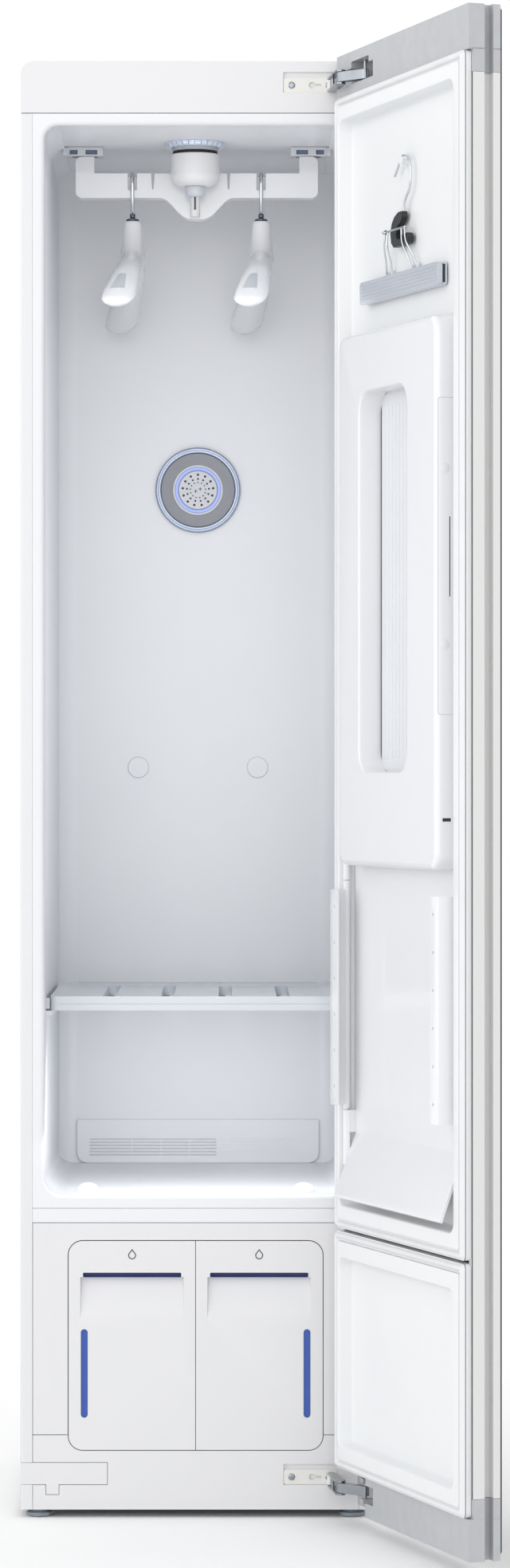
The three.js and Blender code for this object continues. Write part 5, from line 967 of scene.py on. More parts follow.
plate_profile = [
    (40, NOZZLE_WALL + 10), (40, NOZZLE_WALL - 1), (50.6, NOZZLE_WALL - 1), (50.6, NOZZLE_FRONT + 0.4),
    (50.2, NOZZLE_FRONT), (PALE_RING[1] + 0.3, NOZZLE_FRONT + 0.6), (PALE_RING[1] + 0.1, NOZZLE_FRONT + 1.2),
    (26, NOZZLE_FRONT + 1.6),
]
fit_piece(
    "nozzle_plate", lathe(plate_profile, (0, NOZZLE_Z), "y", NOZZLE_SIDES), "cabinet", GREY_ABS,
)
fit_piece(
    "nozzle_pale_ring", flat_ring(*PALE_RING, NOZZLE_FRONT - 0.1, NOZZLE_FRONT + 1.1, 0.3), "cabinet",
    PALE_ABS,
)
fit_piece(
    "nozzle_light_ring", flat_ring(*RING, NOZZLE_FRONT, NOZZLE_FRONT + 2.2, 0.5), "cabinet",
    BLUE_ACRYLIC,
)


disc = lathe(
    [(DISC_RADIUS, NOZZLE_FRONT + 2.4), (DISC_RADIUS, NOZZLE_FRONT + 0.5),
     (DISC_RADIUS - 0.6, NOZZLE_FRONT - 0.1),
     (DISC_RADIUS * 0.5, NOZZLE_FRONT - 0.3), (DISC_RADIUS * 0.05, NOZZLE_FRONT - 0.35)],
    (0, NOZZLE_Z), "y", NOZZLE_SIDES,
)
for reach, radius in zip(HOLES.places, HOLES.radii):
    hole = lathe(
        [(radius * DISC_RADIUS, NOZZLE_FRONT - OVER), (radius * DISC_RADIUS, NOZZLE_FRONT + HOLES.depth)],
        (0, reach * DISC_RADIUS), "y", 12,
    )
    ring = copies(hole, HOLES.lines, turn=(0, math.tau / HOLES.lines, 0))
    ring.transform(Matrix.Translation((0, 0, NOZZLE_Z)))
    disc = cut(disc, ring)
PLUS = sizes(spread=3.1, arm=2.3, half=0.45)
for side in (-1, 1):
    x, z = side * PLUS.spread, NOZZLE_Z + side * PLUS.spread * 0.5
    disc = cut(
        disc,
        block(*about(x, PLUS.arm), NOZZLE_FRONT - OVER, NOZZLE_FRONT + HOLES.depth, *about(z, PLUS.half)),
        block(*about(x, PLUS.half), NOZZLE_FRONT - OVER, NOZZLE_FRONT + HOLES.depth, *about(z, PLUS.arm)),
    )
fit_piece("nozzle_disc", disc, "cabinet", PALE_ABS)
# Dull, even black ABS for the black parts. The same black paints shade: a disc behind the perforations,
# and thin strips in the cover's slit and notch and beside the press pad.
BLACK_ABS_AND_SHADE = surface("black_abs_and_painted_shade", "#25272B", "#1F2124", 12, (0.4, 0.5), 0.8, 0.01)
# A black disc inside the perforated one paints the shade of the chamber behind the holes.
hole_shade_disc = lathe([(DISC_RADIUS - 1, NOZZLE_FRONT + 1.2), (DISC_RADIUS - 1, NOZZLE_FRONT + 1.9)],
                  (0, NOZZLE_Z), "y")
fit_piece("nozzle_dark_disc", hole_shade_disc, "cabinet", BLACK_ABS_AND_SHADE)

# Vent cover. A moulded plate at the foot of the back wall with four columns of louvres on its
# left half and shallow matching ribs on its right half, clipped over the air outlet.
VENT = sizes(half=166, bottom=410.3, top=469.3, front=474.7, back=479.7, radius=14)
# left edge and width of each column of louvres; the last three columns are only ribs
LOUVRES = ((-149, 57), (-89.8, 37.6), (-50, 37), (-10.7, 36), (27.5, 36), (65.7, 36), (104, 36))
LOUVRE = sizes(cut=4, rows=6, pitch=4.3, bottom=420, height=1.9, depth=3.2, rib_depth=0.5)
vent = prism(
    rounded(-VENT.half, VENT.half, VENT.bottom, VENT.top, (VENT.radius, 3, 3, VENT.radius)),
    "y", VENT.front, VENT.back,
)
for number, (left, width) in enumerate(LOUVRES):
    depth = LOUVRE.depth if number < LOUVRE.cut else LOUVRE.rib_depth
    groove = prism(
        rounded(left, left + width, LOUVRE.bottom, LOUVRE.bottom + LOUVRE.height, 0.8, 3), "y",
        VENT.front - OVER, VENT.front + depth,
    )
    vent = cut(vent, copies(groove, LOUVRE.rows, (0, 0, LOUVRE.pitch)))
fit_piece("vent_cover", vent, "cabinet", COOL_ABS, edge=0.5)

# Shelf. A shallow injection-moulded tray with four slots that the steam rises through; it rests
# on the ledges and has a rolled front rim and sloping side rims, in slightly translucent white.
SHELF = sizes(
    half=187.5, front=60, back=460, bottom=641, top=659, floor=655, thick=3,
    rim=22, front_rim=8, corner=23.5,
)
SLOT = sizes(width=17.4, spacing=75.4, front=96, back=430, count=4, collar=2.2)
# Injection-moulded styrene: bright white, a little translucent and glossier than the walls.
WHITE_STYRENE = surface(
    "moulded_white_styrene", "#D5D9DF", "#D0D4DB", 160, (0.16, 0.24), 1.2, 0.003,
    {"Coat Weight": 0.3, "Coat Roughness": 0.08},
)


def shelf_outline(inset, front_inset, radius):
    half = SHELF.half - inset
    return rounded(
        -half, half, SHELF.front + front_inset, SHELF.back - inset,
        (max(8 - front_inset, 1), radius, radius, max(8 - front_inset, 1)),
    )


tray = prism(shelf_outline(0, 0, SHELF.corner), "z", SHELF.bottom, SHELF.top)
dish = loft([
    [(a, b, SHELF.floor) for a, b in shelf_outline(SHELF.rim, SHELF.front_rim, 14)],
    [(a, b, SHELF.floor + 1.5) for a, b in shelf_outline(9, 5.4, 16)],
    [(a, b, SHELF.top + FIT) for a, b in shelf_outline(MOULDING, 3.4, 21)],
])
underside = prism(
    shelf_outline(MOULDING, MOULDING, SHELF.corner - MOULDING), "z", SHELF.bottom - OVER,
    SHELF.floor - SHELF.thick,
)
front_groove = block(-SHELF.half + 12, SHELF.half - 12, SHELF.front - OVER, SHELF.front + 0.7, 648.6, 650.0)
slot_left = -(SLOT.count - 1) / 2 * SLOT.spacing - SLOT.width / 2


def shelf_slots(grow, bottom, top):
    """All four slots as one form, or the collars round them when grown."""
    unit = prism(
        rounded(
            slot_left - grow, slot_left + SLOT.width + grow, SLOT.front - grow, SLOT.back + grow,
            SLOT.width / 2 + grow - WELD,
        ),
        "z", bottom, top,
    )
    return copies(unit, SLOT.count, (SLOT.spacing, 0, 0))


collars = shelf_slots(SLOT.collar, SHELF.bottom + FIT, SHELF.floor - WELD * 100)
tray = cut(join(cut(tray, dish, underside, front_groove), collars),
           shelf_slots(0, SHELF.bottom - OVER, SHELF.top + OVER))
fit_piece("shelf", tray, "shelf", WHITE_STYRENE, edge=0.7, bevel_steps=3)
# Grey stops on the walls beside the shelf's front corners.
STOP = sizes(front=59, back=68, bottom=643, top=657)
for side in (-1, 1):
    stop_sides = sorted((side * (OPENING_HALF + FIT), side * (SHELF.half + FIT)))
    stop = block(*stop_sides, STOP.front, STOP.back, STOP.bottom, STOP.top)
    stop_side = "left" if side < 0 else "right"
    fit_piece(f"shelf_stop_{stop_side}", stop, "cabinet", PALE_ABS, edge=0.6)

# Ceiling lamp. A clear moulded ring with small facets round the drive, lit from inside; snaps
# into the ceiling.
LAMP_SEAT = 1771.7
LAMP_SIDES = 60
# Moulded clear polycarbonate: small patches from bluish grey to white paint the sparkle of its cut
# facets; the faint glow is the lamp's own light.
CLEAR_LENS = surface(
    "clear_polycarbonate_lens", "#F2F7FF", "#8296B4", 2.2, (0.04, 0.12), 2.0, 0.05,
    {"Metallic": 0.35, "Coat Weight": 0.8, "Emission Color": linear("#DCE6F6"), "Emission Strength": 0.08},
)
LAMP = sizes(inner=31.2, outer=40.5, bottom=1764.8)
lamp = lathe(
    [(LAMP.inner, LAMP_SEAT), (LAMP.inner, LAMP.bottom + 0.6), (LAMP.inner + 0.4, LAMP.bottom + 0.2),
     (LAMP.outer - 4.1, LAMP.bottom), (LAMP.outer - 2.9, LAMP.bottom + 0.5),
     (LAMP.outer - 0.9, LAMP.bottom + 2.4), (LAMP.outer, LAMP.bottom + 4), (LAMP.outer, LAMP_SEAT),
     (LAMP.inner, LAMP_SEAT)],
    DRIVE, "z", LAMP_SIDES,
)
FACET = sizes(half=0.45, outer=42, inner=35.2, bottom=1764, top=1770.4)
FACETS = 30
facet = block(-FACET.half, FACET.half, -FACET.outer, -FACET.inner, FACET.bottom, FACET.top)
for number in range(FACETS):
    one = facet.copy()
    turned = Matrix.Rotation(math.tau * number / FACETS, 4, "Z")
    one.transform(Matrix.Translation((DRIVE[0], DRIVE[1], 0)) @ turned)
    lamp = cut(lamp, one)
fit_piece("ceiling_lamp", lamp, "cabinet", CLEAR_LENS)

# Drive housing. A grey neck with a ribbed black seal, a white rounded drum below it, a milky stub
# and the pale pin that shakes the hanger, with a dark blade in its slot; the motor sits above.
# Milky nylon: light grey and satin, under a soft waxy coat.
MILKY_NYLON = surface(
    "milky_nylon", "#C6CAD1", "#BCC1C9", 14, (0.25, 0.35), 0.8, 0.004, {"Coat Weight": 0.3},
)
# Light grey ABS: even and satin, a shade darker than the chamber.
LIGHT_GREY_ABS = surface("moulded_light_grey_abs", "#B9BDC3", "#B0B5BC", 18, (0.3, 0.4), 0.6, 0.005)
MOTOR = sizes(radius=45, top=1804.8, bottom=1774.8)
NECK = sizes(radius=30, low=1761.6, throat=28.6, bottom=1757)
motor_and_neck = lathe(
    [(0, MOTOR.top), (MOTOR.radius - 1, MOTOR.top), (MOTOR.radius, MOTOR.top - 1),
     (MOTOR.radius, MOTOR.bottom + 1), (MOTOR.radius - 1, MOTOR.bottom), (NECK.radius, MOTOR.bottom),
     (NECK.radius, NECK.low), (NECK.throat, NECK.low - 0.6), (NECK.throat, NECK.bottom), (0, NECK.bottom)],
    DRIVE, "z", 72,
)
seal_profile = [
    (28.2, 1761), (29.3, 1760.6), (29.3, 1759.9), (28.8, 1759.6), (29.6, 1759.2), (29.6, 1758.3), (29, 1758),
    (30, 1757.6), (30, 1756.9), (28.2, 1756.9), (28.2, 1761),
]
fit_piece("drive_seal", lathe(seal_profile, DRIVE, "z", 72), "cabinet", BLACK_ABS_AND_SHADE)
fit_piece("drive_motor_neck", motor_and_neck, "cabinet", LIGHT_GREY_ABS)
DRUM = sizes(radius=32.1, top=1756.6, bottom=1715, round=(17.5, 16))
round_x, round_z = DRUM.round
drum_profile = [
    (0, DRUM.top), (DRUM.radius - 0.8, DRUM.top), (DRUM.radius, DRUM.top - 0.8),
    *arc(DRUM.radius - round_x, DRUM.bottom + round_z, (round_x, -round_z), 0, 90, 10),
    (0, DRUM.bottom),
]
fit_piece(
    "drive_drum", lathe(drum_profile, DRIVE, "z", 72), "cabinet", WHITE_ABS,
    "drive_housing",
)
STUB = sizes(
    radius=13.2, top=1714.7, shoulder=1706, bottom=1701.2, slit_reach=14, slit_half=0.5, slit_bottom=1700,
    slit_top=1703,
)
stub = cut(
    lathe(
        [(0, STUB.top), (STUB.radius - 0.4, STUB.top), (STUB.radius, STUB.top - 0.7),
         (STUB.radius, STUB.shoulder), (STUB.radius - 0.8, STUB.shoulder - 1.8),
         (STUB.radius - 3.8, STUB.bottom + 0.4),
         (STUB.radius - 4.6, STUB.bottom), (0, STUB.bottom)],
        DRIVE, "z", 48,
    ),
    block(*about(DRIVE[0], STUB.slit_reach), *about(DRIVE[1], STUB.slit_half), STUB.slit_bottom,
          STUB.slit_top),
)
fit_piece("drive_stub", stub, "cabinet", MILKY_NYLON)
PIN = sizes(radius=6.6, top=1701, bottom=1675.4, slot=1.5, slot_bottom=1684, slot_depth=3)
pin_profile = [
    (0, PIN.top), (PIN.radius, PIN.top), (PIN.radius, PIN.bottom + 0.8),
    (PIN.radius - 0.8, PIN.bottom), (0, PIN.bottom),
]
pin_front = DRIVE[1] - PIN.radius
pin = cut(
    lathe(pin_profile, DRIVE, "z", 32),
    block(*about(DRIVE[0], PIN.slot), pin_front - OVER, pin_front + PIN.slot_depth,
          PIN.slot_bottom, PIN.top + OVER),
)
# Natural nylon: off-white and waxy, with soft reflections.
PALE_NYLON = surface("moulded_pale_nylon", "#D6D6D5", "#CCCDCC", 10, (0.25, 0.35), 0.8, 0.004,
                     {"Coat Weight": 0.2})
fit_piece("drive_pin", pin, "cabinet", PALE_NYLON)
blade = block(*about(DRIVE[0], PIN.slot / 2), pin_front + PIN.slot_depth / 3,
              pin_front + PIN.slot_depth, PIN.slot_bottom + 1, PIN.top)
fit_piece("drive_blade", blade, "cabinet", BLACK_ABS_AND_SHADE)

# Hanger rails. Two hollow pale mouldings under the ceiling; the bar's T-heads run in their slots.
# Two windows in the front of each show a blue-grey lining darkened to paint the shade inside the rail, and a
# pale cap shuts the end.
RAIL = sizes(inner=124, outer=170.5, front=225, back=255, bottom=1759.8, top=1771.7, wall=2.2)
RAIL_SLOT = sizes(centre=147.5, half=16.5, depth=14)
RAIL_WINDOWS = ((-168, -157.5), (-147, -131.5))
RAIL_WINDOW_LEVELS = (1761.6, 1767.6)
BAR_Y = 240
CAP = sizes(outer=176.5, wall=1.4)
# Blue-grey polypropylene, dull and even, darkened to paint the shade deep in the rails' windows.
BLUE_GREY_AND_SHADE = surface("blue_grey_polypropylene_and_shade", "#6F7C93", "#63708A", 12, (0.35, 0.45), 0.8, 0.006)
for name, turn_over in (("hanger_rail_left", as_it_is), ("hanger_rail_right", mirrored)):
    low, high, wall = RAIL.bottom, RAIL.top, RAIL.wall
    rail = cut(
        prism(rounded(RAIL.front, RAIL.back, low, high, (1.5, 1.5, 1, 1), 4), "x", -RAIL.outer,
              -RAIL.inner),
        block(-RAIL.outer + wall, -RAIL.inner - wall, RAIL.front + wall, RAIL.back - wall,
              low + wall, high - wall),
        block(-RAIL_SLOT.centre - RAIL_SLOT.half, -RAIL_SLOT.centre + RAIL_SLOT.half,
              *about(BAR_Y, RAIL_SLOT.depth / 2), low - OVER, low + wall + OVER),
        *[block(left, right, RAIL.front - OVER, RAIL.front + wall + OVER, *RAIL_WINDOW_LEVELS)
          for left, right in RAIL_WINDOWS],
    )
    fit_piece(name, turn_over(rail), "cabinet", PALE_ABS, edge=0.35)
    # A blue-grey lining behind the windows paints the shade inside the hollow rail.
    lining = block(
        -RAIL.outer + wall + WELD, -RAIL.inner - wall - WELD, RAIL.front + wall + 1, RAIL.front + wall + 2,
        low + wall + WELD, high - wall - WELD,
    )
    fit_piece(f"{name}_lining", turn_over(lining), "cabinet", BLUE_GREY_AND_SHADE)
    cap = cut(
        prism(rounded(RAIL.front + 0.6, RAIL.back - 0.6, low + 0.6, high, 2.4, 4), "x", -CAP.outer,
              -RAIL.outer - WELD * 10),
        prism(rounded(RAIL.front + 2, RAIL.back - 2, low + 2, high - 1.4, 1.4, 4), "x",
              -CAP.outer + CAP.wall, -RAIL.outer + OVER),
    )
    fit_piece(f"{name}_cap", turn_over(cap), "cabinet", PALE_ABS, edge=0.3)

# Moving hanger. One glossy white moulding: a bar on two posts whose T-heads run in the rails,
# a shallow bulge over the drive pin, two saddles for the hooks and two tapered slits between.
BAR = sizes(
    half=160, front=228, back=252, bottom=1704.6, top=1737, post=1759.2, inner=135.5,
    corner=8, bulge=1676.4,
)
SADDLE = sizes(x=85, half=6, web=6, z=1723.3, radius=11.7, floor=1715)
SLIT = sizes(middle=-8, apart=50, half=2.6, tip=0.9, bottom=1716)


def bar_outline():
    """Front view: posts at the ends, a flat top between, a soft bulge under the middle."""
    half, inner, corner = BAR.half, BAR.inner, BAR.corner
    points = arc(-half + corner, BAR.bottom + corner, corner, 180, 90, 8)
    for step in range(17):
        t = step / 16
        weights = ((1 - t) ** 3, 3 * (1 - t) ** 2 * t, 3 * (1 - t) * t * t, t ** 3)
        xs, zs = (-50, -32, -27, -5), (BAR.bottom, BAR.bottom, BAR.bulge, BAR.bulge)
        points.append((sum(w * x for w, x in zip(weights, xs)), sum(w * z for w, z in zip(weights, zs))))
    right = [(-x, z) for x, z in reversed(points)]
    top = arc(half - corner, BAR.post - corner, corner, 0, 90, 6)
    top += [(inner, BAR.post), (inner, BAR.top + 1), (inner - 1, BAR.top)]
    return points + right + top + [(-x, z) for x, z in reversed(top)]


bar = prism(bar_outline(), "y", BAR.front, BAR.back)
front_of_web = BAR_Y - SADDLE.web
back_of_web = BAR_Y + SADDLE.web
for side in (-1, 1):
    x = side * SADDLE.x
    bar = cut(
        bar,
        block(*about(x, SADDLE.half), BAR.front - OVER, front_of_web, SADDLE.floor, BAR.top + OVER),
        block(*about(x, SADDLE.half), back_of_web, BAR.back + OVER, SADDLE.floor, BAR.top + OVER),
    )
    crown = arc(BAR_Y, SADDLE.z, SADDLE.radius, 30, 120, 12)
    crown += [(BAR_Y - 14, crown[-1][1]), (BAR_Y - 14, BAR.top + OVER), (BAR_Y + 14, BAR.top + OVER),
              (BAR_Y + 14, crown[0][1])]
    bar = cut(bar, prism(crown, "x", *about(x, SADDLE.half)))
    slit_x = SLIT.middle + side * SLIT.apart
    bar = cut(bar, prism(
        [(slit_x - SLIT.half, BAR.top + OVER), (slit_x - SLIT.tip, SLIT.bottom),
         (slit_x + SLIT.tip, SLIT.bottom), (slit_x + SLIT.half, BAR.top + OVER)],
        "y", BAR.front - OVER, BAR.back + OVER,
    ))
HEAD_NECK = sizes(half_x=4, half_y=5, radius=3, top=1763.4)
HEAD_FOOT = sizes(half_x=6.5, half_y=9, radius=5, bottom=1762.8, top=1766)


def head_part(x, part, bottom):
    outline = rounded(*about(x, part.half_x), *about(BAR_Y, part.half_y), part.radius)
    return prism(outline, "z", bottom, part.top)


heads = []
for side in (-1, 1):
    x = side * RAIL_SLOT.centre
    heads.append(join(head_part(x, HEAD_NECK, BAR.post - FIT), head_part(x, HEAD_FOOT, HEAD_FOOT.bottom)))
# Glossy ABS: white, with small sharp highlights.
GLOSS_ABS = surface(
    "gloss_white_abs", "#DDDEE1", "#D9DADD", 120, (0.12, 0.18), 1.4, 0.003,
    {"Coat Weight": 0.5, "Coat Roughness": 0.06},
)
fit_piece(
    "moving_hanger", join(bar, *heads), "moving_hanger", GLOSS_ABS,
    edge=1.2, bevel_steps=3,
)

# Hanger hooks. Bent polished steel wire, hung over the saddles; each ends in a pressed ferrule
# above the hanger's neck.
WIRE = 2.6
HOOK_RADIUS = 14.3
# Polished stainless wire: mirror-bright with fine drawing marks.
CHROME_WIRE = surface(
    "polished_stainless_wire", "#D8DADD", "#C8CBD0", 8, (0.08, 0.14), 0.4, 0.001, {"Metallic": 1.0},
)
# The ferrule is plated steel in a darker grey than the wire.
DARK_PLATE = surface("dark_plated_steel", "#6A6E75", "#4A4D53", 4, (0.12, 0.2), 0.4, 0.002, {"Metallic": 0.9})
FERRULE = (
    (0, 1684.6), (3.1, 1684.6), (3.6, 1684), (3.6, 1680.4), (3.2, 1679.8), (4, 1678.6), (7.8, 1677.6),
    (8.6, 1676.9),
    (8.6, 1676), (7.6, 1675.4), (0, 1675.4),
)


def tube(path, radius, sides=16):
    """A closed wire of even thickness through the points, with a rounded tip at each end."""
    points = [Vector(point) for point in path]
    rings = []
    normal = None
    for number, point in enumerate(points):
        before = points[max(number - 1, 0)]
        after = points[min(number + 1, len(points) - 1)]
        along = (after - before).normalized()
        if normal is None:
            normal = along.orthogonal().normalized()
        normal = (normal - along * normal.dot(along)).normalized()
        across = along.cross(normal)
        scales = [(0, 1)]
        if number == 0:
            scales = [(-0.9, 0.35), (-0.6, 0.75), (0, 1)]
        elif number == len(points) - 1:
            scales = [(0, 1), (0.6, 0.75), (0.9, 0.35)]
        for shift, share in scales:
            centre = point + along * shift * radius
            rings.append([
                centre + (normal * math.cos(math.tau * k / sides) + across * math.sin(math.tau * k / sides))
                * radius * share
                for k in range(sides)
            ])
    return loft(rings)


def smooth_path(points, steps):
    """Catmull-Rom curve through the points."""
    points = [Vector(point) for point in points]
    ends = [2 * points[0] - points[1]] + points + [2 * points[-1] - points[-2]]
    path = []
    for number in range(1, len(ends) - 2):
        a, b, c, d = ends[number - 1:number + 3]
        for step in range(steps):
            t = step / steps
            path.append(0.5 * (
                2 * b + (c - a) * t + (2 * a - 5 * b + 4 * c - d) * t * t + (3 * b - a - 3 * c + d) * t ** 3
            ))
    return path + [points[-1]]


for name, side in (("left", -1), ("right", 1)):
    x = side * SADDLE.x
    path = [(x, y, z) for y, z in arc(BAR_Y, SADDLE.z, HOOK_RADIUS, -20, 220, 16)]
    for drop, share in ((36, 0.85), (45, 0.45), (53, 0), (57, 0)):
        path.append((x, BAR_Y - HOOK_RADIUS * share, SADDLE.z + HOOK_RADIUS - drop))
    hook = tube(smooth_path(path[::-1], 3)[::-1], WIRE)
    fit_piece(f"hanger_hook_{name}", hook, f"hanger_{name}", CHROME_WIRE)
    fit_piece(
        f"hanger_ferrule_{name}", lathe(FERRULE, (x, BAR_Y), "z", 32), f"hanger_{name}", DARK_PLATE,
    )

# Hanger bodies. Contoured coat hangers blow-moulded from white plastic, seen end-on: broad
# rounded shoulders that droop and sweep forward to their tips, with a short neck for the hook.
SHOULDER = sizes(half=195, width=(31, 46), height=(36, 20), top=1636, low=1555.5, sweep={-1: 18, 1: 23})
NECK_TOP = 1675


def hanger_section(x, share, end_scale):
    """One closed slice of the hanger: a rounded crown over a flatter, tucked-in underside."""
    reach = abs(share)
    width = (SHOULDER.width[0] + (SHOULDER.width[1] - SHOULDER.width[0]) * reach ** 1.5) * end_scale
    height = (SHOULDER.height[0] + (SHOULDER.height[1] - SHOULDER.height[0]) * reach) * end_scale
    fall = SHOULDER.top - SHOULDER.low
    crown = SHOULDER.top - fall * (0.25 * reach + 0.75 * reach * reach)
    centre_x = x - SHOULDER.sweep[-1 if share < 0 else 1] * reach * reach
    y = BAR_Y + share * SHOULDER.half
    points = []
    steps = 28
    for step in range(steps):
        turn = math.tau * step / steps
        across = math.cos(turn)
        up = math.sin(turn)
        lift = 0.5 * abs(up) ** 0.9 * (1 if up >= 0 else -1)
        tuck = 1 if up >= 0 else 1 - 0.28 * (-up)
        points.append((centre_x + width / 2 * across * tuck, y, crown - height / 2 + height * lift))
    return points


for name, side in (("left", -1), ("right", 1)):
    x = side * SADDLE.x
    rings = []
    for share, scale in (
        (-1.0, 0.30), (-0.995, 0.55), (-0.975, 0.78), (-0.94, 0.92), (-0.88, 1), (-0.75, 1), (-0.6, 1),
        (-0.45, 1),
        (-0.3, 1), (-0.15, 1), (0, 1), (0.15, 1), (0.3, 1), (0.45, 1), (0.6, 1), (0.75, 1), (0.88, 1),
        (0.94, 0.92),
        (0.975, 0.78), (0.995, 0.55), (1.0, 0.30),
    ):
        rings.append(hanger_section(x, share, scale))
    shoulders = loft(rings)
    neck_rings = []
    for share in (0, 0.02, 0.06, 0.12, 0.2, 0.4, 0.6, 0.8, 1, 1.2, 1.4):
        z = NECK_TOP - share * (NECK_TOP - SHOULDER.top)
        half_x = 12 + 3.6 * share ** 1.6 - 3 * math.exp(-share / 0.03)
        half_y = half_x * (0.85 + 0.9 * share * share)
        neck_rings.append([
            (x + half_x * math.cos(math.tau * k / 32), BAR_Y + half_y * math.sin(math.tau * k / 32),
             z) for k in range(32)
        ])
    body_mesh = join(shoulders, loft(neck_rings))
    fit_piece(f"hanger_body_{name}", body_mesh, f"hanger_{name}", GLOSS_ABS)
    # A soft grey grip pad lies on the crown near each tip, so that clothes don't slip.
    pad_rings = []
    for share, half in ((-0.905, 8.2), (-0.89, 9), (-0.81, 7.2), (-0.73, 5.2), (-0.715, 4.4)):
        ring = []
        full = hanger_section(x, share, 1)
        centre_x = x - 1.5 - SHOULDER.sweep[-1] * share * share
        crown = max(point[2] for point in full)
        y = full[0][1]
        pad_outline = (
            (-half, -3), (half, -3), (half, 0.2), (half * 0.7, 0.9), (-half * 0.7, 0.9), (-half, 0.2),
        )
        for across, rise in pad_outline:
            ring.append((centre_x + across, y, crown + rise - 1.0 * (across / 14) ** 2))
        pad_rings.append(ring)
    fit_piece(f"hanger_pad_{name}", loft(pad_rings), f"hanger_{name}", LIGHT_GREY_ABS)

# Machine compartment. Compressor, steam generator, coil and blower stand behind the tanks; they
# stay as the part's own shapes and take their materials here.
# Deep black enamel on the compressor's welded steel can, faintly orange-peeled.
BLACK_ENAMEL = surface("black_enamelled_steel", "#26282B", "#1E2022", 25, (0.3, 0.42), 1.4, 0.02,
                       {"Coat Weight": 0.3})
# Aluminium fins dull with a brushed bloom; brighter than the galvanised sheet round them.
BARE_ALUMINIUM = surface(
    "mill_finish_aluminium", "#C2C6CA", "#B2B6BB", 20, (0.3, 0.42), 0.6, 0.004, {"Metallic": 0.9}, (1, 1, 6),
)
MACHINE_NODES = {
    "compressor": BLACK_ENAMEL, "steam_generator": GREY_PP, "heat_exchanger": BARE_ALUMINIUM,
    "blower_housing": GREY_PP, "blower_impeller": BLACK_ABS_AND_SHADE,
}
for node, finish in MACHINE_NODES.items():
    frame["nodes"][node].data.materials.clear()
    frame["nodes"][node].data.materials.append(finish)

# Hinge plates. Pressed steel plates screwed to the cabinet's face at top and bottom right, with
# a keyhole, two cross-head screws, a lug and the pin that the arm turns on; pale grey-white paint.
ARM_PIN = (172, -6)
LINK_PIN = (212.76, -96.65)
PLATE = sizes(left=112, right=180, front=0.5, back=2.5, levels=((1810, 1829), (42, 61)))
ARM = sizes(levels=((1810, 1828), (40, 58)), plate=2.4, end=4.6, middle=6.5, web=13, length=64.7)
LINK = sizes(half=5, height=12.4, length=40.5)
# Pale grey-white powder coat, a trace warm and slightly textured.
IVORY_COAT = surface("ivory_powder_coat", "#E5E4E0", "#DDDCD6", 30, (0.3, 0.4), 1.0, 0.01)
# Nickel plate over cast steel: middle grey, with clean soft reflections.
NICKEL = surface("nickel_plated_steel", "#9FA4AA", "#8D9298", 16, (0.14, 0.24), 0.6, 0.004, {"Metallic": 1.0})
ARM_LOW = {"top": ARM.levels[0][0], "bottom": ARM.levels[1][0]}
ARM_PIN_RADIUS = 2.4
ARM_PIN_HEIGHT = 18
KEYHOLE = sizes(x=148, radius=4, slot_right=160, slot_half=1.6, depth=4)
LUG = sizes(radius=5, rise=3, height=12)
PLATE_SCREWS = sizes(x=(122, 169), radius=4.4, height=1.3)
for name, (low, high) in zip(("top", "bottom"), PLATE.levels):
    middle = (low + high) / 2
    plate = prism(rounded(PLATE.left, PLATE.right, low, high, 3), "y", PLATE.front, PLATE.back)
    keyhole = join(
        lathe([(KEYHOLE.radius, -OVER), (KEYHOLE.radius, KEYHOLE.depth)], (KEYHOLE.x, middle), "y", 24),
        prism(
            rounded(KEYHOLE.x, KEYHOLE.slot_right, *about(middle, KEYHOLE.slot_half), 1.5, 4),
            "y", -OVER, KEYHOLE.depth,
        ),
    )
    plate = cut(plate, keyhole)
    lug_low = ARM_LOW[name] + LUG.rise
    lug_top = lug_low + LUG.height
    lug = join(
        lathe([(LUG.radius, lug_low), (LUG.radius, lug_top)], ARM_PIN, "z", 32),
        block(*about(ARM_PIN[0], LUG.radius), ARM_PIN[1], PLATE.front + WELD * 10, lug_low, lug_top),
    )
    fit_piece(f"hinge_plate_{name}", join(plate, lug), "cabinet", IVORY_COAT, edge=0.4)
    for x in PLATE_SCREWS.x:
        screw = screw_head(x, middle, PLATE_SCREWS.radius, PLATE_SCREWS.height, PLATE.front + 0.1, -1)
        fit_piece(f"hinge_screw_{name}_{x}", screw, "cabinet", NICKEL)
    pin = lathe(
        [(0, ARM_LOW[name]), (ARM_PIN_RADIUS, ARM_LOW[name]),
         (ARM_PIN_RADIUS, ARM_LOW[name] + ARM_PIN_HEIGHT),
         (0, ARM_LOW[name] + ARM_PIN_HEIGHT)],
        ARM_PIN, "z", 24,
    )
    fit_piece(f"hinge_pin_{name}", pin, "cabinet", NICKEL)

# Hinge arms and links. A forked plated arm swings on the plate's pin and a short link runs from
# its fork to a pin in the door; cast steel, tumbled and nickel plated.
reach = math.dist(ARM_PIN, LINK_PIN)
along = (ARM.length ** 2 - LINK.length ** 2 + reach ** 2) / (2 * reach)
aside = math.sqrt(ARM.length ** 2 - along ** 2)
unit_x, unit_y = (LINK_PIN[0] - ARM_PIN[0]) / reach, (LINK_PIN[1] - ARM_PIN[1]) / reach
ELBOW = (ARM_PIN[0] + along * unit_x + aside * unit_y, ARM_PIN[1] + along * unit_y - aside * unit_x)


def bar_between(start, end, start_half, end_half, steps=12):
    """Plan of a bar with round ends between two points."""
    turn = math.atan2(end[1] - start[1], end[0] - start[0])
    points = []
    for centre, half, begin in ((start, start_half, 90), (end, end_half, -90)):
        for step in range(steps + 1):
            at = turn + math.radians(begin + 180 * step / steps)
            points.append((centre[0] + half * math.cos(at), centre[1] + half * math.sin(at)))
    return points


def toward(start, end, distance):
    span = math.dist(start, end)
    return tuple(a + (b - a) * distance / span for a, b in zip(start, end))


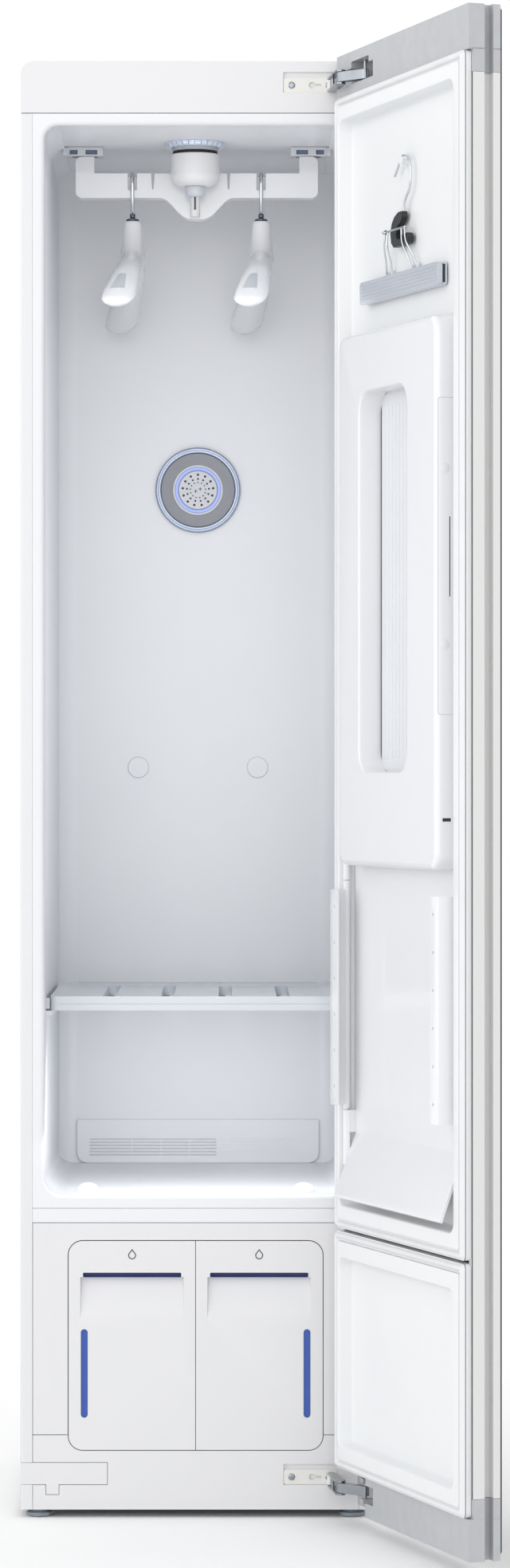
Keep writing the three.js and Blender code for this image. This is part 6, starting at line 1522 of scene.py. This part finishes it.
for name, (low, high) in zip(("top", "bottom"), ARM.levels):
    plan = bar_between(ARM_PIN, ELBOW, ARM.end, ARM.middle)
    web_start = toward(ARM_PIN, ELBOW, 7.4)
    web_end = toward(ARM_PIN, ELBOW, ARM.web)
    arm = join(
        prism(plan, "z", low, low + ARM.plate), prism(plan, "z", high - ARM.plate, high),
        prism(bar_between(web_start, web_end, ARM.plate, ARM.plate), "z", low + FIT, high - FIT),
    )
    arm = cut(arm, lathe([(2.8, low - OVER), (2.8, high + OVER)], ARM_PIN, "z", 24))
    fit_piece(f"hinge_arm_{name}", arm, "hinge_arms", NICKEL, edge=0.5)
    middle = (low + high) / 2
    link = cut(
        prism(bar_between(LINK_PIN, ELBOW, LINK.half, LINK.half), "z", *about(middle, LINK.height / 2)),
        lathe([(2.6, low), (2.6, high)], LINK_PIN, "z", 24),
    )
    fit_piece(f"hinge_link_{name}", link, "hinge_links", NICKEL, edge=0.5)

# Door front. One pane of dark back-painted tempered glass with ground edges, bonded to the
# door's trims; nearly black, mirror-smooth, with a faint blue tint.
DOOR_WIDTH = 445
DOOR_GAP = 8.5
GLASS = sizes(back=-40.4, front=-42, bottom=28, top=1845)
hinge_joint = next(joint for joint in frame["joints"] if joint["name"] == "door_hinge")
HINGE = Vector(hinge_joint["pos_m"])
OPEN_TURN = -math.radians(hinge_joint["range_deg"][0])
opened = Matrix.Rotation(OPEN_TURN, 4, "Z")
ON_DOOR = Matrix.Translation(HINGE) @ opened @ Matrix.Translation(-HINGE) @ IN_CABINET
BLACK_GLASS = surface(
    "back_painted_tempered_glass", "#14171C", "#101317", 300, (0.03, 0.06), 60, 0.01,
    {"Coat Weight": 1.0, "Coat Roughness": 0.02, "IOR": 1.52},
)


def on_door(name, mesh, body, material, edge=0.0, bevel_steps=2):
    return fit_piece(name, mesh, body, material, None, ON_DOOR, edge, bevel_steps)


def door_block(near, far, back, front, bottom, top):
    """A block across the door from near to far of the hinge edge, its depth counted inwards."""
    return block(HALF - far, HALF - near, -DOOR_GAP + back, -DOOR_GAP + front, bottom, top)


def door_outline(near, far, bottom, top, radius, steps=10):
    return rounded(HALF - far, HALF - near, bottom, top, radius, steps)


def door_prism(outline, back, front):
    return prism(outline, "y", -DOOR_GAP + back, -DOOR_GAP + front)


def door_post(across, inward, radius, bottom, top, sides=24):
    return lathe(
        [(0, bottom), (radius, bottom), (radius, top), (0, top)], (HALF - across, -DOOR_GAP + inward), "z",
        sides,
    )


glass = door_prism(door_outline(0, DOOR_WIDTH, GLASS.bottom, GLASS.top, 3), GLASS.front, GLASS.back)
on_door("door_front_panel", glass, "door", BLACK_GLASS, edge=0.6)

# Door caps. Moulded end caps that hold the pane and the trims together, with a pocket for the
# hinge link and a channel for its arm; grey ABS with a fine metallic flake.
CAP_BACK = -40.1
TOP_CAP = (1796, 1850)
BOTTOM_CAP = (20, 70)
GRIP_LEVELS = (93.5, 1769.5)
GRIP_RECESS = sizes(start=433, back=-31, front=-20)
# the grip edge starts at this distance from the hinge edge; trims and legs end this deep
GRIP_START = 431
TRIM_DEPTH = -5.5
# the link swings in a pocket and the arm in a channel, both open inwards; the post is the link's pin
LINK_POCKET = sizes(near=51.5, far=113, bottom=1809, top=1837, floor=-20)
ARM_CHANNEL = sizes(end=128, top=1829)
LOW_POCKET = sizes(far=102, floor=-28, channel=(38, 60), tabs=((33, 39), (59, 65)))
POST = sizes(across=75, inward=-10, radius=2.2)
METALLIC_GREY = surface(
    "metallic_grey_abs", "#BCBEC1", "#B0B2B6", 18, (0.32, 0.42), 0.35, 0.003, {"Metallic": 0.2},
)


def grip_recess(bottom, top):
    return door_block(
        GRIP_RECESS.start, DOOR_WIDTH + OVER, GRIP_RECESS.back, GRIP_RECESS.front, bottom, top,
    )


def cap_leg(bottom, top):
    """The leg of a cap down or up the grip edge, with the finger recess running on in it."""
    return cut(door_block(GRIP_START, DOOR_WIDTH, CAP_BACK, TRIM_DEPTH, bottom, top),
               grip_recess(bottom - OVER, top + OVER))


top_cap = cut(
    door_prism(door_outline(0, DOOR_WIDTH, TOP_CAP[0], TOP_CAP[1], (1, 1, 3, 3)), CAP_BACK, 0),
    grip_recess(TOP_CAP[0] - OVER, TOP_CAP[1] + OVER),
    door_prism(
        door_outline(LINK_POCKET.near, LINK_POCKET.far, LINK_POCKET.bottom, LINK_POCKET.top, 2),
        LINK_POCKET.floor, OVER,
    ),
    door_block(-OVER, ARM_CHANNEL.end, LINK_POCKET.floor, OVER, LINK_POCKET.bottom, ARM_CHANNEL.top),
)


def link_post(bottom, top):
    return door_post(POST.across, POST.inward, POST.radius, bottom - FIT, top + FIT)


top_cap = join(top_cap, cap_leg(GRIP_LEVELS[1] + FIT, TOP_CAP[0] + FIT))
on_door("door_cap_top", top_cap, "door", METALLIC_GREY, edge=0.8, bevel_steps=3)
on_door("door_cap_top_post", link_post(LINK_POCKET.bottom, LINK_POCKET.top), "door", NICKEL)
bottom_cap = join(
    cut(
        door_prism(door_outline(0, DOOR_WIDTH, BOTTOM_CAP[0], BOTTOM_CAP[1], (3, 3, 1, 1)), CAP_BACK, 0),
        grip_recess(BOTTOM_CAP[0] - OVER, BOTTOM_CAP[1] + OVER),
        door_block(-OVER, LOW_POCKET.far, LOW_POCKET.floor, OVER, BOTTOM_CAP[0] - OVER, BOTTOM_CAP[1] + OVER),
        door_block(LOW_POCKET.far - 1, ARM_CHANNEL.end, LOW_POCKET.floor, OVER, *LOW_POCKET.channel),
    ),
    *[door_block(*about(POST.across, 5), LOW_POCKET.floor - FIT, -5, *levels)
      for levels in LOW_POCKET.tabs],
    cap_leg(BOTTOM_CAP[1] - FIT, GRIP_LEVELS[0] - FIT),
)
on_door("door_cap_bottom", bottom_cap, "door", METALLIC_GREY, edge=0.8, bevel_steps=3)
on_door("door_cap_bottom_post", link_post(39, 59), "door", NICKEL)

# Door side trims. Extruded aluminium profiles down both edges, the grip side's one folded round
# a finger recess; satin silver paint with faint drawing lines along their length.
TRIM_LEVELS = (70.3, 1795.7)
SATIN_ALUMINIUM = surface(
    "satin_extruded_aluminium", "#DEDEDD", "#D6D6D6", 60, (0.28, 0.36), 0.7, 0.002, {"Metallic": 0.15},
    (1, 1, 0.04),
)
hinge_trim = cut(
    door_block(0, 14, CAP_BACK, TRIM_DEPTH, *TRIM_LEVELS),
    door_block(2, 14 + OVER, CAP_BACK + 2, -7.5, TRIM_LEVELS[0] - OVER, TRIM_LEVELS[1] + OVER),
)
on_door("door_side_hinge", hinge_trim, "door", SATIN_ALUMINIUM, edge=0.4)
grip_trim = cut(
    join(
        door_block(GRIP_START, DOOR_WIDTH, GRIP_RECESS.front, TRIM_DEPTH, *GRIP_LEVELS),
        door_block(GRIP_START, GRIP_RECESS.start, GRIP_RECESS.back - 2, TRIM_DEPTH, *GRIP_LEVELS),
        door_block(GRIP_START, DOOR_WIDTH, CAP_BACK, GRIP_RECESS.back, *GRIP_LEVELS),
    ),
    door_block(426, 443, -18, -7.5, GRIP_LEVELS[0] - OVER, GRIP_LEVELS[1] + OVER),
)
# A thin black strip between the gasket and the grip trim paints the shade of the groove there.
trim_shade_line = door_block(440.6, 443.4, -5.7, -5.35, *GRIP_LEVELS)
on_door("door_shade_line_grip", trim_shade_line, "door", BLACK_RUBBER_AND_SHADE)
on_door("door_side_grip", grip_trim, "door", SATIN_ALUMINIUM, edge=0.4)

# Door liners. Two vacuum-formed inner panels, each a shallow dish with softly rolled edges and
# radiused corners inside a raised border, snapped into the trims.
LINER_LEVELS = {"upper": (373, 1795.7), "lower": (70.3, 369)}
DISH_LEVELS = {"upper": (403, 1765.7), "lower": (100.3, 336)}
LINER = sizes(inset=6, back=-5.2, front=6, step=14.3, step_back=-11, seat=1.7, gasket=12.3)
DISH = sizes(near=21, far=409, floor=-13, slope=2.5, tray=-15.5)
# Vacuum-formed ABS: white and satin, softly uneven where the sheet was drawn.
WHITE_LINER = surface("vacuum_formed_white_abs", "#E9EAEB", "#E4E6E8", 200, (0.30, 0.40), 1.4, 0.008)


def dish_ring(level, inward, shrink, radius):
    low, high = DISH_LEVELS[level]
    outline = door_outline(DISH.near + shrink, DISH.far - shrink, low + shrink, high - shrink, radius)
    return at_depth(outline, -DOOR_GAP + inward)


for level, (low, high) in LINER_LEVELS.items():
    border = door_prism(
        door_outline(LINER.inset, DOOR_WIDTH - LINER.inset, low, high, 6), LINER.back, LINER.seat,
    )
    raised = door_prism(
        door_outline(
            LINER.inset + LINER.gasket, DOOR_WIDTH - LINER.inset - LINER.gasket,
            low + LINER.gasket, high - LINER.gasket, 3,
        ),
        LINER.seat - FIT, LINER.front,
    )
    step = door_block(LINER.step, DOOR_WIDTH - LINER.step, LINER.step_back, LINER.back + FIT, low, high)
    tray = door_block(DISH.near, DISH.far, DISH.tray, LINER.step_back + FIT, *DISH_LEVELS[level])
    dish = loft([
        dish_ring(level, DISH.floor, DISH.slope + 3.2, 9),
        dish_ring(level, DISH.floor + 1, DISH.slope + 0.9, 11),
        dish_ring(level, DISH.floor + 3.2, DISH.slope - 0.4, 12),
        dish_ring(level, LINER.front - 2.4, 0.3, 13),
        dish_ring(level, LINER.front - 0.7, -0.5, 14),
        dish_ring(level, LINER.front + FIT, -2.2, 15),
    ])
    on_door(
        f"door_liner_{level}", cut(join(border, raised, step, tray), dish), "door", WHITE_LINER,
        edge=0.5,
    )

# Door gaskets. Extruded rubber rings with a round sealing bulb and a fine lip on each side,
# pressed into the border of each liner; off-white, slightly dusty.
GASKET_CORNER = 6
SOFT_RUBBER = surface("extruded_white_rubber", "#E4E5E6", "#DBDCDE", 40, (0.55, 0.68), 1.2, 0.012)


def swept_ring(outline_at, profile):
    """A closed ring: an outline repeated at each (inset, depth) of a closed profile."""
    rings = [at_depth(outline_at(inset), -DOOR_GAP + depth) for inset, depth in profile]
    count = len(rings[0])
    verts = [point for ring in rings for point in ring]
    faces = []
    for row in range(len(rings)):
        following = (row + 1) % len(rings)
        for k in range(count):
            faces.append((
                row * count + k, row * count + (k + 1) % count, following * count + (k + 1) % count,
                following * count + k,
            ))
    return to_mesh(verts, faces)


GASKET_PROFILE = [
    (0, 2), (0, 3), (1.2, 3.2), (1.8, 4.4), (2.6, 5.9), (3.8, 6.9), (5.2, 7.2), (6.6, 6.9), (7.8, 5.9),
    (8.6, 4.4),
    (9.2, 3.2), (12, 3), (12, 2),
]
for level, (low, high) in LINER_LEVELS.items():
    def gasket_outline(inset, low=low, high=high):
        edge = LINER.inset + inset
        radius = max(GASKET_CORNER - inset * 0.45, 0.6)
        return door_outline(edge, DOOR_WIDTH - edge, low + inset, high - inset, radius)

    # A thin black ring under each gasket paints the shade of the groove round the gasket.
    on_door(
        f"door_shade_line_{level}", swept_ring(gasket_outline, [(-0.15, 1.5), (-0.15, 2.2), (2, 2.2), (2, 1.5)]),
        "door",
        BLACK_RUBBER_AND_SHADE,
    )
    on_door(
        f"gasket_{level}", swept_ring(gasket_outline, GASKET_PROFILE), "door", SOFT_RUBBER,
    )

# Peg. A short frosted peg moulded on a round foot in the upper dish, with a raised tip that
# keeps the trouser hanger's hook on.
PEG = sizes(across=219, z=1691.6, back=-14.25, front=-1)
# Frosted polypropylene: pale and satin, a little waxy.
FROSTED = surface(
    "frosted_polypropylene", "#E9EBEE", "#E0E3E8", 14, (0.3, 0.4), 0.8, 0.004, {"Coat Weight": 0.2},
)
peg_x = HALF - PEG.across
peg_foot = lathe(
    [(0, PEG.back), (9, PEG.back), (9, -12.6), (8.2, -11.75), (4.1, -11.75), (3.5, -11.2),
     (3.5, PEG.front - 0.6),
     (2.9, PEG.front), (0, PEG.front)],
    (0, 0), "y", 32,
)
peg_tip = lathe([(0, -3.5), (5, -3.5), (5.4, -3.1), (5.4, -1.4), (5, -1), (0, -1)], (0, 1.2), "y", 32)
peg = join(peg_foot, peg_tip)
peg.transform(Matrix.Translation((peg_x, -DOOR_GAP, PEG.z)))
on_door("peg", peg, "door", FROSTED)

# Trouser hanger. A polished wire hook set in a black moulded holder, a cross wire with a knob, and
# four thin wires in pale sleeves that carry a spring clamp: two grey jaws, the front one ribbed,
# with a black rubber strip between them.
TROUSER_DEPTH = -5.5
TROUSER_WIRE = 1.5
TROUSER_Y = -DOOR_GAP + TROUSER_DEPTH
HANG_X = HALF - 216
CLAMP = sizes(near=83, far=348, bottom=1528.7, top=1556.7, half=6, gap=0.15)
clamp_left = HALF - CLAMP.far
clamp_right = HALF - CLAMP.near
HOOK = ((-26, 1677), (-14, 1688), (-2, 1698.4), (9, 1698.4), (21, 1694), (26, 1682), (24, 1658), (8, 1644),
        (3, 1627))
hook_path = [(HANG_X - across, TROUSER_Y, z) for across, z in HOOK]
on_door(
    "trouser_hook", tube(smooth_path(hook_path, 4), TROUSER_WIRE, 14), "trouser_hanger", CHROME_WIRE,
)
HOLDER = (
    (-12, 1629), (-6, 1631), (6, 1631), (8, 1624), (2, 1618), (-8, 1614), (-14, 1604), (-10, 1598), (8, 1597),
    (10, 1603), (24, 1603), (28, 1598), (27, 1591), (20, 1589), (-22, 1589), (-30, 1595), (-33, 1608),
    (-28, 1619),
    (-20, 1626),
)
HOLDER_DEPTH = 4
holder = prism([(HANG_X - across, z) for across, z in HOLDER], "y", *about(TROUSER_Y, HOLDER_DEPTH))
on_door("trouser_holder", holder, "trouser_hanger", BLACK_ABS_AND_SHADE, edge=0.8)
LEGS = ((-46, -50, -63), (-38, -39, -43), (8, 11, 23), (18, 24, 44))
LEG_TOP = 1610
LEG_WIRE = 1.15
legs = []
sleeves = []
for start, knee, foot in LEGS:
    leg_path = [
        (HANG_X - start, TROUSER_Y + 5, LEG_TOP), (HANG_X - knee, TROUSER_Y + 5, 1592),
        (HANG_X - (knee + foot) / 2, TROUSER_Y, 1575), (HANG_X - foot, TROUSER_Y - 3.4, CLAMP.top + 0.4),
    ]
    legs.append(tube(smooth_path(leg_path, 5), LEG_WIRE, 12))
    sleeves.append(lathe(
        [(0, CLAMP.top + 0.1), (2.4, CLAMP.top + 0.1), (2.4, CLAMP.top + 6), (1.8, CLAMP.top + 7),
         (0, CLAMP.top + 7)],
        (HANG_X - foot, TROUSER_Y - 3.4), "z", 20,
    ))
bridge = tube([(HANG_X + 49, TROUSER_Y + 5, LEG_TOP), (HANG_X - 20, TROUSER_Y + 5, LEG_TOP)], 1.5, 12)
knob_profile = [(0, -2.6), (2.6, -2.6), (3, -2.2), (3, 2.2), (2.6, 2.6), (0, 2.6)]
knob = lathe(knob_profile, (TROUSER_Y + 5, LEG_TOP), "x", 20)
knob.transform(Matrix.Translation((HANG_X + 47, 0, 0)))
legs += [bridge, knob]
on_door("trouser_clamp_legs", join(*legs), "trouser_hanger", CHROME_WIRE)
on_door("trouser_clamp_sleeves", join(*sleeves), "trouser_hanger", PALE_ABS)
# Satin paint on steel: pale grey, with broad soft reflections, for the clamp's jaws; the same grey
# draws the painted shade of a groove on the cover's side.
CLAMP_GREY_AND_GROOVE_SHADE = surface("satin_grey_steel_and_groove_shade", "#C8CDD5", "#C2C7D0", 60, (0.12, 0.18), 0.6, 0.001,
                     {"Metallic": 0.3})


def jaw(front, back):
    """One jaw: a flat bar with round corners."""
    return prism(rounded(clamp_left, clamp_right, CLAMP.bottom, CLAMP.top, 5, 6), "y", front, back)


jaw_back = jaw(TROUSER_Y - CLAMP.half, TROUSER_Y - CLAMP.gap)
on_door("trouser_clamp_back", jaw_back, "trouser_hanger", CLAMP_GREY_AND_GROOVE_SHADE, edge=0.6)
jaw_front = jaw(TROUSER_Y + CLAMP.gap, TROUSER_Y + CLAMP.half)
rib_cut = block(
    clamp_left + 6, clamp_right - 6, TROUSER_Y + CLAMP.half - 0.5, TROUSER_Y + CLAMP.half + OVER,
    CLAMP.bottom + 5, CLAMP.bottom + 6.2,
)
jaw_front = cut(jaw_front, copies(rib_cut, 5, (0, 0, 4.2)))
on_door("trouser_clamp_front", jaw_front, "trouser_clamp_front", CLAMP_GREY_AND_GROOVE_SHADE, edge=1.6)
grip_strip = block(
    clamp_left + 0.6, clamp_right - 0.6, TROUSER_Y - 1.2, TROUSER_Y + 0.1, CLAMP.bottom + 4,
    CLAMP.top - 4,
)
grip_ends = block(clamp_left - 0.5, clamp_left + 2, TROUSER_Y - 3, TROUSER_Y + 0.1,
                  CLAMP.bottom + 3, CLAMP.top - 3)
on_door("trouser_clamp_strip", join(grip_strip, grip_ends), "trouser_hanger", BLACK_RUBBER_AND_SHADE)

# Press plate. The press's moulded backing on the dish floor, with a ramp that leads trouser legs
# in over a rolled lip, the fixed lower barrel of the hinge and the right-hand wing.
PRESS = sizes(near=40, far=400, back=-12.7, thick=2.5, bottom=495, top=1481)
BARREL = sizes(across=32, inward=-1.5, radius=5, bore=2.9)
BARREL_LEVELS = {"plate": (453, 522.7), "wing": (523.3, 810.7), "cover": (811.3, 1490)}
WING_HOLES = sizes(count=6, pitch=45, bottom=553.5, radius=2)
WING = sizes(bottom=530, top=800)
# Glossy ABS: white, with a thin clear skin.
PRESS_WHITE = surface(
    "gloss_white_moulded_abs", "#E8E9EB", "#E3E4E7", 150, (0.18, 0.26), 1.4, 0.004, {"Coat Weight": 0.35},
)


def barrel(bottom, top):
    """A hinge barrel with eased rims and its bore."""
    radius = BARREL.radius
    centre = (HALF - BARREL.across, -DOOR_GAP + BARREL.inward)
    return lathe(
        [(BARREL.bore, bottom), (radius - 0.6, bottom), (radius, bottom + 0.6), (radius, top - 0.6),
         (radius - 0.6, top), (BARREL.bore, top), (BARREL.bore, bottom)],
        centre, "z", 32,
    )


def bore_for_pin(bottom, top):
    return door_post(BARREL.across, BARREL.inward, BARREL.bore, bottom - OVER, top + OVER, 32)


def side_profile(points, near, far):
    """A profile of (inward, z) points carried across the door."""
    return prism([(-DOOR_GAP + inward, z) for inward, z in points], "x", HALF - far, HALF - near)


front_of_plate = PRESS.back + PRESS.thick
plate = door_prism(
    door_outline(PRESS.near, PRESS.far, PRESS.bottom, PRESS.top, (0, 0, 10, 10)),
    PRESS.back, front_of_plate,
)
ramp = side_profile([
    (PRESS.back, 495.4), (front_of_plate, 495.4), (front_of_plate + 1.6, 490.6), (15.8, 423.4), (17.2, 420.4),
    (18, 417.4), (18, 415.6), (17.4, 414.4), (16.3, 414), (15.3, 414.8), (13.9, 420.2), (-11.2, 488.4),
    (PRESS.back, 490.6),
], PRESS.near, PRESS.far)
lug = door_block(BARREL.across, PRESS.near + FIT, -2.75, -0.25, *BARREL_LEVELS["plate"])
lug_foot = door_block(
    PRESS.near, PRESS.near + 2.5, PRESS.back, -0.25, PRESS.bottom, BARREL_LEVELS["plate"][1],
)
right_wing_outline = [
    (376, 22), (376, 19.5), (395.4, 19.5), (396.9, 19), (397.5, 17.6), (397.5, -12.4), (400, -12.4),
    (400, 19.4),
    (399.2, 21.2), (397.4, 22),
]


def wing_prism(outline):
    return prism([(HALF - across, -DOOR_GAP + inward) for across, inward in outline], "z", WING.bottom,
                 WING.top)


def wing_holes(across):
    radius = WING_HOLES.radius
    hole = lathe(
        [(radius, -DOOR_GAP + 15), (radius, -DOOR_GAP + 26)], (HALF - across, WING_HOLES.bottom), "y", 20,
    )
    return copies(hole, WING_HOLES.count, (0, 0, WING_HOLES.pitch))


press_plate = cut(
    join(
        plate, ramp, lug, lug_foot, barrel(*BARREL_LEVELS["plate"]),
        cut(wing_prism(right_wing_outline), wing_holes(385.5)),
    ),
    bore_for_pin(453, 523),
)
on_door("press_plate", press_plate, "door", PRESS_WHITE, edge=0.35)

# Press pin. A straight drawn steel rod through every barrel of the press.
on_door(
    "press_pin", door_post(BARREL.across, BARREL.inward, 2.5, 453.6, 1489.4, 24), "door", NICKEL,
)

# Press cover. A deep moulded frame with a wide rounded window that swings over the trouser legs;
# its web and barrel turn on the pin.
COVER = sizes(
    near=56, far=389, back=-9.9, front=19.5, bottom=831, top=1490, wall=3, window=(130, 293, 947, 1416),
)
wall = COVER.wall


def cover_ring(inset, inward, radius):
    return at_depth(door_outline(
        COVER.near + inset, COVER.far - inset, COVER.bottom + inset, COVER.top - inset, radius,
    ), -DOOR_GAP + inward)


def window_ring(grow, inward, radius):
    near, far, low, high = COVER.window
    return at_depth(door_outline(near - grow, far + grow, low - grow, high + grow, radius),
                    -DOOR_GAP + inward)


cover_outer = loft([
    cover_ring(0, COVER.back, 20), cover_ring(0, COVER.front - 7, 20),
    cover_ring(0.5, COVER.front - 4.3, 19.5),
    cover_ring(2.05, COVER.front - 2.05, 18), cover_ring(4.3, COVER.front - 0.5, 15.7),
    cover_ring(7, COVER.front, 13),
])
cover_inner = loft([cover_ring(wall, COVER.back - OVER, 17), cover_ring(wall, COVER.front - 7.5, 17),
    cover_ring(7, COVER.front - wall, 13)])
window_wall = loft([window_ring(wall, COVER.back, 31), window_ring(wall, COVER.front - 0.2, 31)])
window = loft([
    window_ring(0, COVER.back - OVER, 28), window_ring(0, COVER.front - 2.4, 28),
    window_ring(0.7, COVER.front - 0.7, 28.7), window_ring(2.4, COVER.front + 0.2, 30.4),
])
WEB_LEVELS = (843, 1478)
web = door_block(BARREL.across, COVER.near + 1.5, -3, 0, *WEB_LEVELS)
cover = cut(
    join(cut(cover_outer, cover_inner), window_wall, web, barrel(*BARREL_LEVELS["cover"])),
    window, bore_for_pin(811, 1490),
)
on_door("press_cover", cover, "press_cover", PRESS_WHITE, edge=0.4)

# Cover side. Two round caps on the free side of the cover, where its spring catch sits behind the
# moulded wall; two dark blocks paint the shade in a slit and a notch, and a fine grey line paints the shade
# of a groove.
side_x = HALF - COVER.far
BUTTON_LEVELS = (1098, 1307)
BUTTON_INWARD = 8.8
BUTTON_PROFILE = [(0, 0.2), (6.5, 0.2), (6.5, -0.2), (5.9, -0.6), (0, -0.6)]
# bottom, top, back and front of the painted shade in the slit and in the notch; the painted groove line
# follows the moulded wall behind it
SIDE_SLIT_SHADES = ((1155, 1250, 1.2, 2.4), (888.5, 892.5, 0.5, 11))
SIDE_GROOVE_SHADE = sizes(back=-6, front=17.2, bottom=1015, top=1391, line=0.5)
for level in BUTTON_LEVELS:
    button = lathe(BUTTON_PROFILE, (-DOOR_GAP + BUTTON_INWARD, level), "x", 28)
    button.transform(Matrix.Translation((side_x, 0, 0)))
    on_door(f"press_cover_button_{level}", button, "press_cover", PRESS_WHITE)
# These dark blocks paint the shade inside the slit and the notch.
for number, (bottom, top, back, front) in enumerate(SIDE_SLIT_SHADES):
    slit = block(side_x - 0.12, side_x + 0.3, -DOOR_GAP + back, -DOOR_GAP + front, bottom, top)
    on_door(f"press_cover_slit_shade_{number}", slit, "press_cover", BLACK_ABS_AND_SHADE)


def side_loop(inset, radius):
    return [
        (-DOOR_GAP + a, b) for a, b in rounded(
            SIDE_GROOVE_SHADE.back + inset, SIDE_GROOVE_SHADE.front - inset, SIDE_GROOVE_SHADE.bottom + inset,
            SIDE_GROOVE_SHADE.top - inset, radius, 6,
        )
    ]


# A fine grey line on the cover's side paints the shade of the groove round its inner channel.
side_groove_shade = cut(
    prism(side_loop(0, 4), "x", side_x - 0.1, side_x + 0.3),
    prism(side_loop(SIDE_GROOVE_SHADE.line, 3.6), "x", side_x - OVER - 0.1, side_x + OVER + 0.3),
)
on_door("press_cover_groove_shade", side_groove_shade, "press_cover", CLAMP_GREY_AND_GROOVE_SHADE)

# Press pad. A soft white pad with upright ribs on the plate, seen through the cover's window; a dark
# strip along its near edge paints the shade of the gap there. Moulded silicone, matt.
PAD = sizes(near=134, far=289, bottom=950, top=1413, back=-10.3, front=-9.4)
SILICONE = surface("moulded_white_silicone", "#DFE1E4", "#D8DADE", 60, (0.5, 0.6), 1.2, 0.01)
pad = door_prism(door_outline(PAD.near, PAD.far, PAD.bottom, PAD.top, 12), PAD.back, PAD.front)
pad_rib = door_block(
    PAD.far - 12, PAD.far - 6, PAD.front - FIT, PAD.front + 0.7, PAD.bottom + 14, PAD.top - 14,
)
pad_ribs = copies(pad_rib, 12, (12.4, 0, 0))
on_door("press_pad", join(pad, pad_ribs), "door", SILICONE, edge=0.2)
pad_gap_shade = door_block(130.5, 132.8, PAD.back, PAD.back + 0.5, PAD.bottom, PAD.top)
on_door("press_pad_gap_shade", pad_gap_shade, "door", BLACK_ABS_AND_SHADE)

# Left wing. A narrow moulded flap on the same pin that holds the near trouser leg flat, with a
# column of small steam holes down its flange.
left_wing_outline = [
    (32, -1.5), (34.5, -1.5), (38.6, 17.4), (39.4, 19), (41, 19.5), (60, 19.5), (60, 22), (35.2, 22),
    (34, 21.4),
    (33.4, 19.5),
]
left_wing = cut(
    join(wing_prism(left_wing_outline), barrel(*BARREL_LEVELS["wing"])),
    bore_for_pin(523, 811), wing_holes(49.5),
)
on_door("wing_left", left_wing, "wing_left", PRESS_WHITE, edge=0.35)
